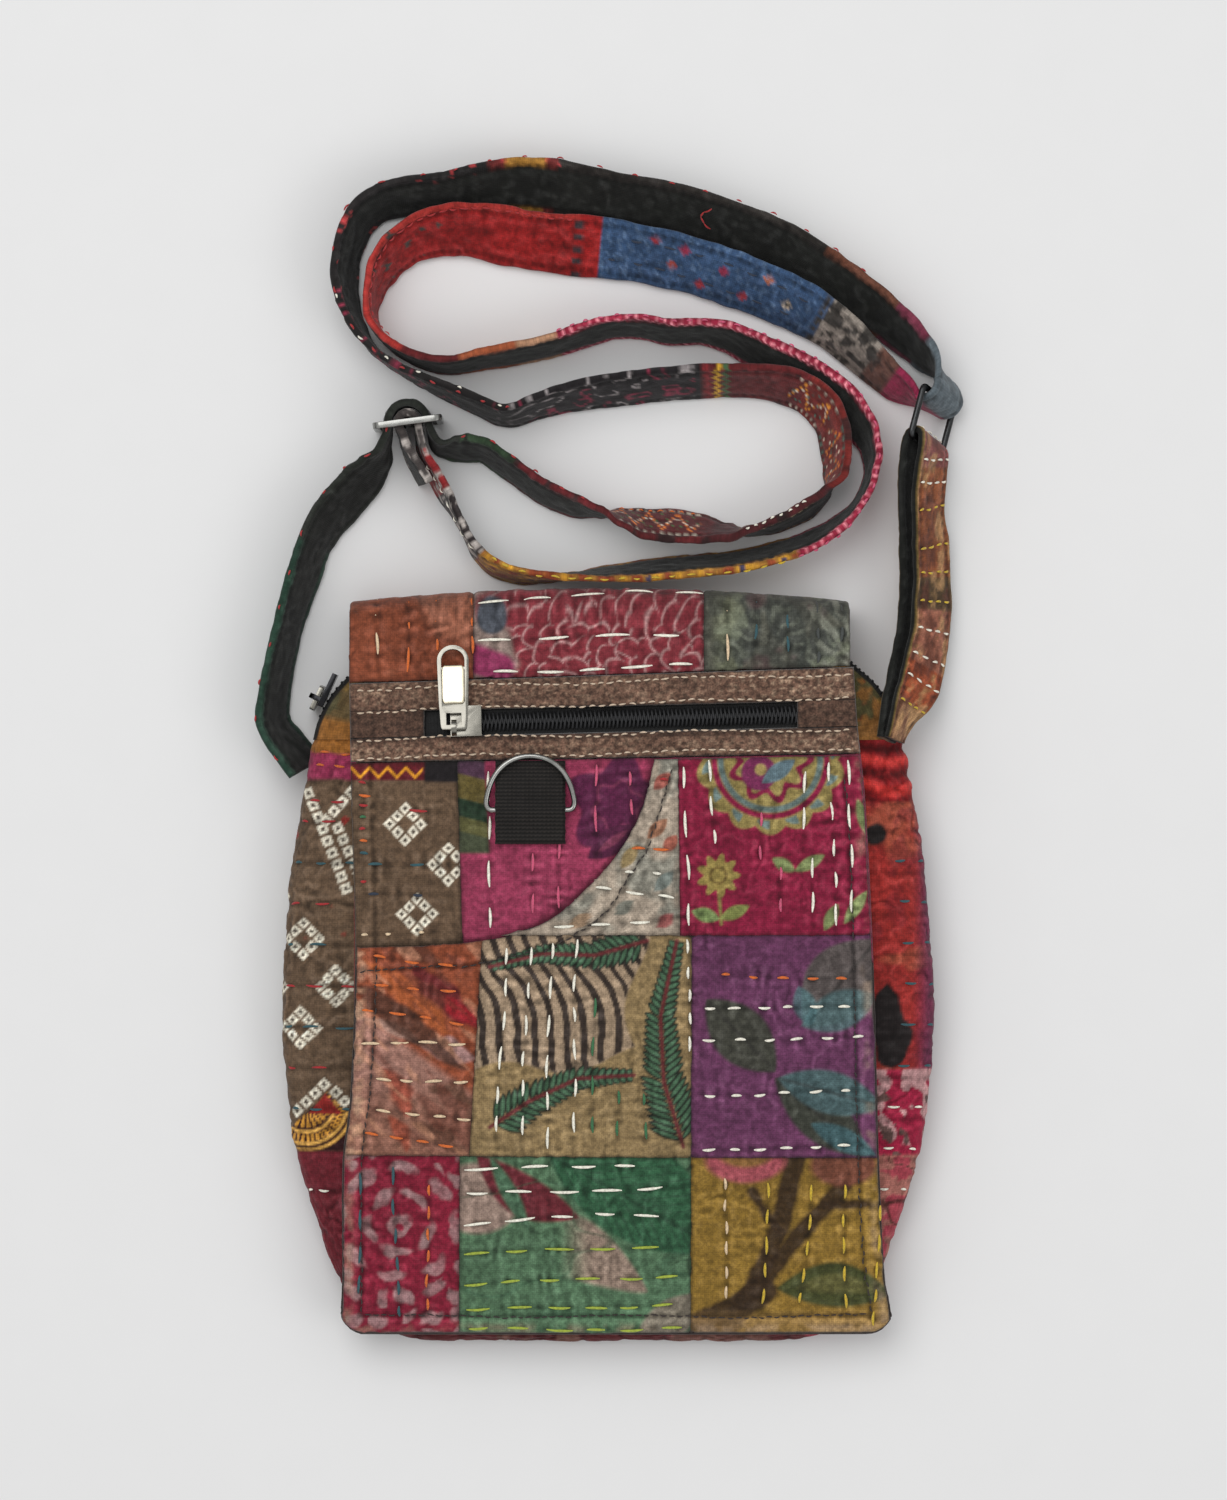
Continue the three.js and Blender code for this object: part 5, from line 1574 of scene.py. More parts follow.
@dataclass
class Flap:
    """Flap with its top strip, zip band, panel and slash pocket."""

    slot_x: float = 0.9
    slot_y: float = 76.5
    slot_long: float = 114.0
    slot_wide: float = 8.0
    slot_turn: float = 0.024
    hem: float = 6.2
    top_left: float = -79.3
    top_right: float = 74.2
    panel_split: float = 2.0
    upper_row: float = 10.5
    lower_row: float = -57.0
    column: float = 25.4

    def pocket_mouth_x(self, y: Array) -> Array:
        """Pocket mouth as a place across for each height."""
        return curve_at([(q, p) for p, q in POCKET_MOUTH[1:]], y)

    def pocket_mouth_y(self, x: Array) -> Array:
        """Pocket mouth as a height for each place across."""
        return np.minimum(curve_at(POCKET_MOUTH, x), self.upper_row)

    def mouth_line(self) -> list[tuple[float, float]]:
        """Points along the pocket's mouth.

        Returns:
            The points.
        """
        across, up = np.linspace(-80, -8, 16), np.linspace(26, 64, 9)
        low = zip(across, curve_at(POCKET_MOUTH, across))
        return [*low, *zip(self.pocket_mouth_x(up), up)]

    def end(self, x: Array) -> Array:
        """Bottom edge with rounded corners.

        Args:
            x: Places across.

        Returns:
            Heights of the edge in plan.
        """
        r = FLAP_CORNER
        near = np.clip(np.minimum(x - FLAP_LEFT[0][1], FLAP_RIGHT[0][1] - x), 0, None)
        return FLAP_END + np.where(near < r, r - np.sqrt(np.maximum(r * r - (r - near) ** 2, 0)), 0)

    def from_edge(self, x: Array, y: Array) -> Array:
        """Distance from the flap's hemmed edges."""
        return np.minimum(np.minimum(x - flap_left(y), flap_right(y) - x), y - FLAP_END)

    def hem_pull(self, x: Array, y: Array) -> Array:
        """Groove of the hem's topstitch."""
        d = self.from_edge(x, y) - self.hem
        return -0.38 * np.exp(-((d / 0.8) ** 2)) + 0.3 * inside(d, 1.2)

    def mouth_pull(self, x: Array, y: Array) -> Array:
        """Groove of the stitching along the pocket's mouth.

        Args:
            x, y: Places in plan.

        Returns:
            Heights.
        """
        d = np.full(np.shape(x), 9.0)
        near = (x < 26) & (y > -10)
        if near.any():
            line = [(-80, -0.6), *MOUTH_STITCH, (20.4, 61.7)]
            d[near] = np.abs(stroke(x[near], y[near], line, 0))
        return -0.45 * np.exp(-((d / 0.8) ** 2))

    def relief(self, layer: Layer, x: Array, y: Array) -> Array:
        """Height of folds and stitch pulls over the smooth cloth.

        Args:
            layer: Layer of the flap.
            x, y: Places in plan.

        Returns:
            Heights.
        """
        if layer is Layer.POCKET:
            return pucker(POCKET_ROWS, x, y) + creases(x, y) + self.hem_pull(x, y) + self.mouth_pull(x, y)
        if layer is Layer.PANEL:
            return pucker(PANEL_ROWS, x, y) + creases(x, y, 0.3) + self.hem_pull(x, y)
        if layer is Layer.TOP:
            return pucker(TOP_ROWS, x, y) + creases(x, y, 0.4)
        return creases(x, y, 0.16)

    def surface(self, layer: Layer, x: Array, y: Array) -> Array:
        """Points on the show side of a layer.

        Args:
            layer: Layer of the flap.
            x, y: Places in plan.

        Returns:
            The points.
        """
        out = LAYERS[layer][1]
        if layer is Layer.TOP:
            return self.top_surface(x, y, out)
        z = flap_height(x, y) + out + self.relief(layer, x, y)
        return np.stack([x, y, z], -1)

    def top_surface(self, x: Array, y: Array, out: float) -> Array:
        """Show side of the top strip; y goes on round the fold as a length.

        Args:
            x, y: Places in plan.
            out: Height over the middle of the cloth.

        Returns:
            The points.
        """
        wide = self.top_right - self.top_left
        reach = FOLD_REACH - FOLD_BOW * ((2 * (x - self.top_left) / wide - 1) ** 2)
        top = flap_height(x, np.float64(FOLD_START))
        middle, half = (top + FLAP / 2) / 2, (top - FLAP / 2) / 2
        a = np.clip((y - FOLD_START) / FOLD_LONG, 0, 1) * np.pi
        z_flat = flap_height(x, np.minimum(y, FOLD_START))
        back = np.clip(y - FOLD_START - FOLD_LONG, 0, None)
        yy = np.minimum(y, FOLD_START) + reach * np.sin(a) - back
        zz = np.where(y <= FOLD_START, z_flat, middle + half * np.cos(a))
        n = np.stack([np.zeros_like(x), np.sin(a) * half, np.cos(a) * reach], -1)
        offset = (out + self.relief(Layer.TOP, x, y) * (1 - smooth(y, 118, 121)))[..., None]
        return np.stack([x, yy, zz], -1) + unit(n) * offset

    def lay_patch(self, heap: MeshHeap, patch: Patch, layer: Layer, thick: float = FLAP) -> None:
        """Adds one patch of a layer to a piece.

        Args:
            heap: The piece.
            patch: The patch.
            layer: Its layer.
            thick: Thickness of the cloth.
        """
        x, y, drop = patch.grid()
        top = self.surface(layer, x, y)
        n = grid_normals(top)
        base = LAYERS[layer][0]
        if layer is Layer.TOP:
            under = self.top_surface(x, y, base)
        else:
            under = np.stack([x, y, flap_height(x, y) + base], -1)
            n = n * np.sign(n[..., 2:3] + 1e-9)
        top = top - n * np.minimum(drop, thick * 0.8)[..., None]
        # Painted shade, with some dirt, darkens the cloth where its edge drops into a seam or hem.
        rgb = patch.cloth.paint(x, y) * (1 - 0.5 * np.clip(drop / SEAM_DEEP, 0, 1))[..., None]
        # Painted shade in the creases' valleys, painted highlight and rubbed wear on their ridges.
        rgb = crease_shade_and_wear(rgb, self.relief(layer, x, y))
        if layer is Layer.POCKET:
            edge = np.exp(-(((self.from_edge(x, y) - 2.2) / 1.6) ** 2))
            rubbed = edge * smooth(STAIN.layers(x, y + 12, 5, 3), -0.3, 0.4)
            rgb = over(rgb, 0.3 * rubbed, srgb((204, 176, 150)))
        if layer is Layer.PANEL:
            # Painted shadow of the pocket's raised lip, darkening the panel along the mouth line.
            rgb = rgb * (1 - 0.6 * np.exp(-((stroke(x, y, self.mouth_line(), 0) / 1.5) ** 2)))[..., None]
        heap.sheet(top, under, rgb, np.stack([x, y], -1))

    def slot_edge(self, side: int) -> Line:
        """Long edge of the zip slot."""
        rise, off = math.tan(self.slot_turn), side * self.slot_wide / 2
        return lambda x: self.slot_y + (np.asarray(x, float) - self.slot_x) * rise + off

    def build(self) -> None:
        """Makes the cloth of the flap."""
        cotton = ClothFinish("patch_cotton", Weave.COTTON).material()
        self.build_top(cotton)
        self.build_panel(cotton)
        self.build_pocket(cotton)
        self.build_band()
        self.stitch()

    def build_top(self, cotton: bpy.types.Material) -> None:
        """Top strip of three patches, round the fold to the back.

        Args:
            cotton: The printed cloth.
        """
        heap = MeshHeap()
        hem, seam = Side.HEM, Side.SEAM
        low, high = (lambda x: band_top(x) + GAP), level(FOLD_START + FOLD_LONG + FOLD_BACK)
        first, second = slant(-41.2, 90, -41.4, 120), level(29.4)
        for cloth, a, b, sides in [
            (Cloth.RUST, level(self.top_left), first, (hem, seam, seam, hem)),
            (Cloth.SCALES, first, second, (seam, seam, seam, hem)),
            (Cloth.GREY_LEAF, second, level(self.top_right), (seam, hem, seam, hem)),
        ]:
            self.lay_patch(heap, Patch(cloth, a, b, low, high, sides), Layer.TOP)
        made = settle(heap.piece("flap_top_cloth", cotton), "cloth_top", "flap_top")

    def build_panel(self, cotton: bpy.types.Material) -> None:
        """Panel under the pocket; its upper patches show over the pocket's mouth.

        Args:
            cotton: The printed cloth.
        """
        heap = MeshHeap()
        hem, seam, plain = Side.HEM, Side.SEAM, Side.PLAIN
        low, high = level(self.panel_split), (lambda x: band_bottom(x) - GAP)
        split = slant(-44.4, 8, -46, 62)
        for patch in [
            Patch(Cloth.SQUARES, flap_left, split, low, high, (hem, seam, seam, seam)),
            Patch(Cloth.MAGENTA, split, flap_right, low, high, (seam, hem, seam, seam)),
            Patch(Cloth.LINING, flap_left, flap_right, self.end, low, (hem, hem, hem, plain), pitch=1.6),
        ]:
            self.lay_patch(heap, patch, Layer.PANEL)
        made = settle(heap.piece("flap_panel_cloth", cotton), "cloth_flap", "flap_panel")

    def build_pocket(self, cotton: bpy.types.Material) -> None:
        """Pocket front of eight patches in three rows.

        Args:
            cotton: The printed cloth.
        """
        hem, seam = Side.HEM, Side.SEAM
        left, right = (lambda y: flap_left(y) + 0.6), (lambda y: flap_right(y) - 0.6)
        top = lambda x: band_bottom(x) - 0.8
        row_a, row_b = level(self.upper_row), slant(self.lower_row, -80, -57.8, 80)
        end = lambda x: self.end(x) + 0.8
        slit = self.pocket_mouth_y
        col_a, col_b = slant(22, self.upper_row, 21.4, 64), level(self.column)
        seam_b = slant(-38.4, 8, -42.4, self.lower_row)
        seam_c = slant(-45.2, self.lower_row, -45.8, FLAP_END)
        levels = [
            ("upper", 0.098, 0.054, 0.0042, [
                Patch(Cloth.CREAM, self.pocket_mouth_x, col_a, row_a, top, (hem, seam, seam, seam)),
                Patch(Cloth.PAISLEY, col_a, right, row_a, top, (seam, hem, seam, seam)),
            ]),
            ("middle", 0.161, 0.068, 0.0108, [
                Patch(Cloth.RUST_STREAK, left, seam_b, row_b, slit, (hem, seam, seam, hem)),
                Patch(Cloth.FERN, seam_b, col_b, row_b, slit, (seam, seam, seam, seam)),
                Patch(Cloth.PURPLE, col_b, right, row_b, row_a, (seam, hem, seam, seam)),
            ]),
            ("lower", 0.168, 0.056, 0.0093, [
                Patch(Cloth.SWIRL, left, seam_c, end, row_b, (hem, seam, hem, seam)),
                Patch(Cloth.GREEN, seam_c, col_b, end, row_b, (seam, seam, hem, seam)),
                Patch(Cloth.MUSTARD, col_b, right, end, row_b, (seam, hem, hem, seam)),
            ]),
        ]
        for name, wide, long, area, patches in levels:
            heap = MeshHeap()
            for patch in patches:
                self.lay_patch(heap, patch, Layer.POCKET, POCKET)
            made = settle(heap.piece("flap_pocket_" + name, cotton), "cloth_pocket", "flap_pocket")

    def build_band(self) -> None:
        """Napped band round the zip slot."""
        heap = MeshHeap()
        hem, plain = Side.HEM, Side.PLAIN
        a, b = self.slot_x - self.slot_long / 2, self.slot_x + self.slot_long / 2
        low, high = self.slot_edge(-1), self.slot_edge(1)
        for left, right, bottom, top, sides in [
            (flap_left, flap_right, band_bottom, low, (hem, hem, hem, hem)),
            (flap_left, flap_right, high, band_top, (hem, hem, hem, hem)),
            (flap_left, level(a), low, high, (hem, hem, plain, plain)),
            (level(b), flap_right, low, high, (hem, hem, plain, plain)),
        ]:
            self.lay_patch(heap, Patch(Cloth.NAP, left, right, bottom, top, sides), Layer.BAND)
        made = heap.piece("zip_band_cloth", ClothFinish("napped_brown", Weave.NAPPED, 0.4).material())
        settle(made, "band_brown", "zip_band")

    def place(self, layer: Layer, at: Array, step: float = 0.8) -> tuple[Array, Array]:
        """Points on a layer and its upward directions at plan places.

        Args:
            layer: Layer of the flap.
            at: Places in plan.
            step: Reach of the slope's measure.

        Returns:
            Points and directions.
        """
        x, y = at[:, 0], at[:, 1]
        du = self.surface(layer, x + step, y) - self.surface(layer, x - step, y)
        dv = self.surface(layer, x, y + step) - self.surface(layer, x, y - step)
        return self.surface(layer, x, y), unit(np.cross(du, dv))

    def sew_rows(self, layer: Layer, sewn: Iterable[StitchRow], wide: float, lift: float) -> None:
        """Notes rows of stitches that lie on a layer.

        Args:
            layer: Layer of the flap.
            sewn: The rows.
            wide: Width of the thread.
            lift: Height over the cloth.
        """
        for row in sewn:
            a, b = row.marks()
            if not len(a):
                continue
            (p, n), (q, _) = self.place(layer, a), self.place(layer, b)
            BOOK.sew(row.thread, wide, p + n * lift, q + n * lift, n)

    def stitch(self) -> None:
        """Notes the hand stitches and the machine stitches of the flap."""
        for layer, sewn in [(Layer.POCKET, POCKET_ROWS), (Layer.PANEL, PANEL_ROWS), (Layer.TOP, TOP_ROWS)]:
            self.sew_rows(layer, sewn, HAND_WIDE, 0.04)
        band = rows([
            ("beige", -77, 85.3, 74.5, 90.3, 2.0, 0.9), ("beige", -77, 78.6, 75, 83.2, 2.0, 0.9),
            ("beige", -77, 70.2, 75, 73.4, 2.0, 0.9), ("beige", -77, 64.6, 76, 67.3, 2.0, 0.9),
        ])
        self.sew_rows(Layer.BAND, band, TOPSTITCH_WIDE, 0.02)
        lines = []
        for edge, sign, stop in [(flap_left, 1, 4), (flap_right, -1, 62)]:
            y = np.arange(-106, 62, 5.0)
            side = list(zip(edge(y) + sign * self.hem, y))
            lines += [(p, q) for p, q in zip(side, side[1:]) if p[1] < stop]
        lines.append(((-75, FLAP_END + self.hem), (80, FLAP_END + self.hem)))
        mouth = [(-76, -0.4), *MOUTH_STITCH, (20.0, 61)]
        lines += zip(mouth, mouth[1:])
        dark = [StitchRow(Thread.DARK, p, q, 2.0, 0.5) for p, q in lines]
        self.sew_rows(Layer.POCKET, dark, HEM_WIDE, -0.02)


# Zip


@dataclass
class Zip:
    """Zip in the slot of the band."""

    flap: Flap
    pitch: float = 1.24
    start: float = -50.0
    end: float = 57.0
    tape_long: float = 122.0
    tape_wide: float = 17.0
    tape_ridge: float = 1.4
    tooth_wide: float = 0.86

    def place(self, along: Array, across: Array, lift: float) -> Array:
        """Points of the zip by place along and across it.

        Args:
            along: Places along it.
            across: Places across it.
            lift: Height over the tape.

        Returns:
            The points.
        """
        c, s = math.cos(self.flap.slot_turn), math.sin(self.flap.slot_turn)
        x, y = self.flap.slot_x + along * c - across * s, self.flap.slot_y + along * s + across * c
        return np.stack([x, y, flap_height(x, y) + lift], -1)

    def build(self) -> None:
        """Makes the tape and the teeth."""
        heap = MeshHeap()
        long, wide = self.tape_long, self.tape_wide
        u, v = np.meshgrid(edge_lines(long, 0.8) * long - long / 2, edge_lines(wide, 0.6) * wide - wide / 2)
        ridge = 0.1 * np.sin(v * 2 * np.pi / self.tape_ridge)
        top = self.place(u, v, 0.0) + np.stack([0 * u, 0 * u, -1.4 + ridge], -1)
        rgb = ground(u, v, (30, 30, 30), 0.15)
        heap.sheet(top, self.place(u, v, -2.0), rgb, np.stack([u, v], -1), (28, 28, 28))
        tape = ClothFinish("zip_tape_black", Weave.RIBBED, 0.1).material()
        made = settle(heap.piece("zip_tape_cloth", tape), "webbing_black", "zip_tape")
        s = np.arange(self.start, self.end, self.pitch)
        sets = []
        for side in (1, -1):
            at = s + (self.pitch / 2 if side > 0 else 0)
            at = at[at < self.end]
            a = self.place(at - 0.25, np.full(len(at), side * 2.75), -0.55)
            b = self.place(at + 0.25, np.full(len(at), side * -0.75), 0.05)
            sets.append((a, b, np.tile([0, 0, 1.0], (len(at), 1))))
        teeth = thread_piece("zip_teeth", CoilFinish().material(), self.tooth_wide, sets, 1.5)
        settle(teeth, "coil_black", "zip_coil")


# Body


class Outline:
    """Stretch of the panel outline with rounded corners, by share of its length."""

    def __init__(self, corners: Sequence[tuple[float, float, float]]) -> None:
        """Samples straight runs and quadratic corners.

        Args:
            corners: Places with the radius of each corner.
        """
        points = [np.array(corners[0][:2], float)]
        for i in range(1, len(corners)):
            p, r = np.array(corners[i][:2], float), corners[i][2]
            before = p + unit(np.array(corners[i - 1][:2], float) - p) * r
            points.append(before)
            if r:
                after = p + unit(np.array(corners[i + 1][:2], float) - p) * r
                for t in np.linspace(0, 1, 33)[1:]:
                    points.append((1 - t) ** 2 * before + 2 * t * (1 - t) * p + t * t * after)
        self.points = np.array(points)
        self.steps = np.concatenate([[0], np.cumsum(np.linalg.norm(np.diff(self.points, axis=0), axis=1))])
        self.long = self.steps[-1]

    def at(self, s: Array) -> tuple[Array, Array, Array, Array]:
        """Place and direction at shares of the length.

        Args:
            s: Shares of the length.

        Returns:
            Both coordinates of the place and of the direction.
        """
        k = np.clip(s, 0, 1) * self.long
        x, y = (np.interp(k, self.steps, self.points[:, c]) for c in (0, 1))
        a, b = np.clip(k - 0.6, 0, self.long), np.clip(k + 0.6, 0, self.long)
        ahead, behind = (
            [np.interp(at, self.steps, self.points[:, c]) for c in (0, 1)] for at in (b, a)
        )
        dx, dy = ahead[0] - behind[0], ahead[1] - behind[1]
        long = np.maximum(np.hypot(dx, dy), 1e-9)
        return x, y, dx / long, dy / long


MOUTH_LINE = Outline([
    (HALF, SHOULDER, 0), (HALF, 78, 7), (61, TOP, 11), (-61, TOP, 11), (-HALF, 78, 7), (-HALF, SHOULDER, 0),
])
SIDE_LINE = Outline([(-HALF, SHOULDER, 0), (-HALF, BOTTOM, 26), (HALF, BOTTOM, 26), (HALF, SHOULDER, 0)])


WALL_MIDDLE, MOUTH_MIDDLE = np.array([0, -10, 12.0]), np.array([0, 60, 12.0])


def outward(n: Array, points: Array, middle: Array) -> Array:
    """Directions turned away from a place inside the body."""
    return n * np.sign(np.sum(n * (points - middle), -1, keepdims=True))


def from_edges(u: Array, v: Array, wide: float, long: float) -> Array:
    """Distance from the edges of a sheet, by shares of its width and length."""
    return np.minimum(np.minimum(u, 1 - u) * wide, np.minimum(v, 1 - v) * long)


def wall_point(line: Outline, s: Array, t: Array) -> Array:
    """Point of the bulging wall, by share along an outline and from the back seam to the front seam.

    Args:
        line: The outline.
        s: Shares along it.
        t: Shares from the back seam to the front seam.

    Returns:
        The points.
    """
    x, y, dx, dy = line.at(s)
    low, high = PANEL + GAP + WALL / 2, rim(y) - GAP - WALL / 2
    o = -SEAM_INSET + (SEAM_INSET + curve_at(BULGE, y)) * np.sin(np.pi * t)
    return np.stack([x + dy * o, y - dx * o, low + (high - low) * t], -1)


@dataclass
class Body:
    """Back, front, side wall and open mouth."""

    wall_girth: float = 50.0
    wall_steep: float = 0.62
    quilt: float = 12.6
    satin_from: float = 51.0
    satin_wave: float = 0.62
    mouth_girth: float = 14.0
    tooth_pitch: float = 1.6
    tooth_wide: float = 0.9
    front_wide: float = 150.0
    back_wide: float = 154.0
    panel_long: float = 210.0
    back_from: float = -105.0
    back_row: float = 9.5
    back_patch: tuple[float, float] = (51.4, 52.6)

    def wall_cloth(self, a: Array, g: Array) -> Array:
        """Colours of the side wall by length along it and girth from the back seam.

        Args:
            a: Lengths along the wall.
            g: Girths from the back seam.

        Returns:
            The colours.
        """
        rgb = ground(a, g, (98, 78, 60), 0.18)
        y = SHOULDER - a
        for place, colour in [(12.5, (146, 48, 80)), (4.0, (150, 96, 40))]:
            rgb = inked(rgb, inside(a - place + 1.5 * WOBBLE.layers(g, a, 8, 2), 0.5), colour)
        for start, end in [((53.5, 33), (21, 46)), ((54, 46), (45, 38)), ((43, 42), (27, 49.5))]:
            rgb = tie_chain(rgb, y, g, start, end)
        fleck = smooth(STAIN.layers(a * 0.8, g, 4, 2), 0.42, 0.55) * inside(a - 60, 2) * inside(14 - a, 1)
        rgb = inked(rgb, 0.8 * fleck, (140, 36, 34))
        for cy, cg in [(9, 31.3), (-5.4, 41.4), (-18.3, 30.4), (-6, 20), (22, 20), (-34, 18)]:
            rgb = tie_squares(rgb, y, g, (cy, cg))
        red = inside(126 - a, 0.4)
        rgb = inked(rgb, red, (108, 32, 42))
        rgb = inked(rgb, red * 0.7 * smooth(STAIN.layers(a, g, 12, 3), 0.3, 0.5), (128, 62, 70))
        rgb = self.fan(rgb, a, g)
        low = inside(168 - a, 0.4)
        under = ground(a, g, (96, 44, 46), 0.2)
        under = inked(under, 0.8 * smooth(STAIN.layers(a, g, 9, 3), 0.1, 0.3), (120, 84, 74))
        return self.right_wall(over(rgb, low, under), a, g)

    def fan(self, rgb: Array, a: Array, g: Array) -> Array:
        """Fan of golden rings under a chevron of tied squares, low on the left side.

        Args:
            rgb: Colours printed on.
            a, g: Places along the wall and over its girth.

        Returns:
            The printed colours.
        """
        below = a - 105.4 - 0.98 * np.abs(g - 38.5)
        zone = inside(2.8 - below, 0.3) * inside(a - 126, 0.4)
        rgb = inked(rgb, zone, (50, 20, 22))
        r, turn = np.hypot(a - 111.1, g - 31.9), np.arctan2(g - 31.9, a - 111.1)
        for near, far, count in [(3.6, 7.9, 13), (10.0, 12.2, 24)]:
            spokes = smooth(np.abs(np.sin(count * turn)), 0.45, 0.75)
            rgb = inked(rgb, zone * spokes * inside(near - r) * inside(r - far), (206, 146, 56))
        for ring in (9.2, 12.9, 14.8):
            rgb = inked(rgb, zone * inside(np.abs(r - ring) - 0.42), (232, 176, 86))
        peak = inside(np.abs(g - 37.9) - 0.81 * (a - 108.4)) * inside(a - 114.7)
        rgb = inked(rgb, peak, (146, 40, 36))
        for start, end in [((35.6, 37.6), (44.2, 29.0)), ((38.0, 41.2), (42.6, 45.6))]:
            rgb = tie_chain(rgb, a - SHOULDER, g, start, end)
        return rgb

    def right_wall(self, rgb: Array, a: Array, g: Array) -> Array:
        """Cloths of the right side, from the bottom up to the shoulder.

        Args:
            rgb: Colours so far.
            a: Lengths along the wall.
            g: Girths from the back seam.

        Returns:
            The colours.
        """
        y = a - SIDE_LINE.long + SHOULDER
        right = inside(SIDE_LINE.long / 2 + 60 - a, 0.4)
        cloth = ground(a, g, (150, 42, 38), 0.2)
        cloth = inked(cloth, 0.6 * smooth(STAIN.layers(a, g * 0.7, 13, 3), 0.1, 0.35), (166, 88, 62))
        cloth = inked(cloth, 0.55 * smooth(STAIN.layers(g, a + 77, 9, 3), 0.15, 0.35), (112, 28, 36))
        cloth = inked(cloth, 0.8 * smooth(30 - g, -2, 4), (88, 40, 72))
        blot = leaf(y, g, (-4, 39), (-29, 40), 10) + WOBBLE.layers(a, g, 4, 2)
        cloth = inked(cloth, inside(blot, 0.5), (30, 24, 24))
        for cy, cg, size in [(41, 43, 3.4), (-20, 36.5, 5.2), (-26, 38, 4.4)]:
            blob = np.hypot(y - cy, g - cg) + 1.4 * WOBBLE.layers(a, g, 5, 2)
            cloth = inked(cloth, inside(blob - size, 0.5), (30, 24, 24))
        pink = inside(y + 31, 0.4)
        cloth = inked(cloth, pink, (152, 26, 58))
        swirls = smooth(STAIN.layers(a * 0.8 + g, g * 1.3 - a, 6.5, 2), 0.06, 0.16)
        cloth = inked(cloth, pink * swirls, (182, 138, 138))
        cloth = inked(cloth, pink * smooth(STAIN.layers(a + 40, g * 1.5, 5, 2), 0.34, 0.44), (90, 66, 62))
        rose = inside(y + 57.5, 0.4)
        cloth = inked(cloth, rose, (164, 104, 94))
        cloth = inked(cloth, rose * smooth(STAIN.layers(g, a, 7, 3), 0.12, 0.22), (166, 66, 78))
        cloth = inked(cloth, rose * inside(np.abs(STAIN.layers(a + 20, g, 9, 2)) - 0.05, 0.04), (74, 40, 34))
        satin = inside(self.satin_from - y, 0.4)
        # Painted highlights on the satin's fold crests and painted shade in its troughs, both following
        # satin_folds.
        painted_fold_light = 0.5 + 0.5 * self.satin_folds(a, g)
        cloth = inked(cloth, satin, (132, 20, 24))
        cloth = inked(cloth, satin * 0.75 * smooth(painted_fold_light, 0.45, 0.98), (190, 46, 40))
        cloth = inked(cloth, satin * 0.5 * smooth(-painted_fold_light, -0.35, -0.02), (84, 12, 16))
        return over(rgb, right, cloth)

    def satin_folds(self, a: Array, g: Array) -> Array:
        """Waves of the satin strip at the right shoulder, from -1 to 1; they shape its folds and place their
        painted highlights and shade.
        """
        return np.sin(a * self.satin_wave + 2.6 * CREASE.layers(a, g, 16, 2))

    def wall_relief(self, a: Array, g: Array) -> Array:
        """Folds and quilting ripples of the side wall.

        Args:
            a: Lengths along the wall.
            g: Girths from the back seam.

        Returns:
            Heights.
        """
        rows_off = (a / self.quilt - np.round(a / self.quilt)) * self.quilt
        quilt = -0.3 * np.exp(-((rows_off / 1.2) ** 2))
        y = a - SIDE_LINE.long + SHOULDER
        satin = smooth(y, self.satin_from - 3, self.satin_from + 2) * 0.45 * self.satin_folds(a, g)
        return quilt + creases(a, g, 0.55) + satin

    def wall(self, cotton: bpy.types.Material) -> None:
        """Side wall as one bulging strip.

        Args:
            cotton: The printed cloth.
        """
        heap = MeshHeap()
        us, vs = edge_lines(self.wall_girth, 0.55), edge_lines(SIDE_LINE.long, 0.62)
        t, s = np.meshgrid(us, vs)
        mid = wall_point(SIDE_LINE, s, t)
        n = outward(grid_normals(mid), mid, WALL_MIDDLE)
        a, g = s * SIDE_LINE.long, t * self.wall_girth
        near = np.minimum(t, 1 - t) * self.wall_girth
        drop = 0.7 * np.clip(1 - near / 1.2, 0, 1) ** 2
        top = mid + n * (WALL / 2 + self.wall_relief(a, g) - drop)[..., None]
        # Painted shade, with some dirt, darkens the wall near its seams.
        seam = 1 - 0.45 * np.clip(1 - near / 1.5, 0, 1)
        rgb = self.wall_cloth(a, self.wall_lay(mid, s, t)) * seam[..., None]
        # Painted shade in the creases' valleys, painted highlight and rubbed wear on their ridges.
        rgb = crease_shade_and_wear(rgb, self.wall_relief(a, g), 3)
        heap.sheet(top, mid - n * WALL / 2, rgb, np.stack([a, g], -1))
        made = settle(heap.piece("side_wall_cloth", cotton), "cloth_side", "gusset")
        self.stitch_wall()

    def wall_lay(self, mid: Array, s: Array, t: Array) -> Array:
        """Girth at which the side wall's print lies.

        Args:
            mid: Points of the wall.
            s, t: Shares along the wall and from its back seam to its front seam.

        Returns:
            The place as seen from above, and below the steep stretch the length along the cloth.
        """
        reach = SEAM_INSET + curve_at(BULGE, SIDE_LINE.at(s)[1])
        lay = self.wall_girth - reach * np.sin(np.pi * t)
        steep = int(np.searchsorted(t[0], self.wall_steep))
        steps = np.linalg.norm(np.diff(mid[:, : steep + 1], axis=1), axis=2)
        lay[:, :steep] = lay[:, steep, None] - np.cumsum(steps[:, ::-1], 1)[:, ::-1]
        return lay

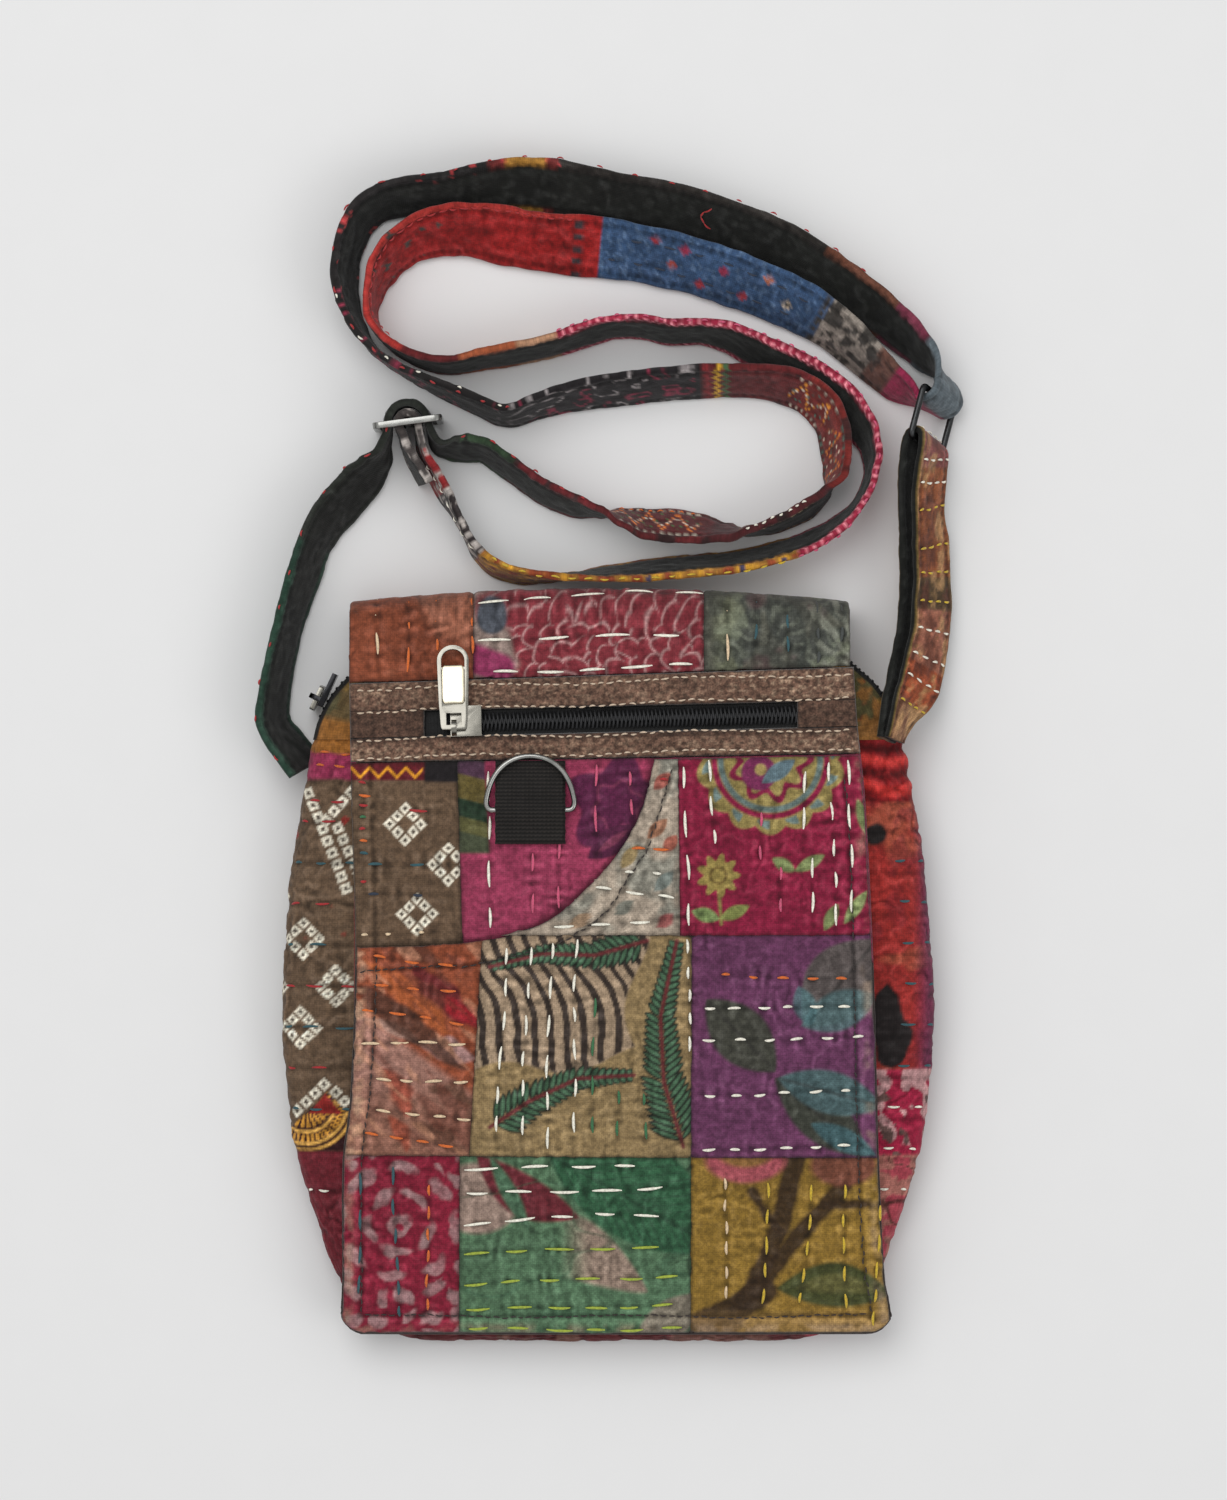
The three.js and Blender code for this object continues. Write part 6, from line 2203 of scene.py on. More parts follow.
    def stitch_wall(self) -> None:
        """Notes the rows of running stitches across the side wall."""
        plan = [(Thread.ORANGE, 3.5, 34, 46), (Thread.ORANGE, 8, 33, 47), (Thread.RED, 18.9, 33, 48)]
        for i in range(2, 10):
            plan.append((Thread.TEAL if i % 2 else Thread.RED, self.quilt * i, 29, 48))
        plan += [(Thread.WHITE, 138.6, 28, 47), (Thread.WHITE, 176.4, 30, 47)]
        plan += [(Thread.TEAL, SIDE_LINE.long - self.quilt * i, 27, 40) for i in range(3, 9)]
        plan += [(Thread.WHITE, SIDE_LINE.long - self.quilt * i, 30, 47) for i in range(9, 12)]
        for thread, a, low, high in plan:
            row = StitchRow(thread, (a, low), (a + 0.5, high), 3.6, 4.6)
            (p, n), (q, _) = (self.on_wall(e) for e in row.marks())
            BOOK.sew(thread, BODY_WIDE, p + n * 0.04, q + n * 0.04, n)

    def on_wall(self, at: Array) -> tuple[Array, Array]:
        """Points and outward directions on the side wall.

        Args:
            at: Lengths along the wall and girths.

        Returns:
            Points and directions.
        """
        s, t = at[:, 0] / SIDE_LINE.long, at[:, 1] / self.wall_girth
        mid = wall_point(SIDE_LINE, s, t)
        ds = wall_point(SIDE_LINE, s + 0.002, t) - wall_point(SIDE_LINE, s - 0.002, t)
        dt = wall_point(SIDE_LINE, s, t + 0.01) - wall_point(SIDE_LINE, s, t - 0.01)
        n = outward(unit(np.cross(ds, dt)), mid, WALL_MIDDLE)
        return mid + n * (WALL / 2 + self.wall_relief(at[:, 0], at[:, 1]))[:, None], n

    def opening(self, s: Array) -> Array:
        """Half of the mouth's gap as a share of its wall, by share along the mouth."""
        return 0.03 + MOUTH_OPEN * np.sin(np.pi * s) ** 0.7

    def tape(self, front: bool, cotton: bpy.types.Material, coil: bpy.types.Material) -> None:
        """Half of the mouth's wall: shoulder cloth, then zip tape up to the opening.

        Args:
            front: Whether it is the front half.
            cotton: The printed cloth.
            coil: The material of the teeth.
        """
        heap = MeshHeap()
        t, s = np.meshgrid(edge_lines(self.mouth_girth, 0.7), edge_lines(MOUTH_LINE.long, 0.8))
        gap = self.opening(s)
        k = 0.5 + gap + (0.5 - gap) * t if front else (0.5 - gap) * t
        mid = wall_point(MOUTH_LINE, s, k)
        n = outward(grid_normals(mid), mid, MOUTH_MIDDLE)
        a, g = s * MOUTH_LINE.long, k * 30
        edge = t if front else 1 - t
        top = mid + n * (WALL / 2 + creases(a, g, 0.3))[..., None]
        rgb = ground(a, g, (132, 90, 44), 0.22)
        rgb = inked(rgb, smooth(STAIN.layers(a, g, 5, 3), 0.1, 0.26), (196, 142, 58))
        rgb = inked(rgb, smooth(STAIN.layers(g, a + 30, 4, 3), 0.2, 0.34), (128, 50, 30))
        rgb = inked(rgb, smooth(STAIN.layers(g + 9, a + 60, 5, 3), 0.25, 0.4), (84, 78, 48))
        left = inside(MOUTH_LINE.long - 40 - a, 1)
        rgb = inked(rgb, 0.75 * left, (84, 78, 54))
        rgb = inked(rgb, left * smooth(a, MOUTH_LINE.long - 6, MOUTH_LINE.long - 4) * 0.8, (150, 96, 40))
        # Painted shade in the creases' valleys, painted highlight and rubbed wear on their ridges.
        rgb = crease_shade_and_wear(rgb, creases(a, g, 0.6), 3)
        rgb = inked(rgb, inside(edge * self.mouth_girth - 2.6, 0.3), (28, 27, 26))
        heap.sheet(top, mid - n * WALL / 2, rgb, np.stack([a, g], -1))
        side = "front" if front else "back"
        made = settle(heap.piece("mouth_cloth_" + side, cotton), "cloth_mouth", "mouth_tape_" + side)
        at = np.arange(4, MOUTH_LINE.long - 4, self.tooth_pitch) / MOUTH_LINE.long
        way = 1 if front else -1
        lip, step = 0.5 + way * self.opening(at), way * 0.035
        p, q = wall_point(MOUTH_LINE, at, lip + 2.2 * step), wall_point(MOUTH_LINE, at, lip + 0.3 * step)
        _, _, dx, dy = MOUTH_LINE.at(at)
        n = np.stack([dy, -dx, 0 * dx], -1)
        teeth = thread_piece("mouth_teeth_" + side, coil, self.tooth_wide, [(p + n, q + n, n)], 0.7)
        settle(teeth, "coil_black")

    def panels(self, cotton: bpy.types.Material) -> None:
        """Front panel under the flap, and the back panel with its own patches.

        Args:
            cotton: The printed cloth.
        """
        heap = MeshHeap()
        u, v = np.meshgrid(edge_lines(self.front_wide, 2.4), edge_lines(self.panel_long, 2.4))
        y = BOTTOM + (TOP - BOTTOM) * v
        x = (2 * u - 1) * curve_at(FRONT, y)
        z = rim(y) + PANEL / 2 + crown(x, y)
        edge = from_edges(u, v, self.front_wide, self.panel_long)
        drop = 0.9 * np.clip(1 - edge / 1.2, 0, 1) ** 2
        top = np.stack([x, y, z + PANEL / 2 - drop + np.minimum(creases(x, y, 0.3), 0.4)], -1)
        rgb = ground(x, y, (118, 60, 50), 0.2)
        rgb = inked(rgb, inside(y + 40, 0.4), (98, 40, 52))
        rgb = inked(rgb, inside(30 - y, 0.4) * inside(x, 0.4), (120, 92, 60))
        heap.sheet(top, np.stack([x, y, z - PANEL / 2], -1), rgb, np.stack([x, y], -1))
        made = settle(heap.piece("front_panel_cloth", cotton), "cloth_back", "front_panel")
        self.back(cotton)

    def half_width(self, y: Array) -> Array:
        """Half width of the back panel.

        Args:
            y: Heights in plan.

        Returns:
            Half widths.
        """
        points = np.concatenate([SIDE_LINE.points, MOUTH_LINE.points])
        points = points[points[:, 0] > 1]
        order = np.argsort(points[:, 1], kind="stable")
        return np.interp(y, points[order, 1], points[order, 0])

    def back(self, cotton: bpy.types.Material) -> None:
        """Back panel: patches on its underside, quilted by rows of stitches.

        Args:
            cotton: The printed cloth.
        """
        heap = MeshHeap()
        first, last = [0, 0.15, 0.5, 1.0, 1.8, 2.8], [207.5, 208.6, 209.3, 209.7, 210]
        places = np.concatenate([first, np.linspace(4, 206, 199), last]) / self.panel_long
        cells = 4 * math.ceil((len(places) - 1) / 4)
        vs = np.interp(np.linspace(0, 1, cells + 1), np.linspace(0, 1, len(places)), places)
        u, v = np.meshgrid(edge_lines(self.back_wide, 1.0), vs)
        y = BOTTOM + (TOP - BOTTOM) * v
        x = (2 * u - 1) * np.maximum(self.half_width(y), 1)
        lines = np.zeros(x.shape)
        for at in np.arange(self.back_from, 100, self.back_row):
            lines = lines + np.exp(-(((y - at - 0.8 * np.sin(x / 15)) / 1.1) ** 2))
        deep = 0.3 * lines + 0.1 + 0.1 * creases(x, y, 1.0)
        edge = from_edges(u, v, self.back_wide, self.panel_long)
        deep = np.clip(deep, 0, 0.6) * smooth(edge, 0, 3) + 0.5 * np.clip(1 - edge / 1.0, 0, 1) ** 2
        rgb = self.back_cloth(x, y)
        under = np.stack([x, y, deep], -1)
        heap.sheet(under, np.stack([x, y, np.full(x.shape, PANEL)], -1), rgb, np.stack([x, y], -1))
        made = settle(heap.piece("back_panel_cloth", cotton), "cloth_back", "back_panel")
        self.stitch_back()

    def back_cloth(self, x: Array, y: Array) -> Array:
        """Colours of the back panel's patches.

        Args:
            x, y: Places in plan.

        Returns:
            The colours.
        """
        wide, tall = self.back_patch
        col, row = np.floor((x + HALF) / wide).astype(int), np.floor((y - BOTTOM) / tall).astype(int)
        tones = [
            (112, 34, 50), (96, 82, 62), (88, 52, 82), (84, 108, 84), (132, 74, 52), (140, 110, 54),
            (60, 70, 78), (134, 50, 76), (120, 96, 72),
        ]
        rgb = ground(x, y, (110, 60, 52), 0.18)
        for i, tone in enumerate(tones, len(tones)):
            chosen = ((col * 5 + row * 4) % len(tones) == i % len(tones)).astype(float)
            motif = smooth(STAIN.layers(x + 31 * i, y + 13 * i, 8, 3), 0.12, 0.2)
            pale = tuple(min(255, c + 44) for c in tone)
            rgb = inked(inked(rgb, chosen, tone), 0.35 * chosen * motif, pale)
        return rgb

    def stitch_back(self) -> None:
        """Notes the rows of running stitches across the back panel."""
        threads = [Thread.WHITE, Thread.ORANGE, Thread.CREAM, Thread.TEAL]
        for i, at in enumerate(np.arange(self.back_from, 95, self.back_row)):
            wide = float(self.half_width(np.float64(at))) - 6
            row = StitchRow(threads[i % 4], (-wide, at), (wide, at), 5, 4.5)
            a, b = row.marks()
            lift = np.full(len(a), 0.58)
            down = np.tile([0, 0, -1.0], (len(a), 1))
            BOOK.sew(row.thread, BODY_WIDE, np.column_stack([a, lift]), np.column_stack([b, lift]), down)

    def build(self) -> None:
        """Makes the cloth of the body."""
        cotton = ClothFinish("body_cotton", Weave.COTTON, 0.7).material()
        coil = CoilFinish("mouth_teeth_black").material()
        self.wall(cotton)
        self.panels(cotton)
        for front in (True, False):
            self.tape(front, cotton, coil)


# Strap

STRAP_WIDE, STRAP_THICK, WIRE = 19.5, 2.4, 1.0
TAIL = [
    (-92.8, 61.5, 125, 2), (-97.7, 67.5, 122, 1), (-103.2, 75.6, 118, 0), (-102.9, 84.0, 114, 0),
    (-101.4, 93.3, 112, 0), (-99.2, 102.6, 112, 0), (-96.7, 111.9, 114, 0), (-94.2, 119.7, 116, 0),
    (-91.1, 129.0, 118, 0), (-86.8, 137.3, 122, 0), (-81.5, 143.8, 126, 0), (-76.3, 149.7, 126, 0.3),
    (-71.9, 155.4, 114, 0.9), (-69.0, 160.9, 95, 1.8),
]
OUTER = [
    (-53.0, 162.1, 96, 1.8), (-49.0, 160.6, 108, 0.8), (-44.0, 160.0, 113, 0), (-38.4, 159.3, 108, 0),
    (-33.5, 155.9, 107, 0), (-27.3, 151.6, 107, 0), (-19.5, 146.3, 108, 0), (-10.2, 142.3, 106, 0),
    (-2.5, 140.4, 95, 0), (4.3, 138.6, 75, 0), (11.5, 136.7, 62, 0), (19.8, 136.1, 60, 0),
    (28.5, 135.2, 64, 0), (36.3, 134.2, 75, 0), (44.0, 134.5, 92, 0), (53.3, 137.0, 99, 0),
    (61.4, 141.1, 102, 0), (67.0, 146.0, 96, 0), (70.1, 152.5, 72, 0), (70.4, 160.0, 66, 0),
    (69.4, 166.2, 63, 0), (66.6, 172.1, 58, 0), (62.0, 176.4, 58, 0), (55.8, 179.2, 60, 0),
    (47.1, 180.7, 64, 0), (36.3, 181.0, 65, 0), (25.4, 180.4, 64, 0), (14.6, 179.5, 65, 0),
    (3.7, 178.2, 65, 0), (-5.6, 177.0, 66, 0), (-14.9, 175.1, 70, 0), (-22.6, 172.7, 73, 0),
    (-29.1, 170.2, 74, 0), (-33.5, 170.2, 76, 0), (-39.1, 172.7, 78, 0), (-47.4, 176.4, 80, 0),
    (-56.7, 180.7, 84, 0), (-65.1, 185.1, 88, 0), (-72.2, 190.6, 92, 0), (-77.5, 198.4, 100, 0),
    (-80.6, 207.1, 106, 0), (-81.2, 215.8, 110, 0), (-79.1, 225.1, 113, 0), (-75.0, 232.2, 117, 0),
    (-69.1, 236.2, 120, 0), (-61.4, 237.8, 122, 0), (-52.1, 238.4, 126, 0), (-41.2, 240.2, 133, 0),
    (-30.4, 241.5, 142, 0), (-19.5, 241.2, 147, 0), (-8.7, 239.6, 142, 0), (3.7, 237.1, 137, 0),
    (16.1, 235.0, 137, 0), (28.5, 231.9, 136, 0), (42.5, 227.2, 138, 0), (56.4, 220.7, 138, 0),
    (68.8, 212.7, 138, 0), (79.7, 204.9, 135, 0), (89.0, 197.5, 126, 0), (96.7, 190.0, 114, 0.4),
]
INNER = [
    (88.3, 180.1, 66, 0), (80.6, 187.2, 58, 0), (71.9, 195.6, 50, 0), (62.6, 202.1, 42, 0),
    (51.8, 207.4, 36, 0), (39.4, 212.3, 33, 0), (27.0, 216.4, 33, 0), (13.0, 219.8, 28, 0),
    (-0.9, 222.3, 17, 0), (-14.9, 223.5, 18, 0), (-27.3, 225.1, 25, 0), (-38.1, 227.2, 34, 0),
    (-47.4, 227.8, 40, 0), (-56.7, 226.0, 48, 0), (-63.9, 222.0, 55, 0), (-69.1, 216.1, 64, 0),
    (-72.2, 208.9, 75, 0), (-73.2, 201.8, 84, 0), (-70.4, 195.6, 90, 0), (-64.8, 190.6, 93, 0),
    (-57.7, 187.2, 96, 0), (-49.0, 185.7, 99, 0), (-38.1, 187.6, 103, 0), (-27.3, 189.4, 105, 0),
    (-16.4, 191.9, 106, 0), (-7.1, 195.0, 107, 0), (1.2, 197.2, 106, 0), (9.9, 197.5, 106, 0),
    (19.2, 195.9, 108, 0), (28.5, 195.9, 108, 0), (36.3, 194.7, 112, 0), (45.6, 190.3, 118, 0),
    (56.4, 184.8, 122, 0), (65.7, 179.2, 124, 0), (73.5, 173.0, 122, 0), (78.4, 166.2, 115, 0),
    (81.2, 159.3, 104, 0), (80.9, 150.7, 97, 0), (77.2, 142.9, 97, 0), (70.7, 136.4, 103, 0),
    (61.1, 131.1, 107, 0), (50.2, 127.4, 108, 0), (37.8, 124.9, 109, 0), (25.4, 123.7, 109, 0),
    (13.0, 122.4, 108, 0), (0.6, 121.5, 103, 0), (-10.2, 120.6, 94, 0), (-19.5, 120.3, 86, 0),
    (-27.9, 120.9, 80, 0), (-34.7, 123.1, 78, 0), (-40.0, 127.7, 82, 0), (-43.7, 133.6, 88, 0),
    (-47.1, 139.8, 86, 0), (-50.5, 146.0, 80, 0), (-53.9, 152.2, 80, 0.3), (-57.0, 158.4, 84, 1.2),
]
END = [(-63.0, 163.2, 92, 2.2), (-61.4, 158.8, 96, 1.5), (-59.0, 154.2, 99, 0.7), (-56.2, 149.2, 100, 0.2)]
TAB = [
    (90.05, 68.5, 20.6), (91.6, 76, 18.95), (93.4, 84, 15.6), (95.8, 95, 11.8), (97.6, 107, 10.6),
    (97.6, 126, 10.6), (96.6, 143, 12.8),
]
BAR = unit(np.array([0.445, -0.286, -0.848]))
REACH = unit(np.array([0.2555, 0.949, -0.1857]))
FACE = np.cross(BAR, REACH)
RING_AT, RING_HALF, RING_REACH, RING_LOOP = np.array([99.8, 168, 13.4]), 11.25, 8.0, 4.5
BUCKLE_TALL, BUCKLE_BAR, BUCKLE_TURN = 24.5, 2.0, 0.13
BUCKLE_LONG = np.array([math.cos(BUCKLE_TURN), math.sin(BUCKLE_TURN), 0])
BUCKLE_THROUGH = np.array([-math.sin(BUCKLE_TURN), math.cos(BUCKLE_TURN), 0])
BUCKLE_AT = np.array([-61.5, 167.6, 0.2 + BUCKLE_TALL / 2])
END_TURN = BUCKLE_BAR / 2 * math.sqrt(2) + 0.4 + STRAP_THICK / 2
TAIL_TURN = END_TURN + STRAP_THICK + 0.75


def laid(route: Sequence[tuple[float, float, float, float]]) -> list[tuple[Array, Array]]:
    """Places of a flat band on the floor and its direction from the upper to the lower edge.

    Args:
        route: Rows of place in plan, roll and lift.

    Returns:
        Places and directions across.
    """
    stops = np.array(route, float)
    ahead = np.concatenate([stops[1:], stops[-1:]])[:, :2] - np.concatenate([stops[:1], stops[:-1]])[:, :2]
    found = []
    for (x, y, roll, lift), (dx, dy) in zip(stops, unit(ahead)):
        a = math.radians(roll)
        z = STRAP_WIDE / 2 * math.sin(a) + STRAP_THICK / 2 * abs(math.cos(a)) + 0.2 + lift
        across = np.array([-dy * math.cos(a), dx * math.cos(a), -math.sin(a)])
        found.append((np.array([x, y, z]), across))
    return found


def half_turn(
    middle: Array, start: Array, apex: Array, radius: float, across: Array, n: int
) -> list[tuple[Array, Array]]:
    """Half turn of the band about a bar.

    Args:
        middle: Middle of the bar.
        start, apex: Directions to the first place and to the one halfway.
        radius: Distance of the band's middle from the bar's.
        across: Direction across the band.
        n: Steps of the turn.

    Returns:
        Places of the band and its direction across.
    """
    turn = np.linspace(0, math.pi, n + 1)
    return [(middle + start * radius * math.cos(a) + apex * radius * math.sin(a), across) for a in turn]


class Face(Enum):
    """Side of a band, with its sign along the band's own direction."""

    SHOW = 1
    EDGE = 0
    LINING = -1


class Band:
    """Flat band along rows of places: its middle line with three directions at each length."""

    def __init__(self, stops: Sequence[tuple[Array, Array]]) -> None:
        """Runs a smooth line through the rows.

        Args:
            stops: Places and directions across.
        """
        p, w = (np.array(column) for column in zip(*stops))
        ext = np.concatenate([[2 * p[0] - p[1]], p, [2 * p[-1] - p[-2]]])
        t = np.linspace(0, 1, 24, endpoint=False)[:, None]
        points, ways = [], []
        for i in range(len(p) - 1):
            a, b, c, d = ext[i : i + 4]
            k0, k1, k2 = (max(np.sum((q - o) ** 2) ** 0.25, 1e-4) for o, q in ((a, b), (b, c), (c, d)))
            m0 = ((b - a) / k0 - (c - a) / (k0 + k1) + (c - b) / k1) * k1
            m1 = ((c - b) / k1 - (d - b) / (k1 + k2) + (d - c) / k2) * k1
            points.append(b + m0 * t + (3 * (c - b) - 2 * m0 - m1) * t**2 + (2 * (b - c) + m0 + m1) * t**3)
            ways.append(w[i] + (w[i + 1] - w[i]) * smooth(t, 0, 1))
        at = np.concatenate(points + [p[-1:]])
        across = np.concatenate(ways + [w[-1:]])
        steps = np.concatenate([[0], np.cumsum(np.linalg.norm(np.diff(at, axis=0), axis=1))])
        self.long = float(steps[-1])
        self.s = np.linspace(0, self.long, 4 * int(self.long / 0.85 / 4) + 1)
        self.at = np.stack([np.interp(self.s, steps, at[:, c]) for c in range(3)], -1)
        self.along = unit(np.gradient(self.at, axis=0))
        across = np.stack([np.interp(self.s, steps, across[:, c]) for c in range(3)], -1)
        self.across = unit(across - np.sum(across * self.along, -1, keepdims=True) * self.along)
        self.face = np.cross(self.along, self.across)
        self.share = np.ones(len(self.s))

    def taper(self, length: float, share: float) -> None:
        """Narrows the band towards both ends."""
        end = np.minimum(self.s, self.long - self.s)
        self.share = share + (1 - share) * smooth(end, 0, length)

    def narrowed(self, s: Array, a: Array) -> Array:
        """Places across after the taper, which leaves the upper edge where it is."""
        share = np.interp(s, self.s, self.share)
        return a * share - (1 - share) * STRAP_WIDE / 2

    def place(self, s: Array, a: Array, side: Face, lift: float) -> tuple[Array, Array]:
        """Points and outward directions on one side, or on the upper edge.

        Args:
            s: Lengths along the band.
            a: Places across it.
            side: The face, the lining or the edge.
            lift: Height over the cloth.

        Returns:
            Points and directions.
        """
        at, across, face = (
            np.stack([np.interp(s, self.s, v[:, c]) for c in range(3)], -1)
            for v in (self.at, self.across, self.face)
        )
        if side is Face.EDGE:
            n = -unit(across)
            return at + n * (STRAP_WIDE / 2 + lift) + unit(face) * a[:, None], n
        n = unit(face) * side.value
        a = self.narrowed(s, a)
        return at + unit(across) * a[:, None] + n * (STRAP_THICK / 2 + lift), n

    def body(self, heap: MeshHeap, cloth: Callable[[Array, Array, Array], Array], fold: float) -> None:
        """Adds the band as a closed padded strip.

        Args:
            heap: Piece to add to.
            cloth: Colours by length, place across and side.
            fold: Height of its creases.
        """
        half, t = STRAP_WIDE / 2, STRAP_THICK / 2
        flat = np.linspace(-half + t, half - t, 21)
        high = np.full(len(flat), t)
        turn = np.linspace(np.pi / 2, -np.pi / 2, 6)[1:-1]
        a = np.concatenate([flat, half - t + t * np.cos(turn), flat[::-1], -(half - t) - t * np.cos(turn)])
        h = np.concatenate([high, t * np.sin(turn), -high, -t * np.sin(turn)])
        n = len(a)
        s2, a2 = np.meshgrid(self.s, a, indexing="ij")
        h2 = np.broadcast_to(h, s2.shape)
        up = np.sign(h2)
        seam = np.exp(-(((np.abs(a2) - half + 2.4) / 0.9) ** 2))
        relief = fold * creases(s2, a2 + 40 * (up < 0), 1.0) - 0.3 * seam + 0.12 * seam * np.sin(s2 * 2.1)
        relief = relief * np.clip(np.abs(h2) / t, 0, 1)
        none = np.zeros(s2.shape)
        wave = 0.35 * WOBBLE.layers(s2, none, 9, 2) + 0.3 * WOBBLE.layers(s2, none + 9, 4, 1)
        swell = self.narrowed(s2, a2 * (1 + (wave * (np.abs(a2) / half) ** 3) / half))
        out = h2 + up * np.clip(relief, -0.5, 0.45)
        points = self.at[:, None] + self.across[:, None] * swell[..., None]
        points = points + self.face[:, None] * out[..., None]
        # Painted shade in the creases' valleys, painted highlight and rubbed wear on their ridges.
        rgb = crease_shade_and_wear(cloth(s2, a2, h2), relief, 3, 0.28)
        index = np.arange(points.shape[0] * n).reshape(-1, n)
        nxt = np.roll(index, -1, axis=1)
        quads = np.stack([index[:-1], nxt[:-1], nxt[1:], index[1:]], -1).reshape(-1, 4)
        caps = [index[0][::-1][None], index[-1][None]]
        lay = np.stack([s2, a2], -1)
        heap.add(points.reshape(-1, 3), rgb.reshape(-1, 3), lay.reshape(-1, 2), [quads, *caps])


def patched(
    rgb: Array, d: Array, s: Array, a: Array, table: Iterable[tuple], uneven: float, soft: float
) -> Array:
    """Patches sewn end to end along a band.

    Args:
        rgb: Colours before the first patch.
        d: Lengths from the end of the band at which the patches start.
        s, a: Places along and across the band.
        table: Rows of start and colour.
        uneven: Unevenness of the dye.
        soft: Softness of the seams.

    Returns:
        The colours with the patches.
    """
    for start, tone in table:
        rgb = over(rgb, inside(start - d, soft), ground(s, a + start, tone, uneven))
    return rgb


def zigzag(s: Array, a: Array, pitch: float, tall: float, wide: float) -> Array:
    """Mask of a zigzag line along a band."""
    wave = tall * (2 * np.abs(2 * (s / pitch - np.floor(s / pitch)) - 1) - 1)
    return inside(np.abs(a - wave) - wide, 0.25)


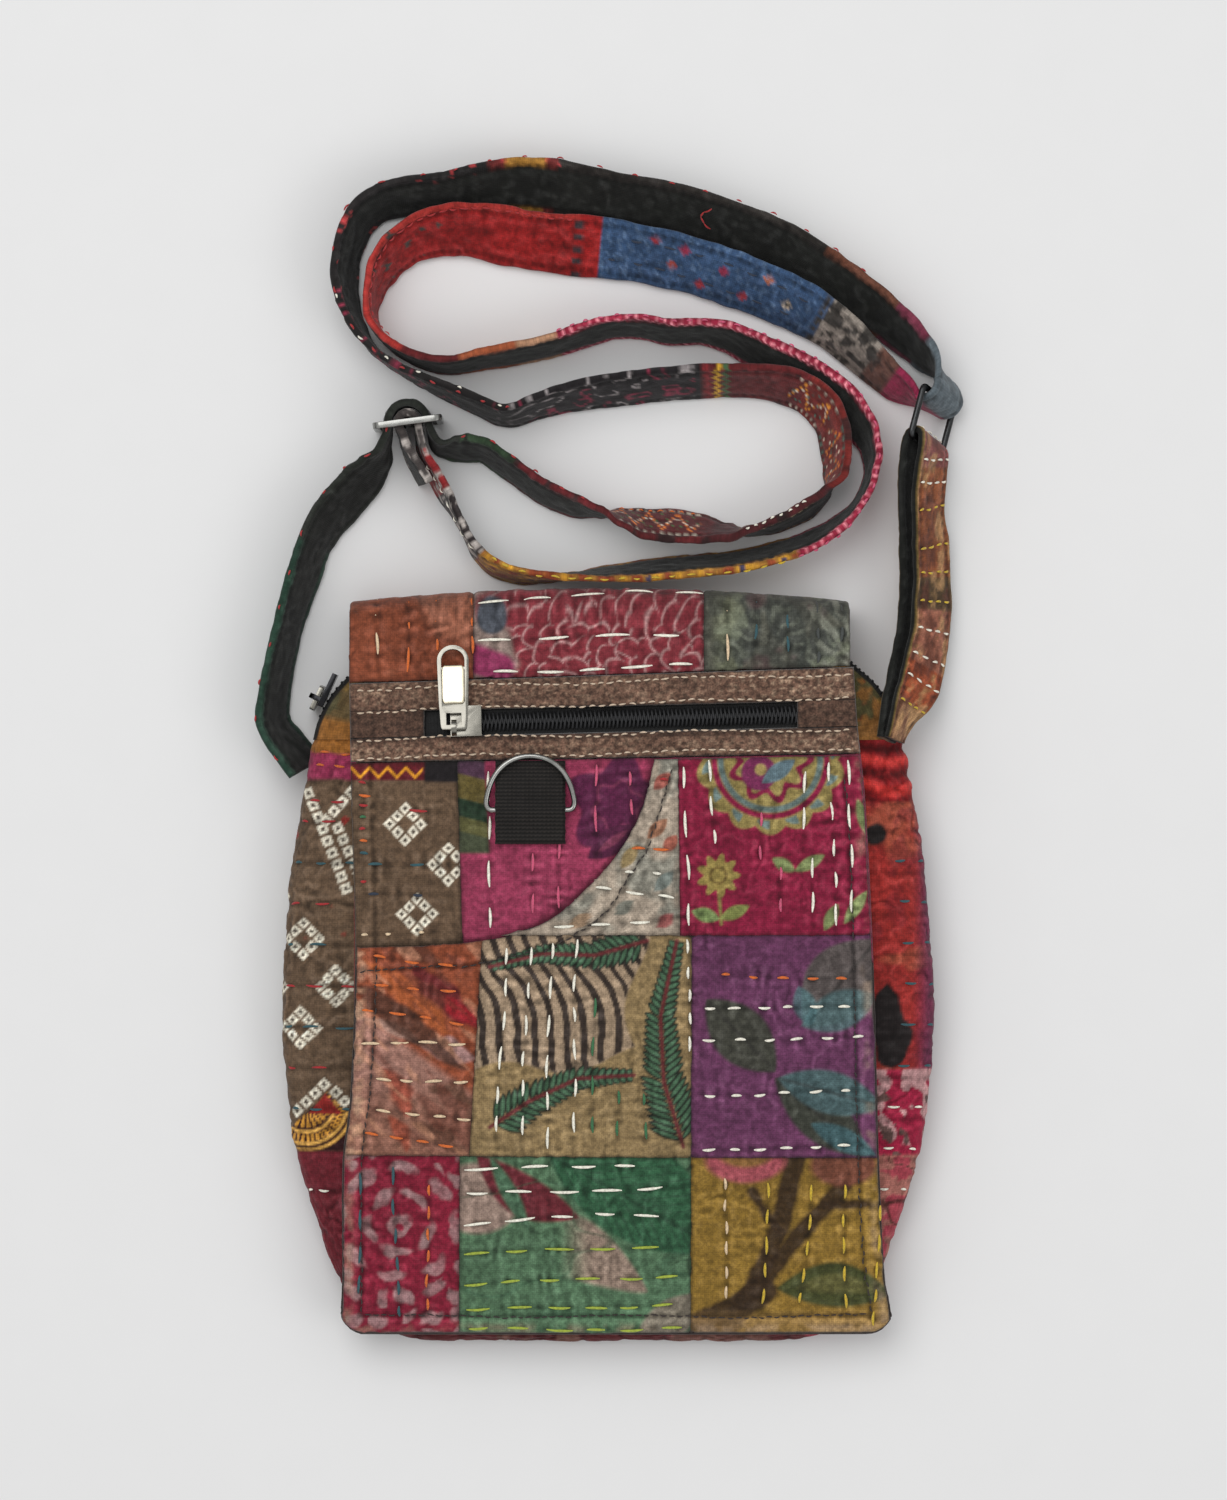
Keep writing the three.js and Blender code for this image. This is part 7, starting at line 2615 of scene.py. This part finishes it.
@dataclass
class Strap:
    """Long strap of patch cloth and the tab that holds its ring."""

    margin: float = 2.6
    fold: float = 0.42
    lift: float = 0.12
    tab_lean: float = 49.0
    tab_taper: float = 22.0
    tab_narrow: float = 0.42

    def route(self) -> list[tuple[Array, Array]]:
        """Rows of the whole strap, from its sewn tail to its turned end.

        Returns:
            Places and directions across.
        """
        down = np.array([0, 0, -1.0])
        into = unit(REACH * -0.625 + FACE * 0.78)
        side = unit(REACH * 0.78 + FACE * 0.625)
        loop = RING_AT + REACH * RING_REACH + into * (WIRE + 0.45 + STRAP_THICK / 2 - RING_LOOP)
        return [
            *laid(TAIL), *half_turn(BUCKLE_AT, -BUCKLE_LONG, BUCKLE_THROUGH, TAIL_TURN, down, 8),
            *laid(OUTER), *half_turn(loop, side, into, RING_LOOP, BAR, 4),
            *laid(INNER), *half_turn(BUCKLE_AT, BUCKLE_LONG, BUCKLE_THROUGH, END_TURN, down, 8), *laid(END),
        ]

    def cloth(self, s: Array, a: Array, h: Array) -> Array:
        """Colours of the strap: patches on its face and edges, black lining on its back.

        Args:
            s: Lengths.
            a: Places across.
            h: Heights over the band's middle.

        Returns:
            The colours.
        """
        rgb = ground(s, a, (34, 58, 46), 0.2)
        rgb = patched(rgb, s, s, a, [
            (74, (33, 36, 31)), (150, (44, 62, 42)), (170, (92, 28, 32)), (200, (84, 28, 30)),
            (236, (74, 30, 32)), (276, (112, 36, 32)), (310, (92, 30, 32)), (342, (30, 27, 29)),
            (402, (31, 28, 28)), (535, (104, 36, 34)), (556, (38, 34, 31)), (640, (98, 58, 42)),
            (668, (108, 44, 62)), (682, (92, 102, 108)), (706, (150, 42, 76)), (722, (98, 66, 56)),
            (730, (136, 127, 118)), (750, (50, 74, 106)), (823, (140, 26, 26)), (925, (92, 28, 30)),
            (944, (150, 78, 48)), (962, (176, 132, 102)), (975, (142, 32, 56)), (1128, (150, 104, 42)),
            (1228, (44, 38, 38)), (1250, (132, 34, 36)), (1266, (72, 66, 64)),
        ], 0.2, 0.3)
        rgb = self.motifs(rgb, s, a)
        rubbed = inside(164 - s, 0.5) * inside(s - 335, 0.5)
        rubbed = rubbed * smooth(WOBBLE.layers(s * 1.2, a + 7, 5, 2), 0.1, 0.3)
        rgb = inked(rgb, 0.8 * rubbed * smooth(np.abs(a), 7.6, 8.6), (32, 27, 27))
        turned = np.abs(a) - STRAP_WIDE / 2 + self.margin + 0.5 * WOBBLE.layers(s, a, 6, 2)
        return over(rgb, inside(h + 0.4, 0.3) * inside(turned, 0.4), Cloth.BLACK.paint(s, a))

    def motifs(self, rgb: Array, s: Array, a: Array) -> Array:
        """Embroidery and prints along the strap's face.

        Args:
            rgb: Colours so far.
            s: Lengths.
            a: Places across.

        Returns:
            The colours.
        """

        def between(low: float, high: float) -> Array:
            """Mask of a stretch of the strap."""
            return inside(low - s, 0.4) * inside(s - high, 0.4)

        for low, high, inks in [
            (203, 232, ((230, 124, 40), (236, 226, 206), (66, 112, 64))),
            (277, 295, ((224, 122, 36), (70, 118, 104), (230, 214, 190))),
            (298, 314, ((226, 146, 44), (232, 220, 200), (60, 110, 98))),
        ]:
            zone = between(low, high)
            rgb = inked(rgb, zone * zigzag(s, a, 9.0, 5.6, 0.55), inks[0])
            rgb = inked(rgb, zone * zigzag(s, a, 9.0, 2.6, 0.4) * smooth(np.sin(a * 4), -0.3, 0.2), inks[1])
            dashes = zigzag(s + 4.5, a, 9.0, 5.6, 0.4)
            rgb = inked(rgb, zone * dashes * smooth(np.sin(s * 4), -0.2, 0.3), inks[2])
            border = inside(np.abs(np.abs(a) - 7.4) - 0.5)
            rgb = inked(rgb, zone * border * smooth(np.sin(s * 2.4), 0, 0.4), inks[1])
        zone = between(244, 272)
        border = inside(np.abs(np.abs(a) - 7.6) - 0.7)
        rgb = inked(rgb, zone * border * smooth(np.sin(s * 2.6), -0.1, 0.3), (196, 168, 128))
        zone = between(333, 342)
        for k, ink in enumerate([(64, 96, 64), (206, 160, 50), (124, 36, 40)]):
            rgb = inked(rgb, zone * zigzag(a + 1.1 * k, s - 334.5 - 2.8 * k, 3.4, 0.8, 0.7), ink)
        zone = between(344, 470)
        cell = WOBBLE.layers(s, a + 3, 6, 2)
        line = inside(np.abs(cell - 0.15) - 0.05, 0.03)
        rgb = inked(rgb, zone * 0.8 * line * inside(s - 402, 8), (170, 162, 162))
        rgb = inked(rgb, zone * 0.8 * inside(np.abs(cell + 0.42) - 0.04, 0.03), (150, 48, 74))
        speck = smooth(STAIN.layers(s, a * 1.4, 2.4, 2), 0.42, 0.55)
        rgb = inked(rgb, between(402, 560) * smooth(np.abs(a), 6.2, 7.4) * speck, (176, 60, 62))
        rgb = inked(rgb, between(540, 552) * inside(6 - np.abs(a), 0.5), (150, 106, 42))
        blots = smooth(np.abs(STAIN.layers(s, a, 4, 2)), 0.18, 0.3)
        rgb = inked(rgb, between(728, 752) * blots, (58, 54, 50))
        zone = between(752, 823)
        for at, off, ring, ink in [
            (762, 1, (176, 160, 140), (28, 34, 40)), (776, 4, (134, 42, 52), (134, 42, 52)),
            (784, -2, (128, 36, 62), (128, 36, 62)), (790, 5, (134, 42, 52), (134, 42, 52)),
            (797, -5, (128, 36, 62), (128, 36, 62)), (800, 1, (150, 60, 48), (150, 60, 48)),
            (770, -5, (160, 90, 60), (160, 90, 60)), (806, -6, (134, 42, 52), (134, 42, 52)),
        ]:
            d = np.abs(s - at) + np.abs(a - off)
            rgb = inked(inked(rgb, zone * inside(d - 1.9), ring), zone * inside(d - 0.9), ink)
        faded = smooth(STAIN.layers(s * 2 + a, a - s, 2.0, 2), 0.1, 0.5)
        rgb = inked(rgb, zone * 0.55 * faded, (92, 116, 146))
        rgb = inked(rgb, between(828.5, 831.5) * smooth(np.sin(a * 1.6), -0.2, 0.2), (52, 46, 50))
        zone = between(830, 925)
        curls = inside(np.abs(np.abs(STAIN.layers(s, a, 7, 3)) - 0.2) - 0.04, 0.04)
        rgb = inked(rgb, zone * 0.5 * curls, (96, 22, 22))
        rgb = inked(rgb, zone * 0.8 * smooth(-a, 7.2, 8.8), (164, 50, 44))
        rgb = inked(rgb, between(868, 900) * smooth(STAIN.layers(s, a, 3.4, 2), 0.5, 0.62), (66, 66, 62))
        zone = between(975, 1128)
        rgb = inked(rgb, zone * zigzag(s, np.abs(a) - 8.5, 2.8, 1.2, 0.38), (230, 140, 152))
        zone = between(1128, 1228)
        fleck = STAIN.layers(s, a, 3.2, 2)
        rgb = inked(rgb, zone * smooth(fleck, 0.1, 0.3), (196, 142, 44))
        rgb = inked(rgb, zone * smooth(-fleck, 0.18, 0.35), (134, 62, 34))
        rgb = inked(rgb, zone * smooth(fleck, 0.48, 0.56), (70, 62, 84))
        netting = smooth(np.abs(STAIN.layers(s, a, 3.6, 2)), 0.28, 0.36)
        rgb = inked(rgb, between(1228, 1303) * netting, (172, 164, 158))
        return inked(rgb, between(150, 170) * smooth(STAIN.layers(s, a, 3, 2), 0.1, 0.35) * 0.7, (26, 30, 26))

    def tab_rows(self) -> list[tuple[Array, Array]]:
        """Rows of the doubled tab, up its back leg, round the ring and down its front leg.

        Returns:
            Places and directions across.
        """
        lower = RING_AT - REACH * RING_REACH
        radius = WIRE + 0.45 + STRAP_THICK / 2
        lean = math.radians(self.tab_lean)
        across = np.array([math.cos(lean), 0, -math.sin(lean)])
        face = np.array([math.sin(lean), 0, math.cos(lean)])

        def leg(side: int) -> list[tuple[Array, Array]]:
            """One leg of the tab.

            Args:
                side: Which leg, 1 or -1.

            Returns:
                Its rows, from the seam up.
            """
            found = []
            for i, p in enumerate(TAB):
                apart = 1.45 if i == 0 else 1.8 + (radius - 1.8) * min(1.0, i / 4)
                k = float(smooth(np.float64(i), 3, 7))
                found.append((np.array(p) + face * side * apart, across * (1 - k) + BAR * k))
            return found

        return [*leg(-1), *half_turn(lower, -FACE, REACH, radius, BAR, 4), *leg(1)[::-1]]

    def tab_cloth(self, band: Band) -> Callable[[Array, Array, Array], Array]:
        """Colours of the tab by length.

        Args:
            band: The tab's band.

        Returns:
            A function of length, place across and height.
        """

        def paint(s: Array, a: Array, h: Array) -> Array:
            """Colours by length, place across and side.

            Args:
                s: Lengths.
                a: Places across.
                h: Heights over the band's middle.

            Returns:
                The colours.
            """
            d = band.long - s
            rgb = ground(s, a, (146, 108, 78), 0.25)
            rgb = patched(rgb, d, s, a, [
                (12, (158, 74, 40)), (26, (156, 96, 74)), (44, (84, 62, 38)), (54, (138, 76, 42)),
                (88, (146, 80, 78)), (110, (134, 92, 58)),
            ], 0.3, 0.4)
            mark = STAIN.layers(s, a * 1.3, 6, 3)
            vein = np.sin(1.9 * s + 2.2 * np.abs(a - 2) + 3 * WOBBLE.layers(s, a, 6, 2))
            rgb = inked(rgb, 0.7 * smooth(mark, 0.08, 0.3), (84, 40, 26))
            rgb = inked(rgb, 0.6 * smooth(-mark, 0.12, 0.35), (196, 152, 104))
            rgb = inked(rgb, 0.4 * smooth(vein, 0.5, 0.9) * smooth(-mark, -0.1, 0.1), (110, 88, 44))
            rgb = inked(rgb, smooth(np.abs(a), 8.7, 9.2), (112, 92, 50))
            return over(rgb, inside(h - 0.65, 0.2), Cloth.BLACK.paint(s, a))

        return paint

    def stitch(self, band: Band) -> None:
        """Notes the edge stitches and loose rows of the strap.

        Args:
            band: The strap's band.
        """
        edge, show = Face.EDGE, Face.SHOW
        for thread, start, end, a, side, dash, gap in [
            (Thread.RED, 6, 118, 0.0, edge, 1.7, 9), (Thread.RED, 150, 200, 0.2, edge, 1.6, 7),
            (Thread.RED, 402, 660, 0.3, edge, 1.8, 8), (Thread.WHITE, 405, 470, -0.3, edge, 1.6, 10),
            (Thread.RED, 832, 920, -8.4, show, 2.0, 1.0), (Thread.PINK, 975, 1130, 0.2, edge, 1.6, 2.6),
            (Thread.NAVY, 760, 820, 3.5, show, 3.2, 5), (Thread.NAVY, 756, 820, -4.5, show, 3.0, 6),
            (Thread.YELLOW, 1132, 1226, 0.0, edge, 2.2, 3.0),
            (Thread.WHITE, 1230, 1262, -6.4, show, 2.0, 3.0),
            (Thread.ORANGE, 206, 230, 6.8, show, 1.6, 1.8), (Thread.WHITE, 246, 270, 0.2, edge, 1.4, 1.6),
        ]:
            row = StitchRow(thread, (start, a), (end, a), dash, gap)
            (u, n), (v, _) = (band.place(e[:, 0], e[:, 1], side, self.lift) for e in row.marks())
            BOOK.sew(thread, STRAP_THREAD_WIDE, u, v, n)

    def loose_thread(self, band: Band) -> None:
        """A red thread end that lies loose on the lining.

        Args:
            band: The strap's band.
        """
        s, a = np.array([604, 602, 601.5, 603.0, 605.5]), np.array([-5.4, -3.2, -1.0, 1.0, 2.4])
        p, n = band.place(s, a, Face.LINING, 0.5)
        BOOK.sew(Thread.RED, LOOSE_WIDE, p[:-1], p[1:], n[:-1])

    def stitch_tab(self, band: Band) -> None:
        """Notes the rows across the tab's front leg.

        Args:
            band: The tab's band.
        """
        white, yellow = Thread.WHITE, Thread.YELLOW
        for thread, d in [
            (white, 84), (white, 91), (yellow, 76), (yellow, 64), (yellow, 56), (yellow, 47), (white, 38),
            (white, 29), (white, 21), (yellow, 12), (white, 98),
        ]:
            row = StitchRow(thread, (-8.2, d), (8.2, d), 2.6, 2.0)
            (u, n), (v, _) = (
                band.place(band.long - e[:, 1], e[:, 0], Face.SHOW, self.lift) for e in row.marks()
            )
            BOOK.sew(thread, TAB_THREAD_WIDE, u, v, n)

    def build(self) -> None:
        """Makes the strap and the tab."""
        cloth = ClothFinish("strap_cotton", Weave.COTTON, 0.6).material()
        band, heap = Band(self.route()), MeshHeap()
        band.body(heap, self.cloth, self.fold)
        names = ["tail", "right_loop", "left_loop", "top_run", "inner_left", "inner_right", "inner_end"]
        made = settle(heap.piece("strap_cloth", cloth), "strap_dark", *("strap_" + n for n in names))
        self.stitch(band)
        self.loose_thread(band)
        tab, heap = Band(self.tab_rows()), MeshHeap()
        tab.taper(self.tab_taper, self.tab_narrow)
        tab.body(heap, self.tab_cloth(tab), self.fold)
        made = settle(heap.piece("strap_tab_cloth", cloth), "strap_rust", "strap_tab")
        self.stitch_tab(tab)


# Hardware


@dataclass
class Hardware:
    """Metal pieces and the webbing loop of the ring."""

    tab_x: float = -23.6
    tab_y: float = 48.6
    ring_wire: float = 0.85
    pull_turn: float = 0.024
    inlay_wide: float = 7.0
    inlay_long: float = 12.0
    inlay_from: float = 6.3
    ring_lean: float = 0.11
    ring_rise: float = 2.3
    ring_corner: float = 1.6
    loop_wide: float = 21.3
    loop_long: float = 25.3
    loop_from: float = -10.3
    course: float = 1.15
    column: float = 1.3

    def polished(
        self, node: str, material: bpy.types.Material, slot: str, bevel: float, body: str = POUCH
    ) -> None:
        """Copy of a CAD node with rounded edges.

        Args:
            node: The node.
            material: Finish of the metal.
            slot: Passed to settle, which does not use it.
            bevel: Width of the rounding.
            body: The body it rides on.
        """
        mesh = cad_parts[node].data.copy()
        work = bmesh.new()
        work.from_mesh(mesh)
        bmesh.ops.remove_doubles(work, verts=work.verts, dist=2e-6)
        bmesh.ops.dissolve_limit(work, angle_limit=math.radians(1.5), verts=work.verts, edges=work.edges)
        sharp = [e for e in work.edges if len(e.link_faces) == 2 and e.calc_face_angle(0) > math.radians(32)]
        bmesh.ops.bevel(
            work, geom=sharp, offset=bevel * MM, segments=3, profile=0.5, affect="EDGES", clamp_overlap=True
        )
        work.to_mesh(mesh)
        work.free()
        mesh.materials.clear()
        mesh.materials.append(material)
        for p in mesh.polygons:
            p.use_smooth = True
        mesh.set_sharp_from_angle(angle=math.radians(38))
        made = bpy.data.objects.new(node + "_metal", mesh)
        bpy.context.scene.collection.objects.link(made)
        settle(made, slot, node, body=body)

    def inlay(self, material: bpy.types.Material) -> None:
        """Pale plate let into the upper side of the zip's pull.

        Args:
            material: Finish of the plate.
        """
        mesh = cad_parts["zip_pull"].data
        points = np.array([v.co[:] for v in mesh.vertices]) / MM
        up = unit(sum(np.array(p.normal) * p.area for p in mesh.polygons if p.normal.z > 0.9))
        along = np.array([math.sin(self.pull_turn), -math.cos(self.pull_turn), 0])
        along = unit(along - up * (along @ up))
        side = np.cross(up, along)
        first, high = (points @ along).min(), (points @ up).max()
        middle = np.ptp(points @ side) / 2 + (points @ side).min()
        u, v = np.meshgrid(edge_lines(self.inlay_wide, 0.5), edge_lines(self.inlay_long, 0.5))
        x = (u - 0.5) * self.inlay_wide * (1 - 0.25 * np.abs(2 * v - 1) ** 10)
        edge = from_edges(u, v, self.inlay_wide, self.inlay_long)
        flat = side * (middle + x)[..., None]
        flat = flat + along * (first + self.inlay_from + self.inlay_long * v)[..., None]
        top = flat + up * (high + 0.14 - 0.2 * np.clip(1 - edge / 0.6, 0, 1) ** 2)[..., None]
        heap = MeshHeap()
        heap.sheet(top, flat + up * (high - 0.3), np.ones(top.shape), np.stack([x, v], -1))
        settle(heap.piece("zip_pull_inlay", material), "metal_bright", body="zip_pull")

    def wire(
        self, name: str, points: Array, normal: Array, radius: float, material: bpy.types.Material,
        sides: int = 16,
    ) -> bpy.types.Object:
        """Round wire along a closed flat line.

        Args:
            name: Name of the object.
            points: Points of the line.
            normal: Direction square to it.
            radius: Radius of the wire.
            material: The metal.
            sides: Sides of its section.

        Returns:
            The object.
        """
        ahead = unit(np.roll(points, -1, 0) - np.roll(points, 1, 0))
        side = np.cross(ahead, normal)
        a = np.linspace(0, 2 * np.pi, sides, endpoint=False)
        rings = points[:, None] + radius * (side[:, None] * np.cos(a)[:, None] + normal * np.sin(a)[:, None])
        index = np.arange(len(points) * sides).reshape(-1, sides)
        far, nxt = np.roll(index, -1, 0), np.roll(index, -1, 1)
        quads = np.stack([index, far, np.roll(far, -1, 1), nxt], -1).reshape(-1, 4)
        heap = MeshHeap()
        flat = rings.reshape(-1, 3)
        heap.add(flat, np.ones_like(flat), flat[:, :2], [quads])
        return heap.piece(name, material)

    def on_flap(self, points: Array) -> Array:
        """Local points of the ring and its loop, set on the flap's slope.

        Args:
            points: Local points.

        Returns:
            The points.
        """
        x = np.float64(self.tab_x)
        slope = math.atan2(float(flap_height(x, np.float64(63)) - flap_height(x, np.float64(41))), 22)
        c, s = math.cos(slope), math.sin(slope)
        y, z = points[..., 1] * c - points[..., 2] * s, points[..., 1] * s + points[..., 2] * c
        high = float(flap_height(x, np.float64(self.tab_y))) + FLAP / 2 + GAP + 0.3
        return np.stack([points[..., 0] + self.tab_x, y + self.tab_y, z + high], -1)

    def d_ring(self, material: bpy.types.Material) -> None:
        """Wire ring with a straight bar and an arch.

        Args:
            material: The metal.
        """

        def bezier(p: Sequence[Sequence[float]]) -> Array:
            """Points of one cubic stretch.

            Args:
                p: Its four control points.

            Returns:
                The points.
            """
            t = np.linspace(0, 1, 14)[:-1, None]
            a, b, c, d = (np.array(q, float) for q in p)
            return (1 - t) ** 3 * a + 3 * t * (1 - t) ** 2 * b + 3 * t * t * (1 - t) * c + t**3 * d

        flat = np.concatenate([
            np.stack([np.linspace(-11.5, 11.5, 12)[:-1], np.zeros(11)], -1),
            bezier([(11.5, 0), (13.6, 0), (13.6, 2.4), (13.2, 4)]),
            bezier([(13.2, 4), (11.6, 12.6), (6, 16.4), (0, 16.4)]),
            bezier([(0, 16.4), (-6, 16.4), (-11.6, 12.6), (-13.2, 4)]),
            bezier([(-13.2, 4), (-13.6, 2.4), (-13.6, 0), (-11.5, 0)]),
        ])
        c, s = math.cos(self.ring_lean), math.sin(self.ring_lean)
        points = self.on_flap(np.stack([flat[:, 0], flat[:, 1] * c, flat[:, 1] * s + self.ring_rise], -1))
        normal = unit(np.cross(points[20] - points[0], points[40] - points[0]))
        made = self.wire("d_ring_wire", points, normal, self.ring_wire, material)
        settle(made, "metal_bright", "d_ring", body="d_ring")

    def strap_ring(self, material: bpy.types.Material) -> None:
        """Rectangular wire ring of the strap.

        Args:
            material: The metal.
        """
        r = self.ring_corner
        w, h = RING_HALF - r, RING_REACH - r
        points = []
        for sx, sy, quarter in [(1, 1, 0), (-1, 1, 1), (-1, -1, 2), (1, -1, 3)]:
            for k in np.linspace(0, 1, 9):
                a = (quarter + k) * math.pi / 2
                points.append(RING_AT + BAR * (sx * w + r * math.cos(a)) + REACH * (sy * h + r * math.sin(a)))
        made = self.wire("strap_ring_wire", np.array(points), FACE, WIRE, material)
        settle(made, "metal_dark", "strap_ring")

    def loop(self) -> None:
        """Black webbing loop folded over the ring's bar."""
        heap = MeshHeap()
        u, v = np.meshgrid(edge_lines(self.loop_wide, 0.3), edge_lines(self.loop_long, 0.2))
        x, y = (u - 0.5) * self.loop_wide, self.loop_from + self.loop_long * v
        hump = np.clip(1 - np.abs(y) / 8.5, 0, 1)
        z = 1.95 + 2.6 * smooth(hump, 0, 1)
        columns = np.sin(2 * np.pi * x / self.column)
        course = 0.5 + 0.5 * np.sin(2 * np.pi * y / self.course + 0.5 * columns)
        column = 0.5 + 0.5 * columns
        ribs = 0.22 * course + 0.08 * column
        side, end = np.minimum(u, 1 - u) * self.loop_wide, v * self.loop_long
        drop = 0.9 * np.clip(1 - side / 0.8, 0, 1) ** 2 + 1.3 * np.clip(1 - end / 1.4, 0, 1) ** 2
        top = self.on_flap(np.stack([x + 0.15 * np.sin(y * 1.7) * (2 * u - 1), y, z + ribs - drop], -1))
        under = self.on_flap(np.stack([x, y, np.zeros(x.shape)], -1))
        # Painted shade: the webbing's colour is darkened in the low courses between its ribs, following their
        # height.
        shade = 0.12 + 0.9 * course * (0.6 + 0.4 * column)
        rgb = ground(x, y, (44, 40, 37), 0.15) * shade[..., None]
        heap.sheet(top, under, rgb, np.stack([x, y], -1), (26, 24, 22))
        webbing = ClothFinish("webbing_black", Weave.RIBBED, 0.1).material()
        made = settle(heap.piece("ring_tab_webbing", webbing), "webbing_black", "ring_tab")

    def build(self) -> None:
        """Makes the metal pieces and the loop."""
        plate = MetalFinish("nickel_plate", (232, 222, 196), 0.3).material()
        bright = MetalFinish("nickel_bright", (150, 147, 138), 0.2).material()
        steel = MetalFinish("steel_polished", (164, 164, 160), 0.24).material()
        dark = MetalFinish("nickel_dark", (70, 71, 72), 0.28).material()
        black = MetalFinish("nickel_black", (46, 46, 48), 0.17).material()
        self.polished("zip_slider", bright, "metal_bright", 0.5)
        self.polished("zip_pull", bright, "metal_bright", 0.48, "zip_pull")
        self.inlay(plate)
        self.polished("mouth_slider", black, "metal_dark", 0.7)
        # Pale metal on the mouth's pull stands in for a highlight beside the black slider: a painted highlight.
        self.polished("mouth_pull", bright, "metal_dark", 0.6, "mouth_pull")
        self.polished("slide_buckle", steel, "metal_bright", 0.4)
        self.d_ring(steel)
        self.strap_ring(dark)
        self.loop()


# Studio


@dataclass
class Studio:
    """Floor, light and camera."""

    height: float = 2.0
    centre: tuple[float, float] = (0.0017, 0.06696)
    seen: float = 0.465
    floor_tone: Colour = (229, 229, 229)
    sky: float = 0.84
    sensor: float = 36.0
    floor: float = 6.0

    def build(self) -> None:
        """Makes the pale floor, the soft light and the camera that looks straight down."""
        scene = bpy.context.scene
        camera = bpy.data.cameras.new("camera")
        camera.sensor_width = self.sensor
        camera.lens = self.sensor * self.height / self.seen
        holder = bpy.data.objects.new("camera", camera)
        holder.location = (*self.centre, self.height)
        scene.collection.objects.link(holder)
        scene.camera = holder
        mesh = bpy.data.meshes.new("floor")
        r = self.floor
        mesh.from_pydata([(-r, -r, 0), (r, -r, 0), (r, r, 0), (-r, r, 0)], [], [(0, 1, 2, 3)])
        floor = bpy.data.objects.new("floor", mesh)
        desk = NodeDesk("floor_pale")
        where = desk.node("TexCoord").outputs["Object"]
        fine = desk.noise(where, 60.0, 2.0)
        tone = srgb(self.floor_tone)
        pale = desk.mixed(fine, (*(tone * 0.99), 1), (*(tone * 1.01), 1))
        desk.set(Base_Color=pale, Roughness=1.0, Specular_IOR_Level=0.0)
        mesh.materials.append(desk.material)
        scene.collection.objects.link(floor)
        self.light(scene)

    def light(self, scene: bpy.types.Scene) -> None:
        """Even sky with a broad overhead lamp.

        Args:
            scene: The scene.
        """
        world = bpy.data.worlds.new("soft_sky")
        world.use_nodes = True
        nodes, link = world.node_tree.nodes, world.node_tree.links.new
        where, parts, ramp = (nodes.new("ShaderNode" + k) for k in ("TexCoord", "SeparateXYZ", "ValToRGB"))
        link(where.outputs["Generated"], parts.inputs[0])
        link(parts.outputs["Z"], ramp.inputs[0])
        link(ramp.outputs[0], nodes["Background"].inputs[0])
        steps = ramp.color_ramp.elements
        steps[0].position, steps[0].color = 0.1, (0.05, 0.05, 0.05, 1)
        steps[1].position, steps[1].color = 0.62, (1, 1, 1, 1)
        steps.new(0.97).color = (0.8, 0.8, 0.8, 1)
        nodes["Background"].inputs[1].default_value = self.sky
        scene.world = world
        scene.view_settings.view_transform = "Standard"
        for name, at, size, power in [
            ("overhead", (-0.5, 0.9, 1.9), 1.6, 16.0), ("side", (1.4, -0.6, 1.5), 1.2, 5.0),
        ]:
            lamp = bpy.data.lights.new(name, "AREA")
            lamp.shape, lamp.size, lamp.energy = "DISK", size, power
            holder = bpy.data.objects.new(name, lamp)
            holder.location = at
            holder.rotation_euler = (Vector((0, 0.06, 0)) - Vector(at)).to_track_quat("-Z", "Y").to_euler()
            scene.collection.objects.link(holder)


def main() -> None:
    """Builds the pouch in order."""
    logging.basicConfig(level=logging.INFO, format="%(name)s %(message)s")
    Studio().build()
    flap = Flap()
    for part in (flap, Zip(flap), Body(), Strap(), Hardware()):
        LOG.info("building %s", type(part).__name__)
        part.build()
    BOOK.build()


if __name__ == "__main__":
    main()
